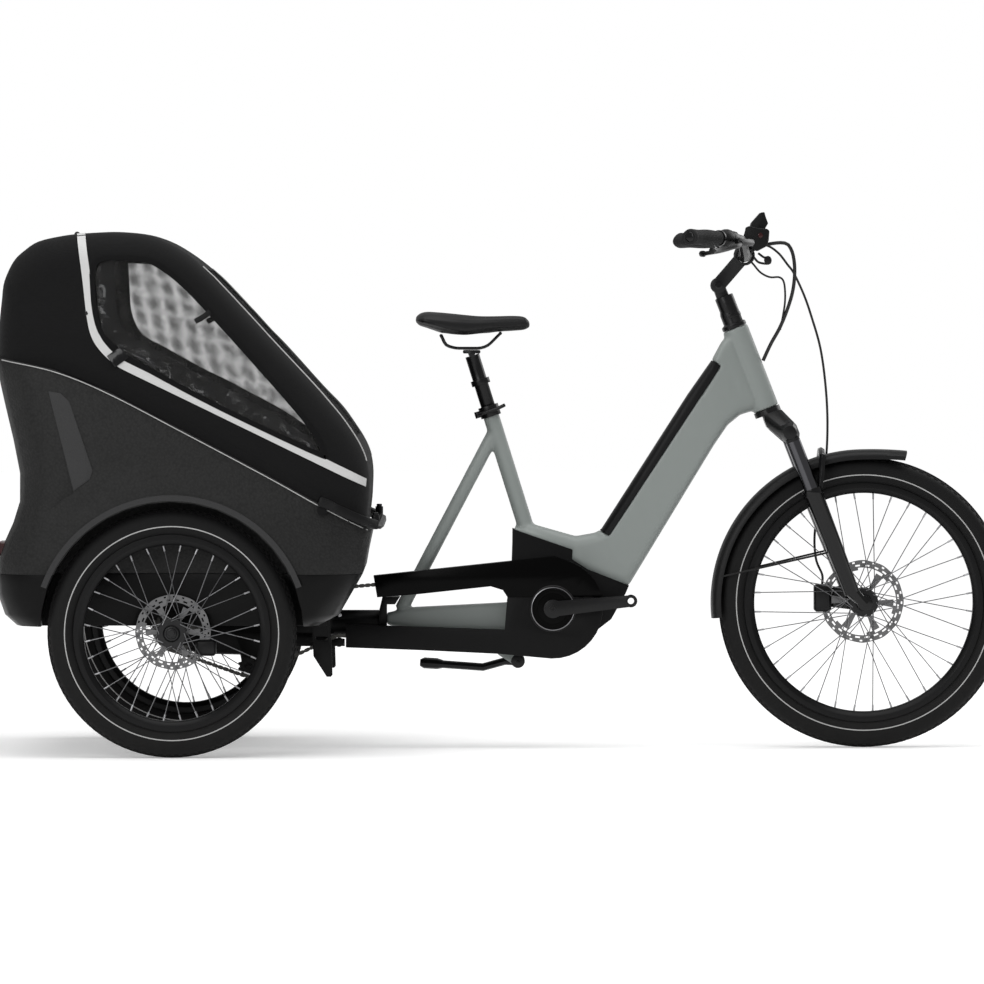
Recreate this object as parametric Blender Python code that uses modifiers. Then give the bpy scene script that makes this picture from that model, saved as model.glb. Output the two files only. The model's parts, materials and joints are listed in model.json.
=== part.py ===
"""Electric cargo tricycle: a leaning rider frame with one front wheel, joined to an upright rear frame
with two wheels, a moulded box for children and a folding hood. Metres, X forward, Y left, Z up."""

import math

import bmesh
import bpy
from mathutils import Matrix, Vector

# Clearance between pieces that touch.
GAP = 0.0003

# Wheels
REAR_AXLE_X = -0.708
WHEELBASE = 1.481
TRACK = 0.79
FRONT_TYRE_RADIUS = 0.3135
REAR_TYRE_RADIUS = 0.263
FRONT_BEAD_RADIUS = FRONT_TYRE_RADIUS - 0.060
REAR_BEAD_RADIUS = REAR_TYRE_RADIUS - 0.060
TYRE_WIDTH = 0.060
RIM_WIDTH = 0.034
RIM_FLANGE = 0.0055
RIM_FLANGE_WALL = 0.0022
RIM_DEPTH = 0.017
FRONT_SPOKES = 36
REAR_SPOKES = 32
SPOKE_RADIUS = 0.0011
FLANGE_RADIUS = 0.031
FLANGE_WALL = 0.0036
FLANGE_SPREAD = 0.056
HUB_RADIUS = 0.0185
FRONT_HUB_LENGTH = 0.100
REAR_HUB_INNER_END = TRACK / 2 - 0.0697
REAR_HUB_OUTER_END = TRACK / 2 + 0.0420
ROTOR_WALL = 0.0019
FRONT_ROTOR_RADIUS = 0.090
REAR_ROTOR_RADIUS = 0.080
ROTOR_BAND = 0.015
FRONT_CALIPER = (0.6865, 0.3210)
WHEEL_STEPS = 28
REAR_ROTOR_Y = TRACK / 2 - 0.0470
FRONT_ROTOR_Y = 0.0420

# Steering head and fork. Distances run up along the steering axis and ahead of it.
HEAD_TILT = 21.3
HEAD_LENGTH = 0.188
HEAD_RADIUS = 0.0285
STEERER_RADIUS = 0.0143
FORK_LENGTH = 0.4661
FORK_OFFSET = 0.0442
STANCHION_OFFSET = 0.026
STANCHION_RADIUS = 0.016
STANCHION_SPREAD = 0.130
LOWER_RADIUS = 0.0205
CROWN_DROP = 0.083
STANCHION_SHOWN = 0.112
STANCHION_INSIDE = 0.130
FORK_TRAVEL = 0.080

# Rider frame, placed from the crank centre.
CRANK_X = 0.100
CRANK_Z = 0.302
SEAT_FOOT = (-0.060, 0.181)
SEAT_TILT = 17.35
SEAT_TUBE_LENGTH = 0.2537
SEAT_TUBE_RADIUS = 0.0180
POST_RADIUS = 0.0155
POST_INSIDE = 0.110
POST_SHOWN = 0.132
STRUT_RADIUS = 0.015
STRUT_JOIN = 0.213
CAM_RADIUS = 0.0062
RAIL_SEAT = 0.0080
RAIL_RADIUS = 0.0035
BEAM_REAR = (-0.2580, 0.2780)
BEAM_FRONT_Z = 0.283
BEAM_HALF_WIDTH = 0.030
MOTOR_RADIUS = 0.085
SHELL_RADIUS = 0.0995
COVER_WALL = 0.0044
MOTOR_RIGHT = 0.030
MOTOR_LEFT = 0.050
BATTERY_COVER_DEPTH = 0.020
BATTERY_DEPTH = 0.078
BATTERY_WIDTH = 0.064

# Handlebar: its clamp ahead of and above the stem's pivot, then places from the clamp
STEM_PIVOT = 0.2868
CLAMP_REACH = (0.056, 0.065)
BAR_RADIUS = 0.0159
BAR_END_RADIUS = 0.0111
BAR_RISE = (-0.010, 0.150, 0.033)
BAR_END = (-0.128, 0.330, 0.036)
BRAKE_CLAMP_Y = 0.188
SHIFTER_Y = (0.2000, 0.2260)
LEVER_TRAVEL = 12.5

# Drive train
CHAIN_PITCH = 0.0127
CHAIN_Y = -0.055
CHAIN_HALF_WIDTH = 0.0042
CHAIN_HALF_HEIGHT = 0.0043
CHAIN_PLATE = 0.0014
CHAIN_WEB = 0.0021
CHAIN_SAG = 0.0005
RING_TEETH = 42
SPROCKET_TEETH = 26
PULLEY_TEETH = 11
TOOTH_WALL = 0.0022
PULLEY_CENTRE = (-0.556, 0.1775)
GUIDE_CENTRE = (-0.361, 0.2290)
GUIDE_RADIUS = 0.0098
CASE_RADIUS = 0.1075
CASE_WALL = 0.0025
CASE_OUTER_Y = -0.0780
CASE_INNER_Y = -0.0350
CASE_SPLIT = 0.0250
CRANK_LENGTH = 0.1685
CRANK_RISE = 5.9
CRANK_OUTER_Y = 0.0960
CRANK_WALL = 0.0130
SPINDLE_RADIUS = 0.0130

# Lean pivot and rear frame
LEAN_Z = 0.2670
LEAN_HOUSING = (-0.375, -0.2755)
LEAN_HOUSING_RADIUS = 0.0300
LEAN_SHAFT_RADIUS = 0.0120
SPINE_HALF_WIDTH = 0.0350
RAIL_Y = 0.220
RAIL_WIDTH = 0.040
RAIL_HEIGHT = 0.040
AXLE_HOUSING_RADIUS = 0.0220

# Cargo box: height, rear end, front end and half width of each level.
BOX_LEVELS = (
    (0.2760, -1.0400, -0.4000, 0.405),
    (0.3000, -1.0650, -0.3560, 0.420),
    (0.3450, -1.0800, -0.3300, 0.431),
    (0.3870, -1.0820, -0.3060, 0.436),
    (0.4220, -1.0760, -0.3000, 0.439),
    (0.4550, -1.0640, -0.2930, 0.440),
    (0.4950, -1.0460, -0.2850, 0.440),
    (0.5400, -1.0320, -0.2850, 0.438),
    (0.6000, -1.0320, -0.2850, 0.434),
    (0.6700, -1.0460, -0.2850, 0.427),
    (0.7400, -1.0630, -0.2850, 0.419),
    (0.8000, -1.0770, -0.2850, 0.411),
    (0.8550, -1.0886, -0.2850, 0.404),
)
BOX_CORNER = 0.100
BOX_WALL = 0.030
BOX_FLOOR_Z = 0.359
BOX_FLOOR_WALL = 0.014
FLOOR_MAT = ((-0.680, -0.270), (-0.380, 0.270))
FLOOR_MAT_RISE = 0.002
BOX_SEAM_Z = 0.387
BOX_INNER_HALF = 0.300
TAIL_LIGHT_Y = 0.300
TAIL_LIGHT_Z = 0.440
WELL_RADIUS = REAR_TYRE_RADIUS + 0.015
WELL_INNER_Y = 0.331
WELL_TOP_CLEAR = 0.024
FENDER_LIP = 0.0155
FENDER_LIP_PROUD = 0.0030
RIM_LINE = (
    (-1.130, 0.8480), (-1.068, 0.8438), (-0.955, 0.8185), (-0.843, 0.7733), (-0.674, 0.6860),
    (-0.504, 0.5960), (-0.397, 0.5366), (-0.286, 0.4794), (-0.240, 0.4550),
)
HOOD_LINE = (
    (-1.0800, 0.8300), (-1.0765, 0.9100), (-1.0695, 1.0050), (-1.0490, 1.0510), (-0.9960, 1.0925),
    (-0.9462, 1.1040), (-0.8300, 1.1135), (-0.7698, 1.1088), (-0.6906, 1.0735), (-0.6105, 1.0054),
    (-0.3945, 0.7723), (-0.3340, 0.7035), (-0.2975, 0.6420), (-0.2910, 0.5900), (-0.3000, 0.4600),
)
HOOD_WALL = 0.004
HOOD_FOOT = (-0.600, 0.380)
HOOD_CORNER = 0.060
HOOD_HALF_LOW = 0.424
HOOD_HALF_LOW_Z = 0.560
HOOD_TAPER = 0.165
SIDE_WINDOW = (
    (-0.8787, 1.0216), (-0.8700, 1.0450), (-0.8450, 1.0545), (-0.7880, 1.0529), (-0.7543, 1.0472),
    (-0.7092, 1.0187), (-0.6531, 0.9660), (-0.5286, 0.8295), (-0.4210, 0.7053), (-0.3873, 0.6450),
    (-0.4042, 0.6433), (-0.6193, 0.7449), (-0.7994, 0.8415), (-0.8281, 0.8635), (-0.8587, 0.8974),
    (-0.8728, 0.9482),
)
FRONT_WINDOW_HALF = 0.270
FRONT_WINDOW_X = (-0.640, -0.318)

# Saddle: place along X from the seatpost head, height of top and bottom above it, half width.
SADDLE_SECTIONS = (
    (-0.1210, 0.0790, 0.0690, 0.052), (-0.1130, 0.0870, 0.0610, 0.075), (-0.0980, 0.0915, 0.0560, 0.086),
    (-0.0720, 0.0905, 0.0470, 0.083), (-0.0430, 0.0880, 0.0380, 0.070), (-0.0130, 0.0850, 0.0350, 0.051),
    (0.0180, 0.0825, 0.0410, 0.037), (0.0530, 0.0825, 0.0470, 0.028), (0.0900, 0.0832, 0.0495, 0.023),
    (0.1140, 0.0805, 0.0520, 0.019), (0.1255, 0.0690, 0.0580, 0.010),
)

PARTS = None
HELPERS = None


def start_scene():
    """Empties the scene and adds one collection for the tricycle and one for cutters and guides."""
    global PARTS, HELPERS
    for obj in list(bpy.data.objects):
        bpy.data.objects.remove(obj, do_unlink=True)
    PARTS = bpy.data.collections.new("cargo_tricycle")
    HELPERS = bpy.data.collections.new("cutters")
    for collection in (PARTS, HELPERS):
        bpy.context.scene.collection.children.link(collection)
    HELPERS.hide_render = True


def finish_of(name, colour, roughness, metallic=0.0, alpha=1.0):
    """A Principled BSDF material."""
    material = bpy.data.materials.new(name)
    material.use_nodes = True
    shader = material.node_tree.nodes["Principled BSDF"]
    shader.inputs["Base Color"].default_value = (*colour, 1.0)
    shader.inputs["Roughness"].default_value = roughness
    shader.inputs["Metallic"].default_value = metallic
    shader.inputs["Alpha"].default_value = alpha
    return material


def axis_matrix(centre, axis):
    """Local Z along the axis and local X in the XZ plane, or along X for an axis along Y."""
    z = Vector(axis).normalized()
    x = Vector((1, 0, 0)) if abs(z.y) > 0.99 else Vector((0, 1, 0)).cross(z).normalized()
    y = z.cross(x)
    matrix = Matrix((x, y, z)).transposed().to_4x4()
    matrix.translation = Vector(centre)
    return matrix


def helper(mesh, name="shape"):
    obj = bpy.data.objects.new(name, mesh)
    HELPERS.objects.link(obj)
    obj.hide_render = True
    obj.display_type = "WIRE"
    return obj


def settle(obj):
    """Applies the object's modifiers and its place, so its mesh holds the final shape."""
    bpy.context.view_layer.update()
    graph = bpy.context.evaluated_depsgraph_get()
    mesh = bpy.data.meshes.new_from_object(obj.evaluated_get(graph))
    mesh.transform(obj.matrix_world)
    shape = bmesh.new()
    shape.from_mesh(mesh)
    bmesh.ops.remove_doubles(shape, verts=shape.verts, dist=1e-6)
    bmesh.ops.recalc_face_normals(shape, faces=shape.faces)
    shape.to_mesh(mesh)
    shape.free()
    name = obj.name
    bpy.data.objects.remove(obj)
    return helper(mesh, name)


def from_bmesh(shape, name="shape"):
    bmesh.ops.recalc_face_normals(shape, faces=shape.faces)
    mesh = bpy.data.meshes.new(name)
    shape.to_mesh(mesh)
    shape.free()
    return helper(mesh, name)


def box(low, high, bevel=0.0):
    """A box between two corners, with bevelled edges if asked."""
    low, high = Vector(low), Vector(high)
    shape = bmesh.new()
    size = Matrix.Diagonal((*(high - low), 1.0))
    bmesh.ops.create_cube(shape, size=1.0, matrix=Matrix.Translation((low + high) / 2) @ size)
    if bevel:
        bmesh.ops.bevel(shape, geom=shape.edges[:], offset=bevel, segments=1, affect="EDGES")
    return from_bmesh(shape)


def cylinder(start, end, radius, end_radius=None, segments=16):
    """A round bar between two points, or a cone when the end radius differs."""
    start, end = Vector(start), Vector(end)
    shape = bmesh.new()
    bmesh.ops.create_cone(
        shape,
        cap_ends=True,
        segments=segments,
        radius1=radius,
        radius2=radius if end_radius is None else end_radius,
        depth=(end - start).length,
        matrix=axis_matrix((start + end) / 2, end - start),
    )
    return from_bmesh(shape)


def bore(start, end, radius, segments=16):
    """A round cutter whose facets stay outside the radius."""
    return cylinder(start, end, radius / math.cos(math.pi / segments), segments=segments)


def turned(profile, centre, axis, steps=20, closed=False, sweep=360.0, wall=0.0, start=0.0):
    """A profile of (radius, place along the axis) turned about the axis, as a Screw modifier does it."""
    mesh = bpy.data.meshes.new("profile")
    points = [(radius, 0.0, along) for radius, along in profile]
    count = len(points)
    edges = [(i, (i + 1) % count) for i in range(count if closed else count - 1)]
    mesh.from_pydata(points, edges, [])
    obj = helper(mesh, "turned")
    obj.matrix_world = axis_matrix(centre, axis) @ Matrix.Rotation(math.radians(start), 4, "Z")
    screw = obj.modifiers.new("screw", "SCREW")
    screw.angle = math.radians(sweep)
    screw.steps = screw.render_steps = steps
    screw.use_merge_vertices = True
    screw.merge_threshold = 0.00001
    if wall:
        shell = obj.modifiers.new("wall", "SOLIDIFY")
        shell.thickness = wall
        shell.offset = 0.0
    return settle(obj)


def prism(outline, right, left, bevel=0.0, segments=1):
    """A flat (x, z) outline with its thickness across the tricycle, from y = right to y = left."""
    shape = bmesh.new()
    face = shape.faces.new([shape.verts.new((x, right, z)) for x, z in outline])
    made = bmesh.ops.extrude_face_region(shape, geom=[face])
    moved = [item for item in made["geom"] if isinstance(item, bmesh.types.BMVert)]
    bmesh.ops.translate(shape, verts=moved, vec=(0, left - right, 0))
    if bevel:
        rims = [edge for edge in shape.edges if abs(edge.verts[0].co.y - edge.verts[1].co.y) < 1e-7]
        bmesh.ops.bevel(shape, geom=rims, offset=bevel, segments=segments, affect="EDGES", profile=0.5)
    return from_bmesh(shape)


def loft(rings):
    """A closed skin through rings of equal count, with flat ends."""
    shape = bmesh.new()
    rows = [[shape.verts.new(point) for point in ring] for ring in rings]
    for row, following in zip(rows, rows[1:]):
        for i in range(len(row)):
            j = (i + 1) % len(row)
            shape.faces.new((row[i], row[j], following[j], following[i]))
    shape.faces.new(rows[0][::-1])
    shape.faces.new(rows[-1])
    return from_bmesh(shape)


def ring_of(centre, across, up, half_across, half_up, corner, per_corner=3):
    """A rounded rectangle as a ring of points around its centre."""
    ring = []
    centre, across, up = Vector(centre), Vector(across), Vector(up)
    for quadrant, (side, top) in enumerate(((1, 1), (-1, 1), (-1, -1), (1, -1))):
        for step in range(per_corner):
            angle = math.radians(90 * quadrant + 90 * step / (per_corner - 1))
            a = side * (half_across - corner) + corner * math.cos(angle)
            b = top * (half_up - corner) + corner * math.sin(angle)
            ring.append(centre + across * a + up * b)
    return ring


def smooth_path(points, spacing):
    """Points about one spacing apart on a Catmull-Rom curve through the given points."""
    nodes = [Vector(point) for point in points]
    nodes = [2 * nodes[0] - nodes[1], *nodes, 2 * nodes[-1] - nodes[-2]]
    path = []
    for a, b, c, d in zip(nodes, nodes[1:], nodes[2:], nodes[3:]):
        count = max(1, round((c - b).length / spacing))
        for i in range(count):
            t = i / count
            path.append(
                0.5 * (
                    2 * b + (c - a) * t + (
                        2 * a - 5 * b + 4 * c - d
                    ) * t**2 + (3 * b - a - 3 * c + d) * t**3
                )
            )
    return [*path, nodes[-2]]


def filleted(points, reach, count=3):
    """A polyline whose inner corners are rounded from the given distance before to the same after."""
    path = [Vector(points[0])]
    for before, corner, after in zip(points, points[1:], points[2:]):
        before, corner, after = Vector(before), Vector(corner), Vector(after)
        cut_back = min(reach, (before - corner).length * 0.45, (after - corner).length * 0.45)
        start = corner + (before - corner).normalized() * cut_back
        end = corner + (after - corner).normalized() * cut_back
        for i in range(count + 1):
            t = i / count
            path.append(start * (1 - t) ** 2 + corner * 2 * t * (1 - t) + end * t**2)
    return [*path, Vector(points[-1])]


def tube(points, radius, resolution=2, radii=None):
    """A round tube along points, from a poly curve with a bevel and filled caps."""
    curve = bpy.data.curves.new("tube", "CURVE")
    curve.dimensions = "3D"
    curve.bevel_depth = radius
    curve.bevel_resolution = resolution
    curve.use_fill_caps = True
    spline = curve.splines.new("POLY")
    spline.points.add(len(points) - 1)
    for i, point in enumerate(points):
        spline.points[i].co = (*point, 1.0)
        spline.points[i].radius = radii[i] if radii else 1.0
    return settle(helper(curve, "tube"))


def combine(base, others, operation):
    for other in others:
        step = base.modifiers.new(operation.lower(), "BOOLEAN")
        step.operation = operation
        step.solver = "EXACT"
        step.object = other
    return base


def fused(*shapes):
    """One solid from several that overlap."""
    return settle(combine(shapes[0], shapes[1:], "UNION"))


def cut(base, *cutters):
    return settle(combine(base, cutters, "DIFFERENCE"))


def common(base, other):
    return settle(combine(base, [other], "INTERSECT"))


def islands(shapes):
    """Several loose shapes as one mesh, for a single Boolean step."""
    shape = bmesh.new()
    for obj in shapes:
        shape.from_mesh(obj.data)
    return from_bmesh(shape)


def triangulated(obj):
    """Splits faces into triangles, so that faces that aren't quite flat can be cut."""
    shape = bmesh.new()
    shape.from_mesh(obj.data)
    bmesh.ops.triangulate(shape, faces=shape.faces)
    shape.to_mesh(obj.data)
    shape.free()
    return obj


def copy_of(obj):
    return helper(obj.data.copy(), obj.name)


def turned_about(obj, place, degrees):
    """A copy of a shape turned about an upright axis through a place."""
    other = copy_of(obj)
    spin = Matrix.Rotation(math.radians(degrees), 4, "Z")
    other.data.transform(Matrix.Translation(place) @ spin @ Matrix.Translation(-place))
    return other


def mirrored(obj):
    """The right half of a shape with its mirror image as the left half."""
    mirror = obj.modifiers.new("mirror", "MIRROR")
    mirror.use_axis = (False, True, False)
    mirror.use_bisect_axis = (False, True, False)
    mirror.use_bisect_flip_axis = (False, True, False)
    mirror.merge_threshold = 0.00001
    return settle(obj)


def flipped(obj):
    """The mirror image across the tricycle's middle plane."""
    shape = bmesh.new()
    shape.from_mesh(obj.data)
    bmesh.ops.scale(shape, vec=(1, -1, 1), verts=shape.verts)
    return from_bmesh(shape)


def node(name, shape, material, joint=None):
    """Names a finished shape, gives it its material and hangs it on its joint's empty."""
    HELPERS.objects.unlink(shape)
    PARTS.objects.link(shape)
    shape.hide_render = False
    shape.display_type = "TEXTURED"
    shape.name = name
    shape.data.name = name
    shape.data.materials.clear()
    shape.data.materials.append(material)
    shape.data.shade_smooth()
    shape.data.set_sharp_from_angle(angle=math.radians(35))
    if joint:
        shape.parent = joint
        shape.matrix_parent_inverse = joint.matrix_world.inverted()
    return shape


def pivot(name, place, parent=None):
    """An empty on a joint's axis, which carries the pieces that move about it."""
    empty = bpy.data.objects.new(name, None)
    empty.empty_display_size = 0.05
    empty.location = place
    PARTS.objects.link(empty)
    bpy.context.view_layer.update()
    if parent:
        empty.parent = parent
        empty.matrix_parent_inverse = parent.matrix_world.inverted()
    bpy.context.view_layer.update()
    return empty


# Places worked out from the driving dimensions
FRONT_AXLE_X = REAR_AXLE_X + WHEELBASE
HEAD_UP = Vector((-math.sin(math.radians(HEAD_TILT)), 0, math.cos(math.radians(HEAD_TILT))))
HEAD_AHEAD = Vector((HEAD_UP.z, 0, -HEAD_UP.x))
FRONT_AXLE = Vector((FRONT_AXLE_X, 0, FRONT_TYRE_RADIUS))
HEAD_LOW = FRONT_AXLE + HEAD_UP * FORK_LENGTH - HEAD_AHEAD * FORK_OFFSET
REAR_AXLE = Vector((REAR_AXLE_X, 0, REAR_TYRE_RADIUS))
CRANK = Vector((CRANK_X, 0, CRANK_Z))
SEAT_UP = Vector((-math.sin(math.radians(SEAT_TILT)), 0, math.cos(math.radians(SEAT_TILT))))
SEAT_LOW = CRANK + Vector((SEAT_FOOT[0], 0, SEAT_FOOT[1]))
SEAT_TOP = SEAT_LOW + SEAT_UP * SEAT_TUBE_LENGTH
POST_HEAD = SEAT_TOP + SEAT_UP * POST_SHOWN


def head(along, ahead, y=0.0):
    """A place given along the steering axis and ahead of it."""
    return HEAD_LOW + HEAD_UP * along + HEAD_AHEAD * ahead + Vector((0, y, 0))


def crank(forward, up, y=0.0):
    """A place given from the crank centre."""
    return CRANK + Vector((forward, y, up))


def flat(point):
    return (point.x, point.z)


def pitch_radius(teeth):
    return CHAIN_PITCH / (2 * math.sin(math.pi / teeth))


def arc(centre, radius, start, end, count):
    """Points (x, z) along an arc, angles in degrees, both ends included."""
    angles = [math.radians(start + (end - start) * i / (count - 1)) for i in range(count)]
    return [(centre[0] + radius * math.cos(a), centre[1] + radius * math.sin(a)) for a in angles]


def tyre(centre, bead, radius):
    """A solid tyre ring seated on the rim's bed and over its flanges, with a squared tread."""
    bed = bead + GAP
    lip = bead + RIM_FLANGE + GAP
    half_rim = RIM_WIDTH / 2
    inner = half_rim - RIM_FLANGE_WALL - GAP
    half = TYRE_WIDTH / 2
    depth = radius - lip
    side = [
        (bed, inner), (lip, inner), (lip, half_rim + 0.001), (lip + 0.45 * depth, half),
        (lip + 0.84 * depth, half * 0.82), (radius, half * 0.28),
    ]
    profile = side + [(r, -y) for r, y in reversed(side)]
    return wheel_ring(profile, centre)


def wheel_ring(profile, centre):
    """A ring about the axle whose flats keep the profile's radii, with one flat at the bottom."""
    reach = 1 / math.cos(math.pi / WHEEL_STEPS)
    outer = [(radius * reach, along) for radius, along in profile]
    return turned(outer, centre, (0, 1, 0), steps=WHEEL_STEPS, closed=True, start=180 / WHEEL_STEPS)


def rim(centre, bead):
    """A box-section rim with a bed for the tyre between two flanges."""
    half = RIM_WIDTH / 2
    flange = bead + RIM_FLANGE
    inner = half - RIM_FLANGE_WALL
    side = [(bead, inner), (flange, inner), (flange, half), (bead - RIM_DEPTH, half * 0.6)]
    profile = side + [(r, -y) for r, y in reversed(side)]
    return wheel_ring(profile, centre)


def spokes(centre, bead, count, mid_y):
    """Crossed tangential spokes from both flanges to just short of the rim."""
    reach = bead - RIM_DEPTH - GAP
    root = FLANGE_RADIUS - 0.004
    per_flange = count // 2
    crossing = math.radians(360.0 / per_flange * 2.6)
    bars = []
    for i in range(count):
        side = 1 if i % 2 else -1
        turn = 1 if (i // 2) % 2 else -1
        tip_angle = 2 * math.pi * (i + 0.5) / count
        root_angle = tip_angle + turn * crossing
        face = side * (FLANGE_SPREAD - turn * side * (FLANGE_WALL + SPOKE_RADIUS)) / 2
        tip_y = mid_y + side * 0.003
        root_point = Vector((root * math.cos(root_angle), mid_y + face, root * math.sin(root_angle)))
        tip_point = Vector((reach * math.cos(tip_angle), tip_y, reach * math.sin(tip_angle)))
        bars.append(cylinder(centre + root_point, centre + tip_point, SPOKE_RADIUS, segments=3))
    return islands(bars)


def rotor(centre, y, radius, windows=5):
    """A brake disc whose braking band hangs on arms."""
    disc = cylinder(
        centre + Vector(
            (0, y - ROTOR_WALL / 2, 0)
        ), centre + Vector((0, y + ROTOR_WALL / 2, 0)), radius, segments=28
    )
    openings = []
    outer, inner = radius - ROTOR_BAND, HUB_RADIUS + 0.010
    for i in range(windows):
        middle = 360.0 * i / windows
        lean = 18.0
        spread = 180.0 / windows - 6.0
        outline = arc(flat(centre), outer, middle - spread + lean, middle + spread + lean, 3)
        outline += arc(flat(centre), inner, middle + spread - 9, middle - spread + 9, 2)
        openings.append(prism(outline, y - 0.01, y + 0.01))
    return cut(disc, islands(openings))


def laced_hub(centre, mid_y, inner_y, outer_y, bead, count, rotor_y, rotor_radius):
    """Hub shell with two flanges, its laced spokes and its brake disc, as one piece."""
    half = FLANGE_SPREAD / 2
    wall = FLANGE_WALL / 2
    low, high = sorted((inner_y, outer_y))
    profile = [
        (0.0, high), (0.0110, high), (0.0110, high - 0.007), (HUB_RADIUS, high - 0.008),
        (HUB_RADIUS, mid_y + half + wall), (FLANGE_RADIUS, mid_y + half + wall),
        (FLANGE_RADIUS, mid_y + half - wall), (HUB_RADIUS, mid_y + half - wall - 0.004),
        (HUB_RADIUS, mid_y - half + wall + 0.004), (FLANGE_RADIUS, mid_y - half + wall),
        (FLANGE_RADIUS, mid_y - half - wall), (HUB_RADIUS, mid_y - half - wall),
        (HUB_RADIUS, low + 0.008), (0.0110, low + 0.006), (0.0110, low), (0.0, low),
    ]
    shell = turned(profile, centre, (0, 1, 0), steps=12)
    return fused(shell, spokes(centre, bead, count, mid_y), rotor(centre, rotor_y, rotor_radius))


def wheels(paint, joints):
    """Three wheels. Each brake disc faces inwards at the rear and left at the front."""
    for tag, side in (("right", -1), ("left", 1)):
        joint = joints["wheel_rear_" + tag]
        centre = REAR_AXLE.copy()
        wheel_centre = centre + Vector((0, side * TRACK / 2, 0))
        node("tyre_rear_" + tag, tyre(wheel_centre, REAR_BEAD_RADIUS, REAR_TYRE_RADIUS), paint["tyre"], joint)
        node("rim_rear_" + tag, rim(wheel_centre, REAR_BEAD_RADIUS), paint["rim"], joint)
        hub = laced_hub(
            centre, side * TRACK / 2, side * REAR_HUB_INNER_END, side * REAR_HUB_OUTER_END,
            REAR_BEAD_RADIUS, REAR_SPOKES, side * REAR_ROTOR_Y, REAR_ROTOR_RADIUS,
        )
        node("hub_rear_" + tag, hub, paint["hub"], joint)
    joint = joints["wheel_front"]
    node("tyre_front", tyre(FRONT_AXLE, FRONT_BEAD_RADIUS, FRONT_TYRE_RADIUS), paint["tyre"], joint)
    node("rim_front", rim(FRONT_AXLE, FRONT_BEAD_RADIUS), paint["rim"], joint)
    half = FRONT_HUB_LENGTH / 2
    hub = laced_hub(
        FRONT_AXLE, 0.0, -half, half, FRONT_BEAD_RADIUS, FRONT_SPOKES, FRONT_ROTOR_Y, FRONT_ROTOR_RADIUS
    )
    node("hub_front", hub, paint["hub"], joint)


def box_half(height):
    """Half the box's width at a height."""
    for (low_z, _, _, low_half), (high_z, _, _, high_half) in zip(BOX_LEVELS, BOX_LEVELS[1:]):
        if height <= high_z:
            return low_half + (high_half - low_half) * (height - low_z) / (high_z - low_z)
    return BOX_LEVELS[-1][3]


def box_skin(inset=0.0):
    """The cargo box as a closed solid through its levels, drawn in by the inset."""
    corner = BOX_CORNER - inset
    rings = []
    for z, rear, front, half in BOX_LEVELS:
        middle = ((rear + front) / 2, 0, z)
        length = (front - rear) / 2 - inset
        rings.append(ring_of(middle, (1, 0, 0), (0, 1, 0), length, half - inset, corner, 4))
    return loft(rings)


def above(line, lift, top=1.6, reach=0.7):
    """Everything above a line drawn in side view."""
    outline = [(x, z + lift) for x, z in line]
    outline += [(line[-1][0] + 0.4, line[-1][1] + lift), (line[-1][0] + 0.4, top), (line[0][0] - 0.2, top)]
    outline += [(line[0][0] - 0.2, line[0][1] + lift)]
    return prism(outline, -reach, reach)


def wheel_wells(grow=0.0):
    """The two round spaces that the rear wheels turn in, open to the outside and below."""
    wells = []
    for side in (-1, 1):
        centre = REAR_AXLE
        near, far = side * WELL_INNER_Y, side * 0.60
        wells.append(
            cylinder(
                centre + Vector((0, near, 0)), centre + Vector((0, far, 0)), WELL_RADIUS + grow, segments=36
            )
        )
        hub_near = side * (BOX_INNER_HALF - 0.02)
        axle_space = AXLE_HOUSING_RADIUS + WELL_TOP_CLEAR
        wells.append(
            cylinder(
                centre + Vector((0, hub_near, 0)), centre + Vector((0, near * 1.02, 0)), axle_space,
                segments=16
            )
        )
    return wells


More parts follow.
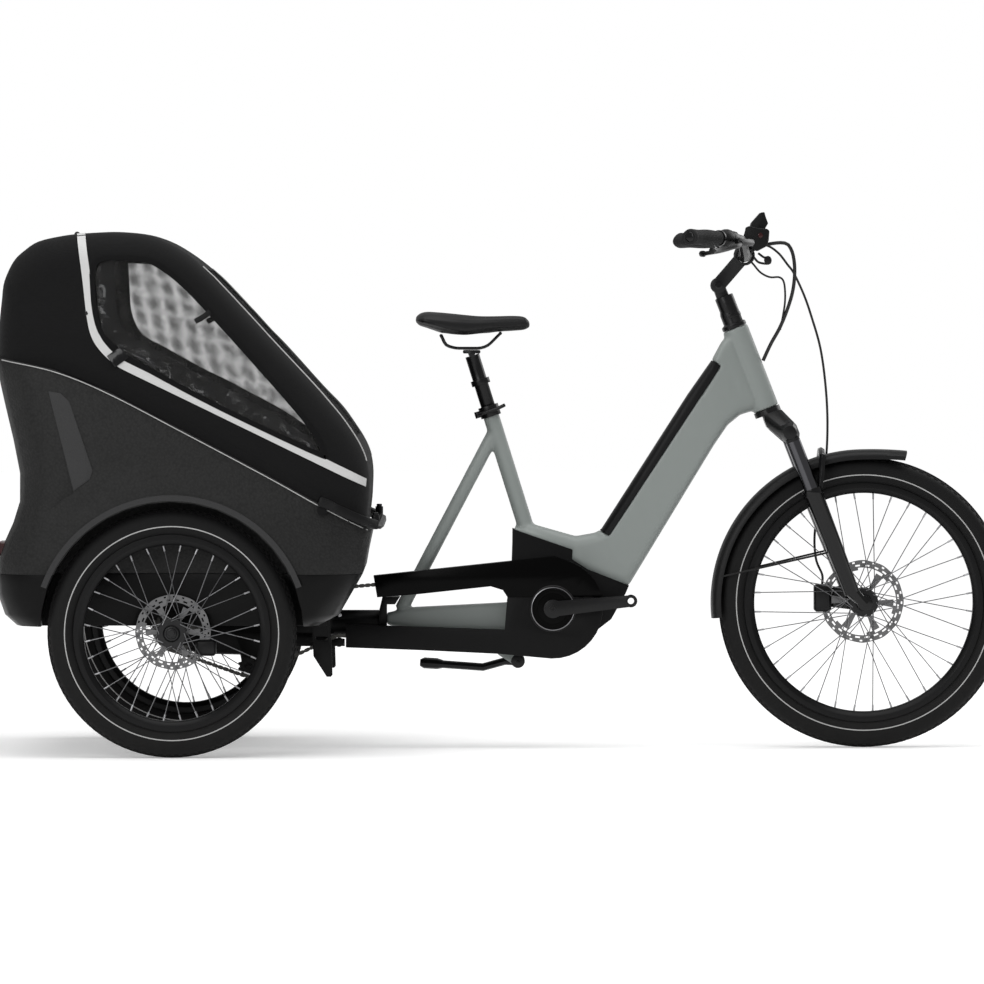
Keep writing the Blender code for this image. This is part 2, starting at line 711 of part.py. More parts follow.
def cargo_box(paint, joints):
    """The foam box, its lower tray, the bench inside, the front bar and the rear lamps."""
    well_cutters = wheel_wells()
    under = box((-1.30, -BOX_INNER_HALF, 0.10), (-0.10, BOX_INNER_HALF, BOX_FLOOR_Z))
    upper_space = box((-1.30, -0.7, BOX_SEAM_Z), (-0.10, 0.7, 1.2))
    lower_space = box((-1.30, -0.7, -0.20), (-0.10, 0.7, BOX_SEAM_Z + GAP))
    inner_high = BOX_LEVELS[-1][0] + 0.05
    floor_top = BOX_FLOOR_Z + BOX_FLOOR_WALL
    tub_space = common(
        box_skin(BOX_WALL), box((-1.30, -BOX_INNER_HALF, floor_top), (-0.10, BOX_INNER_HALF, inner_high))
    )
    shoulder = REAR_TYRE_RADIUS + WELL_RADIUS + BOX_WALL
    upper_inside = common(box_skin(BOX_WALL), box((-1.30, -0.7, shoulder), (-0.10, 0.7, inner_high)))
    tray = cut(box_skin(), upper_space, under, *[copy_of(w) for w in well_cutters], copy_of(tub_space))
    mat_low, mat_high = FLOOR_MAT
    mat = box((*mat_low, floor_top - FLOOR_MAT_RISE), (*mat_high, floor_top + FLOOR_MAT_RISE))
    node("cargo_tub", fused(tray, mat), paint["tub"])
    lips = []
    for side in (-1, 1):
        face = side * (BOX_LEVELS[5][3] - 0.006)
        proud = side * (BOX_LEVELS[5][3] + FENDER_LIP_PROUD)
        outer = WELL_RADIUS + FENDER_LIP
        lips.append(
            cylinder(REAR_AXLE + Vector((0, face, 0)), REAR_AXLE + Vector((0, proud, 0)), outer, segments=36)
        )
    shell = cut(
        fused(box_skin(), *lips), lower_space, *well_cutters, tub_space, upper_inside, above(RIM_LINE, 0.0)
    )
    recess_outline = [(-1.12, 0.815), (-0.9683, 0.7763), (-0.9135, 0.5593), (-1.12, 0.430)]
    recesses = [prism(recess_outline, side * 0.428, side * 0.60) for side in (-1, 1)]
    pockets = [tail_lamp(side, GAP) for side in (-1, 1)]
    node("cargo_shell", cut(shell, *recesses, *pockets), paint["foam"])
    bench(paint)
    front_bar(paint)
    for tag, side in (("right", -1), ("left", 1)):
        node("tail_light_" + tag, tail_lamp(side, 0.0), paint["lamp"])


def tail_lamp(side, grow):
    """A lamp let into the box's rear wall, or its pocket when grown."""
    low = Vector((-1.0790, side * TAIL_LIGHT_Y - 0.045, TAIL_LIGHT_Z - 0.015))
    high = Vector((-1.0560, side * TAIL_LIGHT_Y + 0.045, TAIL_LIGHT_Z + 0.015))
    extra = Vector((grow, grow, grow))
    return box(low - extra, high + extra, 0.004)


def bench(paint):
    """A bench with a leaning back, and its cushion."""
    floor = BOX_FLOOR_Z + BOX_FLOOR_WALL + GAP
    half = BOX_INNER_HALF - 0.004
    seat_z, back_z, board = 0.520, 0.780, 0.012
    outline = [
        (-0.720, floor), (
            -0.690, seat_z - board
        ), (-0.690, seat_z), (-0.955, seat_z - 0.012), (-1.012, back_z),
        (-1.026, back_z), (-0.970, seat_z - 0.030), (-0.706, seat_z - board), (-0.734, floor),
    ]
    node("bench", prism(outline, -half, half), paint["bench"])
    pad = 0.038
    soft = [
        (-0.694, seat_z + GAP), (-0.690, seat_z + pad * 0.6), (-0.704, seat_z + pad), (
            -0.912, seat_z + pad - 0.010
        ),
        (-0.970, back_z - 0.006), (-0.992, back_z + 0.004), (-1.0085, back_z - 0.010), (
            -0.9545, seat_z - 0.0115 + GAP
        ),
    ]
    node("bench_cushion", prism(soft, -half + 0.006, half - 0.006, 0.010, 2), paint["cushion"])


def front_bar(paint):
    """A bar from the box's sides round its front, with a knob on each arm."""
    radius = 0.0080
    z_end, z_front, x_front = 0.5400, 0.4880, -0.2700
    half = BOX_LEVELS[6][3] + radius + GAP
    side = [(-0.395, half, z_end), (-0.350, half, 0.5205), (-0.3065, half - 0.022, 0.5010)]
    side += [(-0.279, half - 0.070, 0.4910), (x_front, half - 0.140, z_front)]
    route = [(x, -y, z) for x, y, z in side] + [(x_front, 0, z_front)] + [
        (x, y, z) for x, y, z in reversed(side)
    ]
    bar = tube(smooth_path(route, 0.060), radius, 1)
    knobs = [
        cylinder(
            (-0.279, s * (half - 0.070), 0.494), (-0.279, s * (half - 0.070), 0.5120), 0.0085, segments=12
        )
        for s in (-1, 1)
    ]
    lug_x, lug_z, lug_radius = -0.3905, 0.5225, 0.0105
    face = box_half(lug_z - lug_radius) + GAP
    lugs = [
        cylinder((lug_x, s * face, lug_z), (lug_x, s * half, lug_z), lug_radius, segments=12)
        for s in (-1, 1)
    ]
    node("front_bar", fused(bar, *knobs, *lugs), paint["black_steel"])


def hood_half(z):
    return HOOD_HALF_LOW - HOOD_TAPER * (z - HOOD_HALF_LOW_Z)


def hood_skin(inset):
    """The hood as a closed solid with rounded edges, drawn in by the inset and narrower towards the top."""
    outline = [*HOOD_LINE, HOOD_FOOT]
    rounding = HOOD_CORNER - inset
    rings = []
    for side in (-1, 1):
        for angle in (90, 45, 0)[::-side]:
            turn = math.radians(angle)
            drawn = inset_outline(outline, inset + rounding * (1 - math.cos(turn)))
            back = inset + rounding * (1 - math.sin(turn))
            rings.append([(x, side * (hood_half(z) - back), z) for x, z in drawn])
    return triangulated(loft(rings))


def hood(paint, joints):
    """The hood's fabric shell with its side and front openings, and the clear panels that fill them."""
    joint = joints["canopy"]
    below = prism(
        [(x, z + GAP) for x, z in RIM_LINE] + [(-0.20, 0.20), (-1.20, 0.20)], -0.7, 0.7
    )
    skin = cut(hood_skin(0.0), below, hood_skin(HOOD_WALL))
    side_opening = prism(SIDE_WINDOW, -0.60, -0.25)
    front_opening = box(
        (FRONT_WINDOW_X[0], -FRONT_WINDOW_HALF, 0.60), (FRONT_WINDOW_X[1], FRONT_WINDOW_HALF, 1.20)
    )
    side_pane = common(copy_of(skin), prism(shrunk(SIDE_WINDOW, GAP), -0.60, -0.25))
    front_pane = box(
        (FRONT_WINDOW_X[0] + GAP, -FRONT_WINDOW_HALF + GAP, 0.60 + GAP),
        (FRONT_WINDOW_X[1] - GAP, FRONT_WINDOW_HALF - GAP, 1.20),
    )
    node("window_left", flipped(side_pane), paint["clear"], joint)
    node("window_right", side_pane, paint["clear"], joint)
    node("window_front", common(copy_of(skin), front_pane), paint["clear"], joint)
    node("canopy", mirrored(cut(skin, side_opening, front_opening)), paint["fabric"], joint)


def shrunk(outline, amount):
    """A convex-like outline drawn in towards its middle by about the amount."""
    middle = sum((Vector(p) for p in outline), Vector((0, 0))) / len(outline)
    result = []
    for point in outline:
        offset = Vector(point) - middle
        result.append(tuple(middle + offset * (1 - 2.5 * amount / offset.length)))
    return result


def rear_frame(paint):
    """Ladder rails under the box, the spine with the lean pivot's housing, and the axle housings."""
    rail_top = BOX_FLOOR_Z - GAP
    rails = [
        box(
            (-1.000, side * RAIL_Y - RAIL_WIDTH / 2, rail_top - RAIL_HEIGHT),
            (-0.372, side * RAIL_Y + RAIL_WIDTH / 2, rail_top)
        )
        for side in (-1, 1)
    ]
    half = RAIL_Y + RAIL_WIDTH / 2
    front_cross = box((-0.425, -half, 0.272), (-0.385, half, 0.3150))
    rear_cross = box((-1.000, -half, rail_top - RAIL_HEIGHT), (-0.965, half, rail_top))
    spine_levels = ((-0.372, 0.243, 0.291, 0.028), (-0.430, 0.236, 0.290, 0.033),
                    (-0.540, 0.200, 0.276, SPINE_HALF_WIDTH),
                    (-0.665, 0.203, 0.278, SPINE_HALF_WIDTH), (-0.755, 0.232, 0.292, 0.030))
    spine = loft([
        ring_of((x, 0, (low + high) / 2), (0, 1, 0), (0, 0, 1), wide, (high - low) / 2, 0.012)
        for x, low, high, wide in spine_levels
    ])
    housing = cylinder(
        (LEAN_HOUSING[0], 0, LEAN_Z), (LEAN_HOUSING[1], 0, LEAN_Z), LEAN_HOUSING_RADIUS, segments=20
    )
    end_y = REAR_HUB_INNER_END - GAP
    sprocket_half = 0.0130
    left_axle = cylinder(REAR_AXLE, REAR_AXLE + Vector((0, end_y, 0)), AXLE_HOUSING_RADIUS)
    hub_right = CHAIN_Y - sprocket_half
    right_axle = cylinder(
        REAR_AXLE + Vector((0, hub_right - GAP, 0)), REAR_AXLE + Vector((0, -end_y, 0)), AXLE_HOUSING_RADIUS
    )
    pieces = [*rails, front_cross, rear_cross, spine, housing, left_axle, right_axle]
    x0 = REAR_AXLE_X
    for side in (-1, 1):
        hanger = [(x0 - 0.050, rail_top - 0.020), (x0 + 0.050, rail_top - 0.020),
                  (x0 + 0.024, REAR_TYRE_RADIUS - 0.006),
                  (x0 - 0.024, REAR_TYRE_RADIUS - 0.006)]
        pieces.append(prism(hanger, side * RAIL_Y - 0.007, side * RAIL_Y + 0.007))
        tab = [(x0 - 0.020, REAR_TYRE_RADIUS + 0.012), (x0 + 0.012, REAR_TYRE_RADIUS + 0.012),
               (x0 + 0.070, REAR_TYRE_RADIUS - 0.002),
               (x0 + 0.070, REAR_TYRE_RADIUS - 0.040), (x0 - 0.010, REAR_TYRE_RADIUS - 0.020)]
        pieces.append(prism(tab, side * 0.3150, side * 0.3230))
        foot = [(-0.4200, rail_top - 0.012), (-0.3830, rail_top - 0.012), (-0.3743, 0.2226),
                (-0.3726, 0.1660), (-0.3760, 0.1620),
                (-0.3850, 0.1620), (-0.4134, 0.2062)]
        slot = [(-0.4080, 0.2400), (-0.3830, 0.2400), (-0.3830, 0.2480), (-0.4080, 0.2480)]
        plate = cut(prism(foot, side * 0.2040, side * 0.2120), prism(slot, side * 0.19, side * 0.23))
        pieces.append(plate)
    frame = fused(*pieces)
    shaft_bore = bore(
        (LEAN_HOUSING[0] - 0.02, 0, LEAN_Z), (LEAN_HOUSING[1] + 0.02, 0, LEAN_Z), LEAN_SHAFT_RADIUS + GAP
    )
    node("rear_frame", cut(frame, shaft_bore), paint["black_steel"])
    sprocket(paint)


def tooth_wheel(centre, y, teeth, wall, hole_radius):
    """A toothed disc with a bore, its teeth inside the chain's channel."""
    pitch = pitch_radius(teeth)
    root, tip = pitch - 0.0038, pitch + 0.0010
    outline = []
    for i in range(teeth):
        middle = 360.0 * i / teeth
        half_tooth = 180.0 / teeth
        for angle, radius in ((-0.25 * half_tooth, tip), (0.25 * half_tooth, tip), (half_tooth, root)):
            a = math.radians(middle + angle)
            outline.append((centre.x + radius * math.cos(a), centre.z + radius * math.sin(a)))
    disc = prism(outline, y - wall / 2, y + wall / 2)
    hole = bore((centre.x, y - 0.02, centre.z), (centre.x, y + 0.02, centre.z), hole_radius)
    return disc, hole


def sprocket(paint):
    """Rear sprocket on its short hub between the axle housings."""
    disc, hole = tooth_wheel(REAR_AXLE, CHAIN_Y, SPROCKET_TEETH, TOOTH_WALL, 0.010)
    left_face = -SPINE_HALF_WIDTH - GAP
    right_face = CHAIN_Y - 0.0130
    hub = cylinder(
        (REAR_AXLE.x, right_face, REAR_AXLE.z), (REAR_AXLE.x, left_face, REAR_AXLE.z), 0.030, segments=18
    )
    return node("rear_sprocket", fused(disc, hub), paint["steel"], JOINTS["sprocket"])


def belt_path(wraps, sag):
    """The closed line of a chain round (centre, radius, turn) wraps; turn is 1 where it runs with the loop."""
    ends = []
    count = len(wraps)
    for i in range(count):
        (ax, az), ra, ta = wraps[i]
        (bx, bz), rb, tb = wraps[(i + 1) % count]
        dx, dz = bx - ax, bz - az
        distance = math.hypot(dx, dz)
        base = math.atan2(dz, dx)
        tilt = math.asin((ra * ta - rb * tb) / distance)
        normal = base + tilt - math.pi / 2
        ends.append((
            (ax + ra * ta * math.cos(normal), az + ra * ta * math.sin(normal)),
            (bx + rb * tb * math.cos(normal), bz + rb * tb * math.sin(normal)),
        ))
    points = []
    for i in range(count):
        centre, radius, turn = wraps[i]
        arrive, leave = ends[i - 1][1], ends[i][0]
        a0 = math.atan2(arrive[1] - centre[1], arrive[0] - centre[0])
        a1 = math.atan2(leave[1] - centre[1], leave[0] - centre[0])
        sweep = (a1 - a0) % (2 * math.pi) if turn > 0 else -((a0 - a1) % (2 * math.pi))
        steps = max(1, math.ceil(abs(sweep) / math.sqrt(8 * sag / radius)))
        for k in range(steps + 1):
            a = a0 + sweep * k / steps
            points.append((centre[0] + radius * math.cos(a), centre[1] + radius * math.sin(a)))
    return points


def chain_loop():
    ring, rear, pulley = (pitch_radius(t) for t in (RING_TEETH, SPROCKET_TEETH, PULLEY_TEETH))
    guide = GUIDE_RADIUS + CHAIN_HALF_HEIGHT + CHAIN_SAG + GAP
    wraps = [
        (flat(CRANK), ring, 1), (
            flat(REAR_AXLE), rear, 1
        ), (PULLEY_CENTRE, pulley, 1), (GUIDE_CENTRE, guide, -1),
    ]
    return belt_path(wraps, CHAIN_SAG)


def chain(paint):
    """A chain drawn as a channel round its loop: two rows of plates joined on the outer side."""
    path = chain_loop()
    count = len(path)
    outer, inner, web = CHAIN_HALF_HEIGHT, -CHAIN_HALF_HEIGHT, CHAIN_WEB
    wide, slot = CHAIN_HALF_WIDTH, CHAIN_HALF_WIDTH - CHAIN_PLATE
    section = [
        (inner, -wide), (outer, -wide), (outer, wide), (inner, wide), (inner, slot), (web, slot),
        (web, -slot), (inner, -slot)
    ]
    shape = bmesh.new()
    rows = []
    for i, (x, z) in enumerate(path):
        before, after = Vector(path[i - 1]), Vector(path[(i + 1) % count])
        along = (after - before).normalized()
        out = Vector((along.y, -along.x))
        rows.append([shape.verts.new((x + out.x * o, CHAIN_Y + y, z + out.y * o)) for o, y in section])
    for i in range(count):
        a, b = rows[i], rows[(i + 1) % count]
        for k in range(len(section)):
            m = (k + 1) % len(section)
            shape.faces.new((a[k], a[m], b[m], b[k]))
    node("chain", from_bmesh(shape), paint["steel"])
    tensioner(paint)


def tensioner(paint):
    """A fixed arm on the spine with the chain's guide roller, and the toothed pulley that it carries."""
    side = -SPINE_HALF_WIDTH - GAP
    px, pz = PULLEY_CENTRE
    gx, gz = GUIDE_CENTRE
    disc, hole = tooth_wheel(Vector((px, 0, pz)), CHAIN_Y, PULLEY_TEETH, TOOTH_WALL, 0.0055)
    node("tensioner_pulley", cut(disc, hole), paint["black_plastic"], JOINTS["pulley"])
    arm_left, arm_right = side, side - 0.0060
    outline = [(px - 0.012, pz - 0.006), (px + 0.010, pz - 0.009), (px + 0.070, 0.2200),
               (gx + 0.012, gz - 0.009),
               (gx + 0.012, gz + 0.007), (px + 0.060, 0.2520), (px - 0.030, 0.2500)]
    arm = prism(outline, arm_right, arm_left)
    axle = cylinder((px, arm_left, pz), (px, CHAIN_Y - 0.006, pz), 0.0052, segments=14)
    roller = cylinder((gx, arm_left, gz), (gx, CHAIN_Y - 0.0075, gz), GUIDE_RADIUS, segments=16)
    node("tensioner_arm", fused(arm, axle, roller), paint["black_steel"])


def rear_caliper(side):
    """A caliper that straddles the rear disc in front of the axle."""
    x, z = REAR_AXLE_X + 0.048, REAR_TYRE_RADIUS - 0.050
    face = 0.3230 + GAP
    body = box(
        (x, min(side * face, side * 0.3640), z), (x + 0.044, max(side * face, side * 0.3640), z + 0.034),
        0.005
    )
    low, high = sorted((side * (REAR_ROTOR_Y - 0.0022), side * (REAR_ROTOR_Y + 0.0022)))
    disc = cylinder(
        (REAR_AXLE_X, low, REAR_TYRE_RADIUS), (REAR_AXLE_X, high, REAR_TYRE_RADIUS),
        REAR_ROTOR_RADIUS + 0.002, segments=36
    )
    return cut(body, disc)


def tube_loft(paint):
    """The large down tube from the motor to the head, as a skin through rounded sections."""
    sections = (
        (crank(-0.060, 0.186), crank(-0.058, 0.140), 0.024),
        (crank(0.0027, 0.1679), crank(-0.004, 0.108), 0.030),
        (crank(0.0500, 0.1545), crank(0.050, 0.084), 0.036),
        (crank(0.0938, 0.1621), crank(0.118, 0.062), 0.040),
        (crank(0.1064, 0.1706), crank(0.1651, 0.0491), 0.0425),
    )
    top_a, top_b = crank(0.1064, 0.1706), head(0.1695, -0.0391)
    low_a, low_b = crank(0.1651, 0.0491), head(-0.0324, -0.1359)
    middle = [(top_a.lerp(top_b, 0.90 * t), low_a.lerp(low_b, t), 0.0425) for t in (0.45, 0.80)]
    upper = (
        (head(0.1410, -0.0720), head(-0.0324, -0.1359), 0.0415),
        (head(0.1600, -0.0500), head(-0.0016, -0.0908), 0.0380),
        (head(0.1695, -0.0391), head(0.0090, -0.0575), 0.0340),
        (head(0.1800, -0.0200), head(0.0060, -0.0200), 0.0270),
    )
    rings = []
    for high, low, half in (*sections, *middle, *upper):
        up = high - low
        rings.append(ring_of((high + low) / 2, (0, 1, 0), up.normalized(), half, up.length / 2, 0.020, 4))
    return loft(rings)


def battery_slab(grow):
    """The part of the down tube that the battery's cover fills, from its upper face down."""
    a, b = crank(0.1064, 0.1706), head(0.1695, -0.0391)
    along = (b - a).normalized()
    outward = Vector((-along.z, 0, along.x))
    start, end = a - along * (0.004 + grow), head(0.1395, -0.0715) + along * grow
    deep = BATTERY_COVER_DEPTH + grow
    corners = [start + outward * 0.03, end + outward * 0.03, end - outward * deep, start - outward * deep]
    return prism([flat(c) for c in corners], -0.08, 0.08)


def battery_body(grow):
    """The battery's own case, in a pocket under its cover."""
    a, b = crank(0.1064, 0.1706), head(0.1695, -0.0391)
    along = (b - a).normalized()
    outward = Vector((-along.z, 0, along.x))
    start = a + along * (0.020 - grow)
    end = head(0.1395, -0.0715) - along * (0.014 - grow)
    deep = BATTERY_DEPTH + grow
    half = BATTERY_WIDTH / 2 + grow
    corners = [start - outward * 0.010, end - outward * 0.010, end - outward * deep, start - outward * deep]
    return prism([flat(c) for c in corners], -half, half)


def above_edge(lift):
    """Everything above the lower edge of the painted frame over the motor, raised by the lift."""
    line = [crank(-0.1300, 0.1900), crank(-0.0797, 0.1693), crank(0.0433, 0.1265), crank(0.0420, 0.1060),
            crank(0.0757, 0.0842), crank(0.1651, 0.0491), crank(0.2100, 0.0315)]
    outline = [(p.x + lift, p.z + lift) for p in line]
    return prism(
        [*outline, flat(crank(0.6, 0.03)), flat(crank(0.6, 0.8)), flat(crank(-0.13, 0.8))], -0.1, 0.1
    )


def motor_block(inset, right, left):
    """The motor shell's form: round at the rear and below, and running forward to the belly."""
    belly = [
        crank(0.1720, 0.0653), crank(0.1576, 0.0317), crank(0.136, -0.0067), crank(0.1265, -0.024),
        crank(0.0987, -0.0455)
    ]
    round_part = arc(flat(CRANK), SHELL_RADIUS, -40, -205, 11)
    top = [crank(-0.0870, 0.1400), crank(-0.0860, 0.2500), crank(0.1720, 0.2500)]
    outline = [flat(p) for p in belly] + round_part + [flat(p) for p in top]
    return prism(inset_outline(outline, inset) if inset else outline, right, left)


def main_frame(paint, joint):
    """The rider frame: head tube, down tube, seat tube, strut, rear beam, motor shell and stand lug."""
    tube_skin = tube_loft(paint)
    cover = common(copy_of(tube_skin), battery_slab(0.0))
    node("battery", fused(cover, battery_body(0.0)), paint["battery"], joint)
    down_tube = common(cut(tube_skin, battery_slab(GAP), battery_body(GAP)), above_edge(0.0))
    head_tube = cylinder(head(0, 0), head(HEAD_LENGTH, 0), HEAD_RADIUS, segments=28)
    seat_tube = cylinder(SEAT_LOW - SEAT_UP * 0.012, SEAT_TOP, SEAT_TUBE_RADIUS)
    strut_top = SEAT_LOW + SEAT_UP * STRUT_JOIN
    strut = cylinder(strut_top, (-0.2280, 0, 0.2970), STRUT_RADIUS, segments=16)
    beam_rear_x, beam_rear_z = BEAM_REAR
    beam = loft([
        ring_of((x, 0, z), (0, 1, 0), (0, 0, 1), half, high, 0.008)
        for x, z, half, high in ((beam_rear_x, beam_rear_z, 0.024, 0.0130),
                                 (beam_rear_x + 0.060, 0.2790, BEAM_HALF_WIDTH, 0.0240),
                                 (CRANK_X - 0.080, BEAM_FRONT_Z, BEAM_HALF_WIDTH, 0.0310))
    ])
    shell = motor_block(COVER_WALL + GAP, -MOTOR_RIGHT, MOTOR_LEFT - COVER_WALL)
    motor_shell = cut(shell, above_edge(0.004))
    bay = bore(crank(0, 0, -0.2), crank(0, 0, 0.2), MOTOR_RADIUS + GAP, segments=28)
    lug = prism([(-0.038, 0.262), (-0.004, 0.262), (0.016, 0.214), (0.030, 0.200), (0.034, 0.183),
                    (0.025, 0.1745), (0.014, 0.178), (-0.020, 0.200)],
                0.0140, 0.0260)
    frame = fused(down_tube, head_tube, seat_tube, strut, beam, motor_shell, lug)
    steerer_bore = bore(head(-0.05, 0), head(HEAD_LENGTH + 0.05, 0), STEERER_RADIUS + GAP)
    post_bore = bore(SEAT_LOW + SEAT_UP * 0.018, SEAT_TOP + SEAT_UP * 0.05, POST_RADIUS + GAP)
    node("main_frame", cut(frame, bay, steerer_bore, post_bore), paint["frame"], joint)


def motor(paint, joint):
    """The drive unit in its bay and the plastic cover round the motor shell."""
    right, left = -MOTOR_RIGHT, MOTOR_LEFT - COVER_WALL
    profile = [
        (SPINDLE_RADIUS + GAP, left), (SPINDLE_RADIUS + GAP, right), (MOTOR_RADIUS, right),
        (MOTOR_RADIUS, left)
    ]
    unit = turned(profile, CRANK, (0, 1, 0), steps=28, closed=True)
    node("drive_unit", unit, paint["black_metal"], joint)
    outer = cut(motor_block(0.0, CASE_INNER_Y + GAP, MOTOR_LEFT), above_edge(-GAP))
    inner = motor_block(COVER_WALL, -MOTOR_RIGHT - GAP, left + GAP)
    beam_space = box(
        (CRANK_X - 0.15, -BEAM_HALF_WIDTH - GAP, BEAM_FRONT_Z - 0.0315),
        (CRANK_X - 0.06, BEAM_HALF_WIDTH + GAP, BEAM_FRONT_Z + 0.0315)
    )
    right_hole = cylinder(crank(0, 0, -0.10), crank(0, 0, -MOTOR_RIGHT + 0.01), 0.052, segments=32)
    left_hole = cylinder(crank(0, 0, 0.02), crank(0, 0, 0.10), 0.030, segments=18)
    seat_space = bore(SEAT_LOW - SEAT_UP * 0.013, SEAT_LOW + SEAT_UP * 0.1, SEAT_TUBE_RADIUS + GAP)
    node(
        "motor_cover", cut(outer, inner, beam_space, right_hole, left_hole, seat_space), paint["cover"],
        joint
    )


def chain_covers(paint, joint):
    """The gloss guard over the chain's top run and the matt case round its lower run."""
    split = CRANK_Z + CASE_SPLIT
    guard = arc(flat(CRANK), CASE_RADIUS + 0.001, 14, 78, 7)
    guard += [(0.1038, 0.4150), (0.0328, 0.4074), (-0.2867, 0.3734), (-0.2788, 0.3268), (-0.1907, 0.3335),
              (-0.0340, 0.3504), (-0.0081, 0.3423),
              (0.0020, split)]
    lower = arc(flat(CRANK), CASE_RADIUS, -92, 13.0, 11)
    lower += [(CRANK_X + 0.02, split - GAP), (0.0020, split - GAP), (-0.0038, 0.2560), (-0.1864, 0.2615),
              (-0.3462, 0.2677), (-0.3462, 0.2187),
              (-0.1864, 0.2129), (-0.0151, 0.2048)]
    for name, outline, material in (("chain_guard", guard, "gloss"), ("chain_case", lower, "cover")):
        shell = prism(outline, CASE_OUTER_Y, CASE_INNER_Y, 0.0)
        inside = prism(inset_outline(outline, CASE_WALL), CASE_OUTER_Y + CASE_WALL, CASE_INNER_Y + 0.01)
        hole = cylinder(crank(0, 0, -0.2), crank(0, 0, -0.06), 0.050, segments=36)
        mouths = [
            box((-0.40, CASE_OUTER_Y + CASE_WALL, 0.2230), (-0.30, CASE_INNER_Y + 0.01, 0.2634)),
            box((-0.33, CASE_OUTER_Y + CASE_WALL, 0.3300), (-0.20, CASE_INNER_Y + 0.01, 0.3600)),
            box(
                (0.0060, CASE_OUTER_Y + CASE_WALL, split - 0.02),
                (CRANK_X + CASE_RADIUS - 0.0080, CASE_INNER_Y + 0.01, split + 0.02)
            ),
        ]
        node(name, cut(shell, inside, hole, *mouths), paint[material], joint)


def inset_outline(outline, amount):
    """An outline drawn in by the amount along each corner's bisector."""
    points = [Vector(p) for p in outline]
    area = sum(a.x * b.y - b.x * a.y for a, b in zip(points, points[1:] + points[:1]))
    sign = 1 if area > 0 else -1
    result = []
    for i, point in enumerate(points):
        before = (point - points[i - 1]).normalized()
        after = (points[(i + 1) % len(points)] - point).normalized()
        normal_a, normal_b = Vector((-before.y, before.x)) * sign, Vector((-after.y, after.x)) * sign
        bisector = (normal_a + normal_b).normalized()
        result.append(tuple(point + bisector * (amount / max(0.4, bisector.dot(normal_a)))))
    return result


def lean_yoke(paint, joint):
    """The black end of the rider frame: its shaft turns in the rear frame's housing."""
    rear = LEAN_HOUSING[1] + GAP
    beam_x = BEAM_REAR[0] - GAP
    guard_side = -CASE_INNER_Y - GAP
    plate = prism(
        [
            (rear, 0.2400), (beam_x, 0.2480), (beam_x, 0.2905), (-0.2440, 0.3050), (-0.2300, 0.3262),
            (-0.2680, 0.3262), (rear, 0.2960)
        ],
        -guard_side, guard_side
    )
    shaft = cylinder((beam_x - 0.004, 0, LEAN_Z), (LEAN_HOUSING[0] + 0.004, 0, LEAN_Z), LEAN_SHAFT_RADIUS)
    strut_space = bore(SEAT_LOW + SEAT_UP * STRUT_JOIN, (-0.2280, 0, 0.2970), STRUT_RADIUS + GAP)
    beam_space = box((BEAM_REAR[0] - GAP, -0.05, 0.20), (BEAM_REAR[0] + 0.10, 0.05, 0.3100))
    node("lean_yoke", cut(fused(plate, shaft), strut_space, beam_space), paint["black_steel"], joint)


def crankset(paint, joint):
    """Cranks, the spindle through the drive unit and the toothed chainring."""
    angle = math.radians(CRANK_RISE)
    reach = Vector((math.cos(angle), 0, math.sin(angle))) * CRANK_LENGTH
    up = Vector((-math.sin(angle), 0, math.cos(angle)))
    for tag, side in (("right", -1), ("left", 1)):
        tip = CRANK + (reach if side < 0 else -reach)
        direction = (tip - CRANK).normalized()
        outer, inner = side * CRANK_OUTER_Y, side * (CRANK_OUTER_Y - CRANK_WALL)
        low, high = sorted((outer, inner))
        near, far = 0.0165, 0.0125
        eye = cylinder(CRANK + Vector((0, low, 0)), CRANK + Vector((0, high, 0)), 0.0195, segments=18)
        tip_eye = cylinder(tip + Vector((0, low, 0)), tip + Vector((0, high, 0)), 0.0138, segments=16)
        corners = [
            CRANK + up * near, tip - direction * 0.004 + up * far, tip - direction * 0.004 - up * far,
            CRANK - up * near
        ]
        arm = prism([flat(c) for c in corners], low + 0.0008, high - 0.0008)
        thread = cylinder(tip + Vector((0, -0.2, 0)), tip + Vector((0, 0.2, 0)), 0.0070, segments=14)
        if side < 0:
            boss = cylinder(
                CRANK + Vector((0, inner - 0.002, 0)), CRANK + Vector((0, CHAIN_Y - 0.0026, 0)), 0.0185,
                segments=18
            )
            collar = cylinder(
                CRANK + Vector((0, -0.0786, 0)), CRANK + Vector((0, -0.0766, 0)), 0.0470, segments=32
            )
            shape = cut(fused(eye, tip_eye, arm, boss, collar), thread)
        else:
            spindle = cylinder(
                CRANK + Vector((0, inner + 0.004, 0)), CRANK + Vector((0, CHAIN_Y - 0.0022, 0)),
                SPINDLE_RADIUS
            )
            boss = cylinder(
                CRANK + Vector((0, inner + 0.002, 0)), CRANK + Vector((0, MOTOR_LEFT + GAP, 0)), 0.0185,
                segments=18
            )
            shape = cut(fused(eye, tip_eye, arm, spindle, boss), thread)
        node("crank_" + tag, shape, paint["black_metal"], joint)
    disc, hole = tooth_wheel(CRANK, CHAIN_Y, RING_TEETH, TOOTH_WALL, SPINDLE_RADIUS + GAP)
    windows = []
    for i in range(5):
        middle = 72.0 * i
        outline = arc(flat(CRANK), pitch_radius(RING_TEETH) - 0.014, middle - 24, middle + 24, 4)
        outline += arc(flat(CRANK), 0.030, middle + 18, middle - 18, 3)
        windows.append(prism(outline, CHAIN_Y - 0.01, CHAIN_Y + 0.01))
    node("chainring", cut(disc, hole, islands(windows)), paint["steel"], joint)


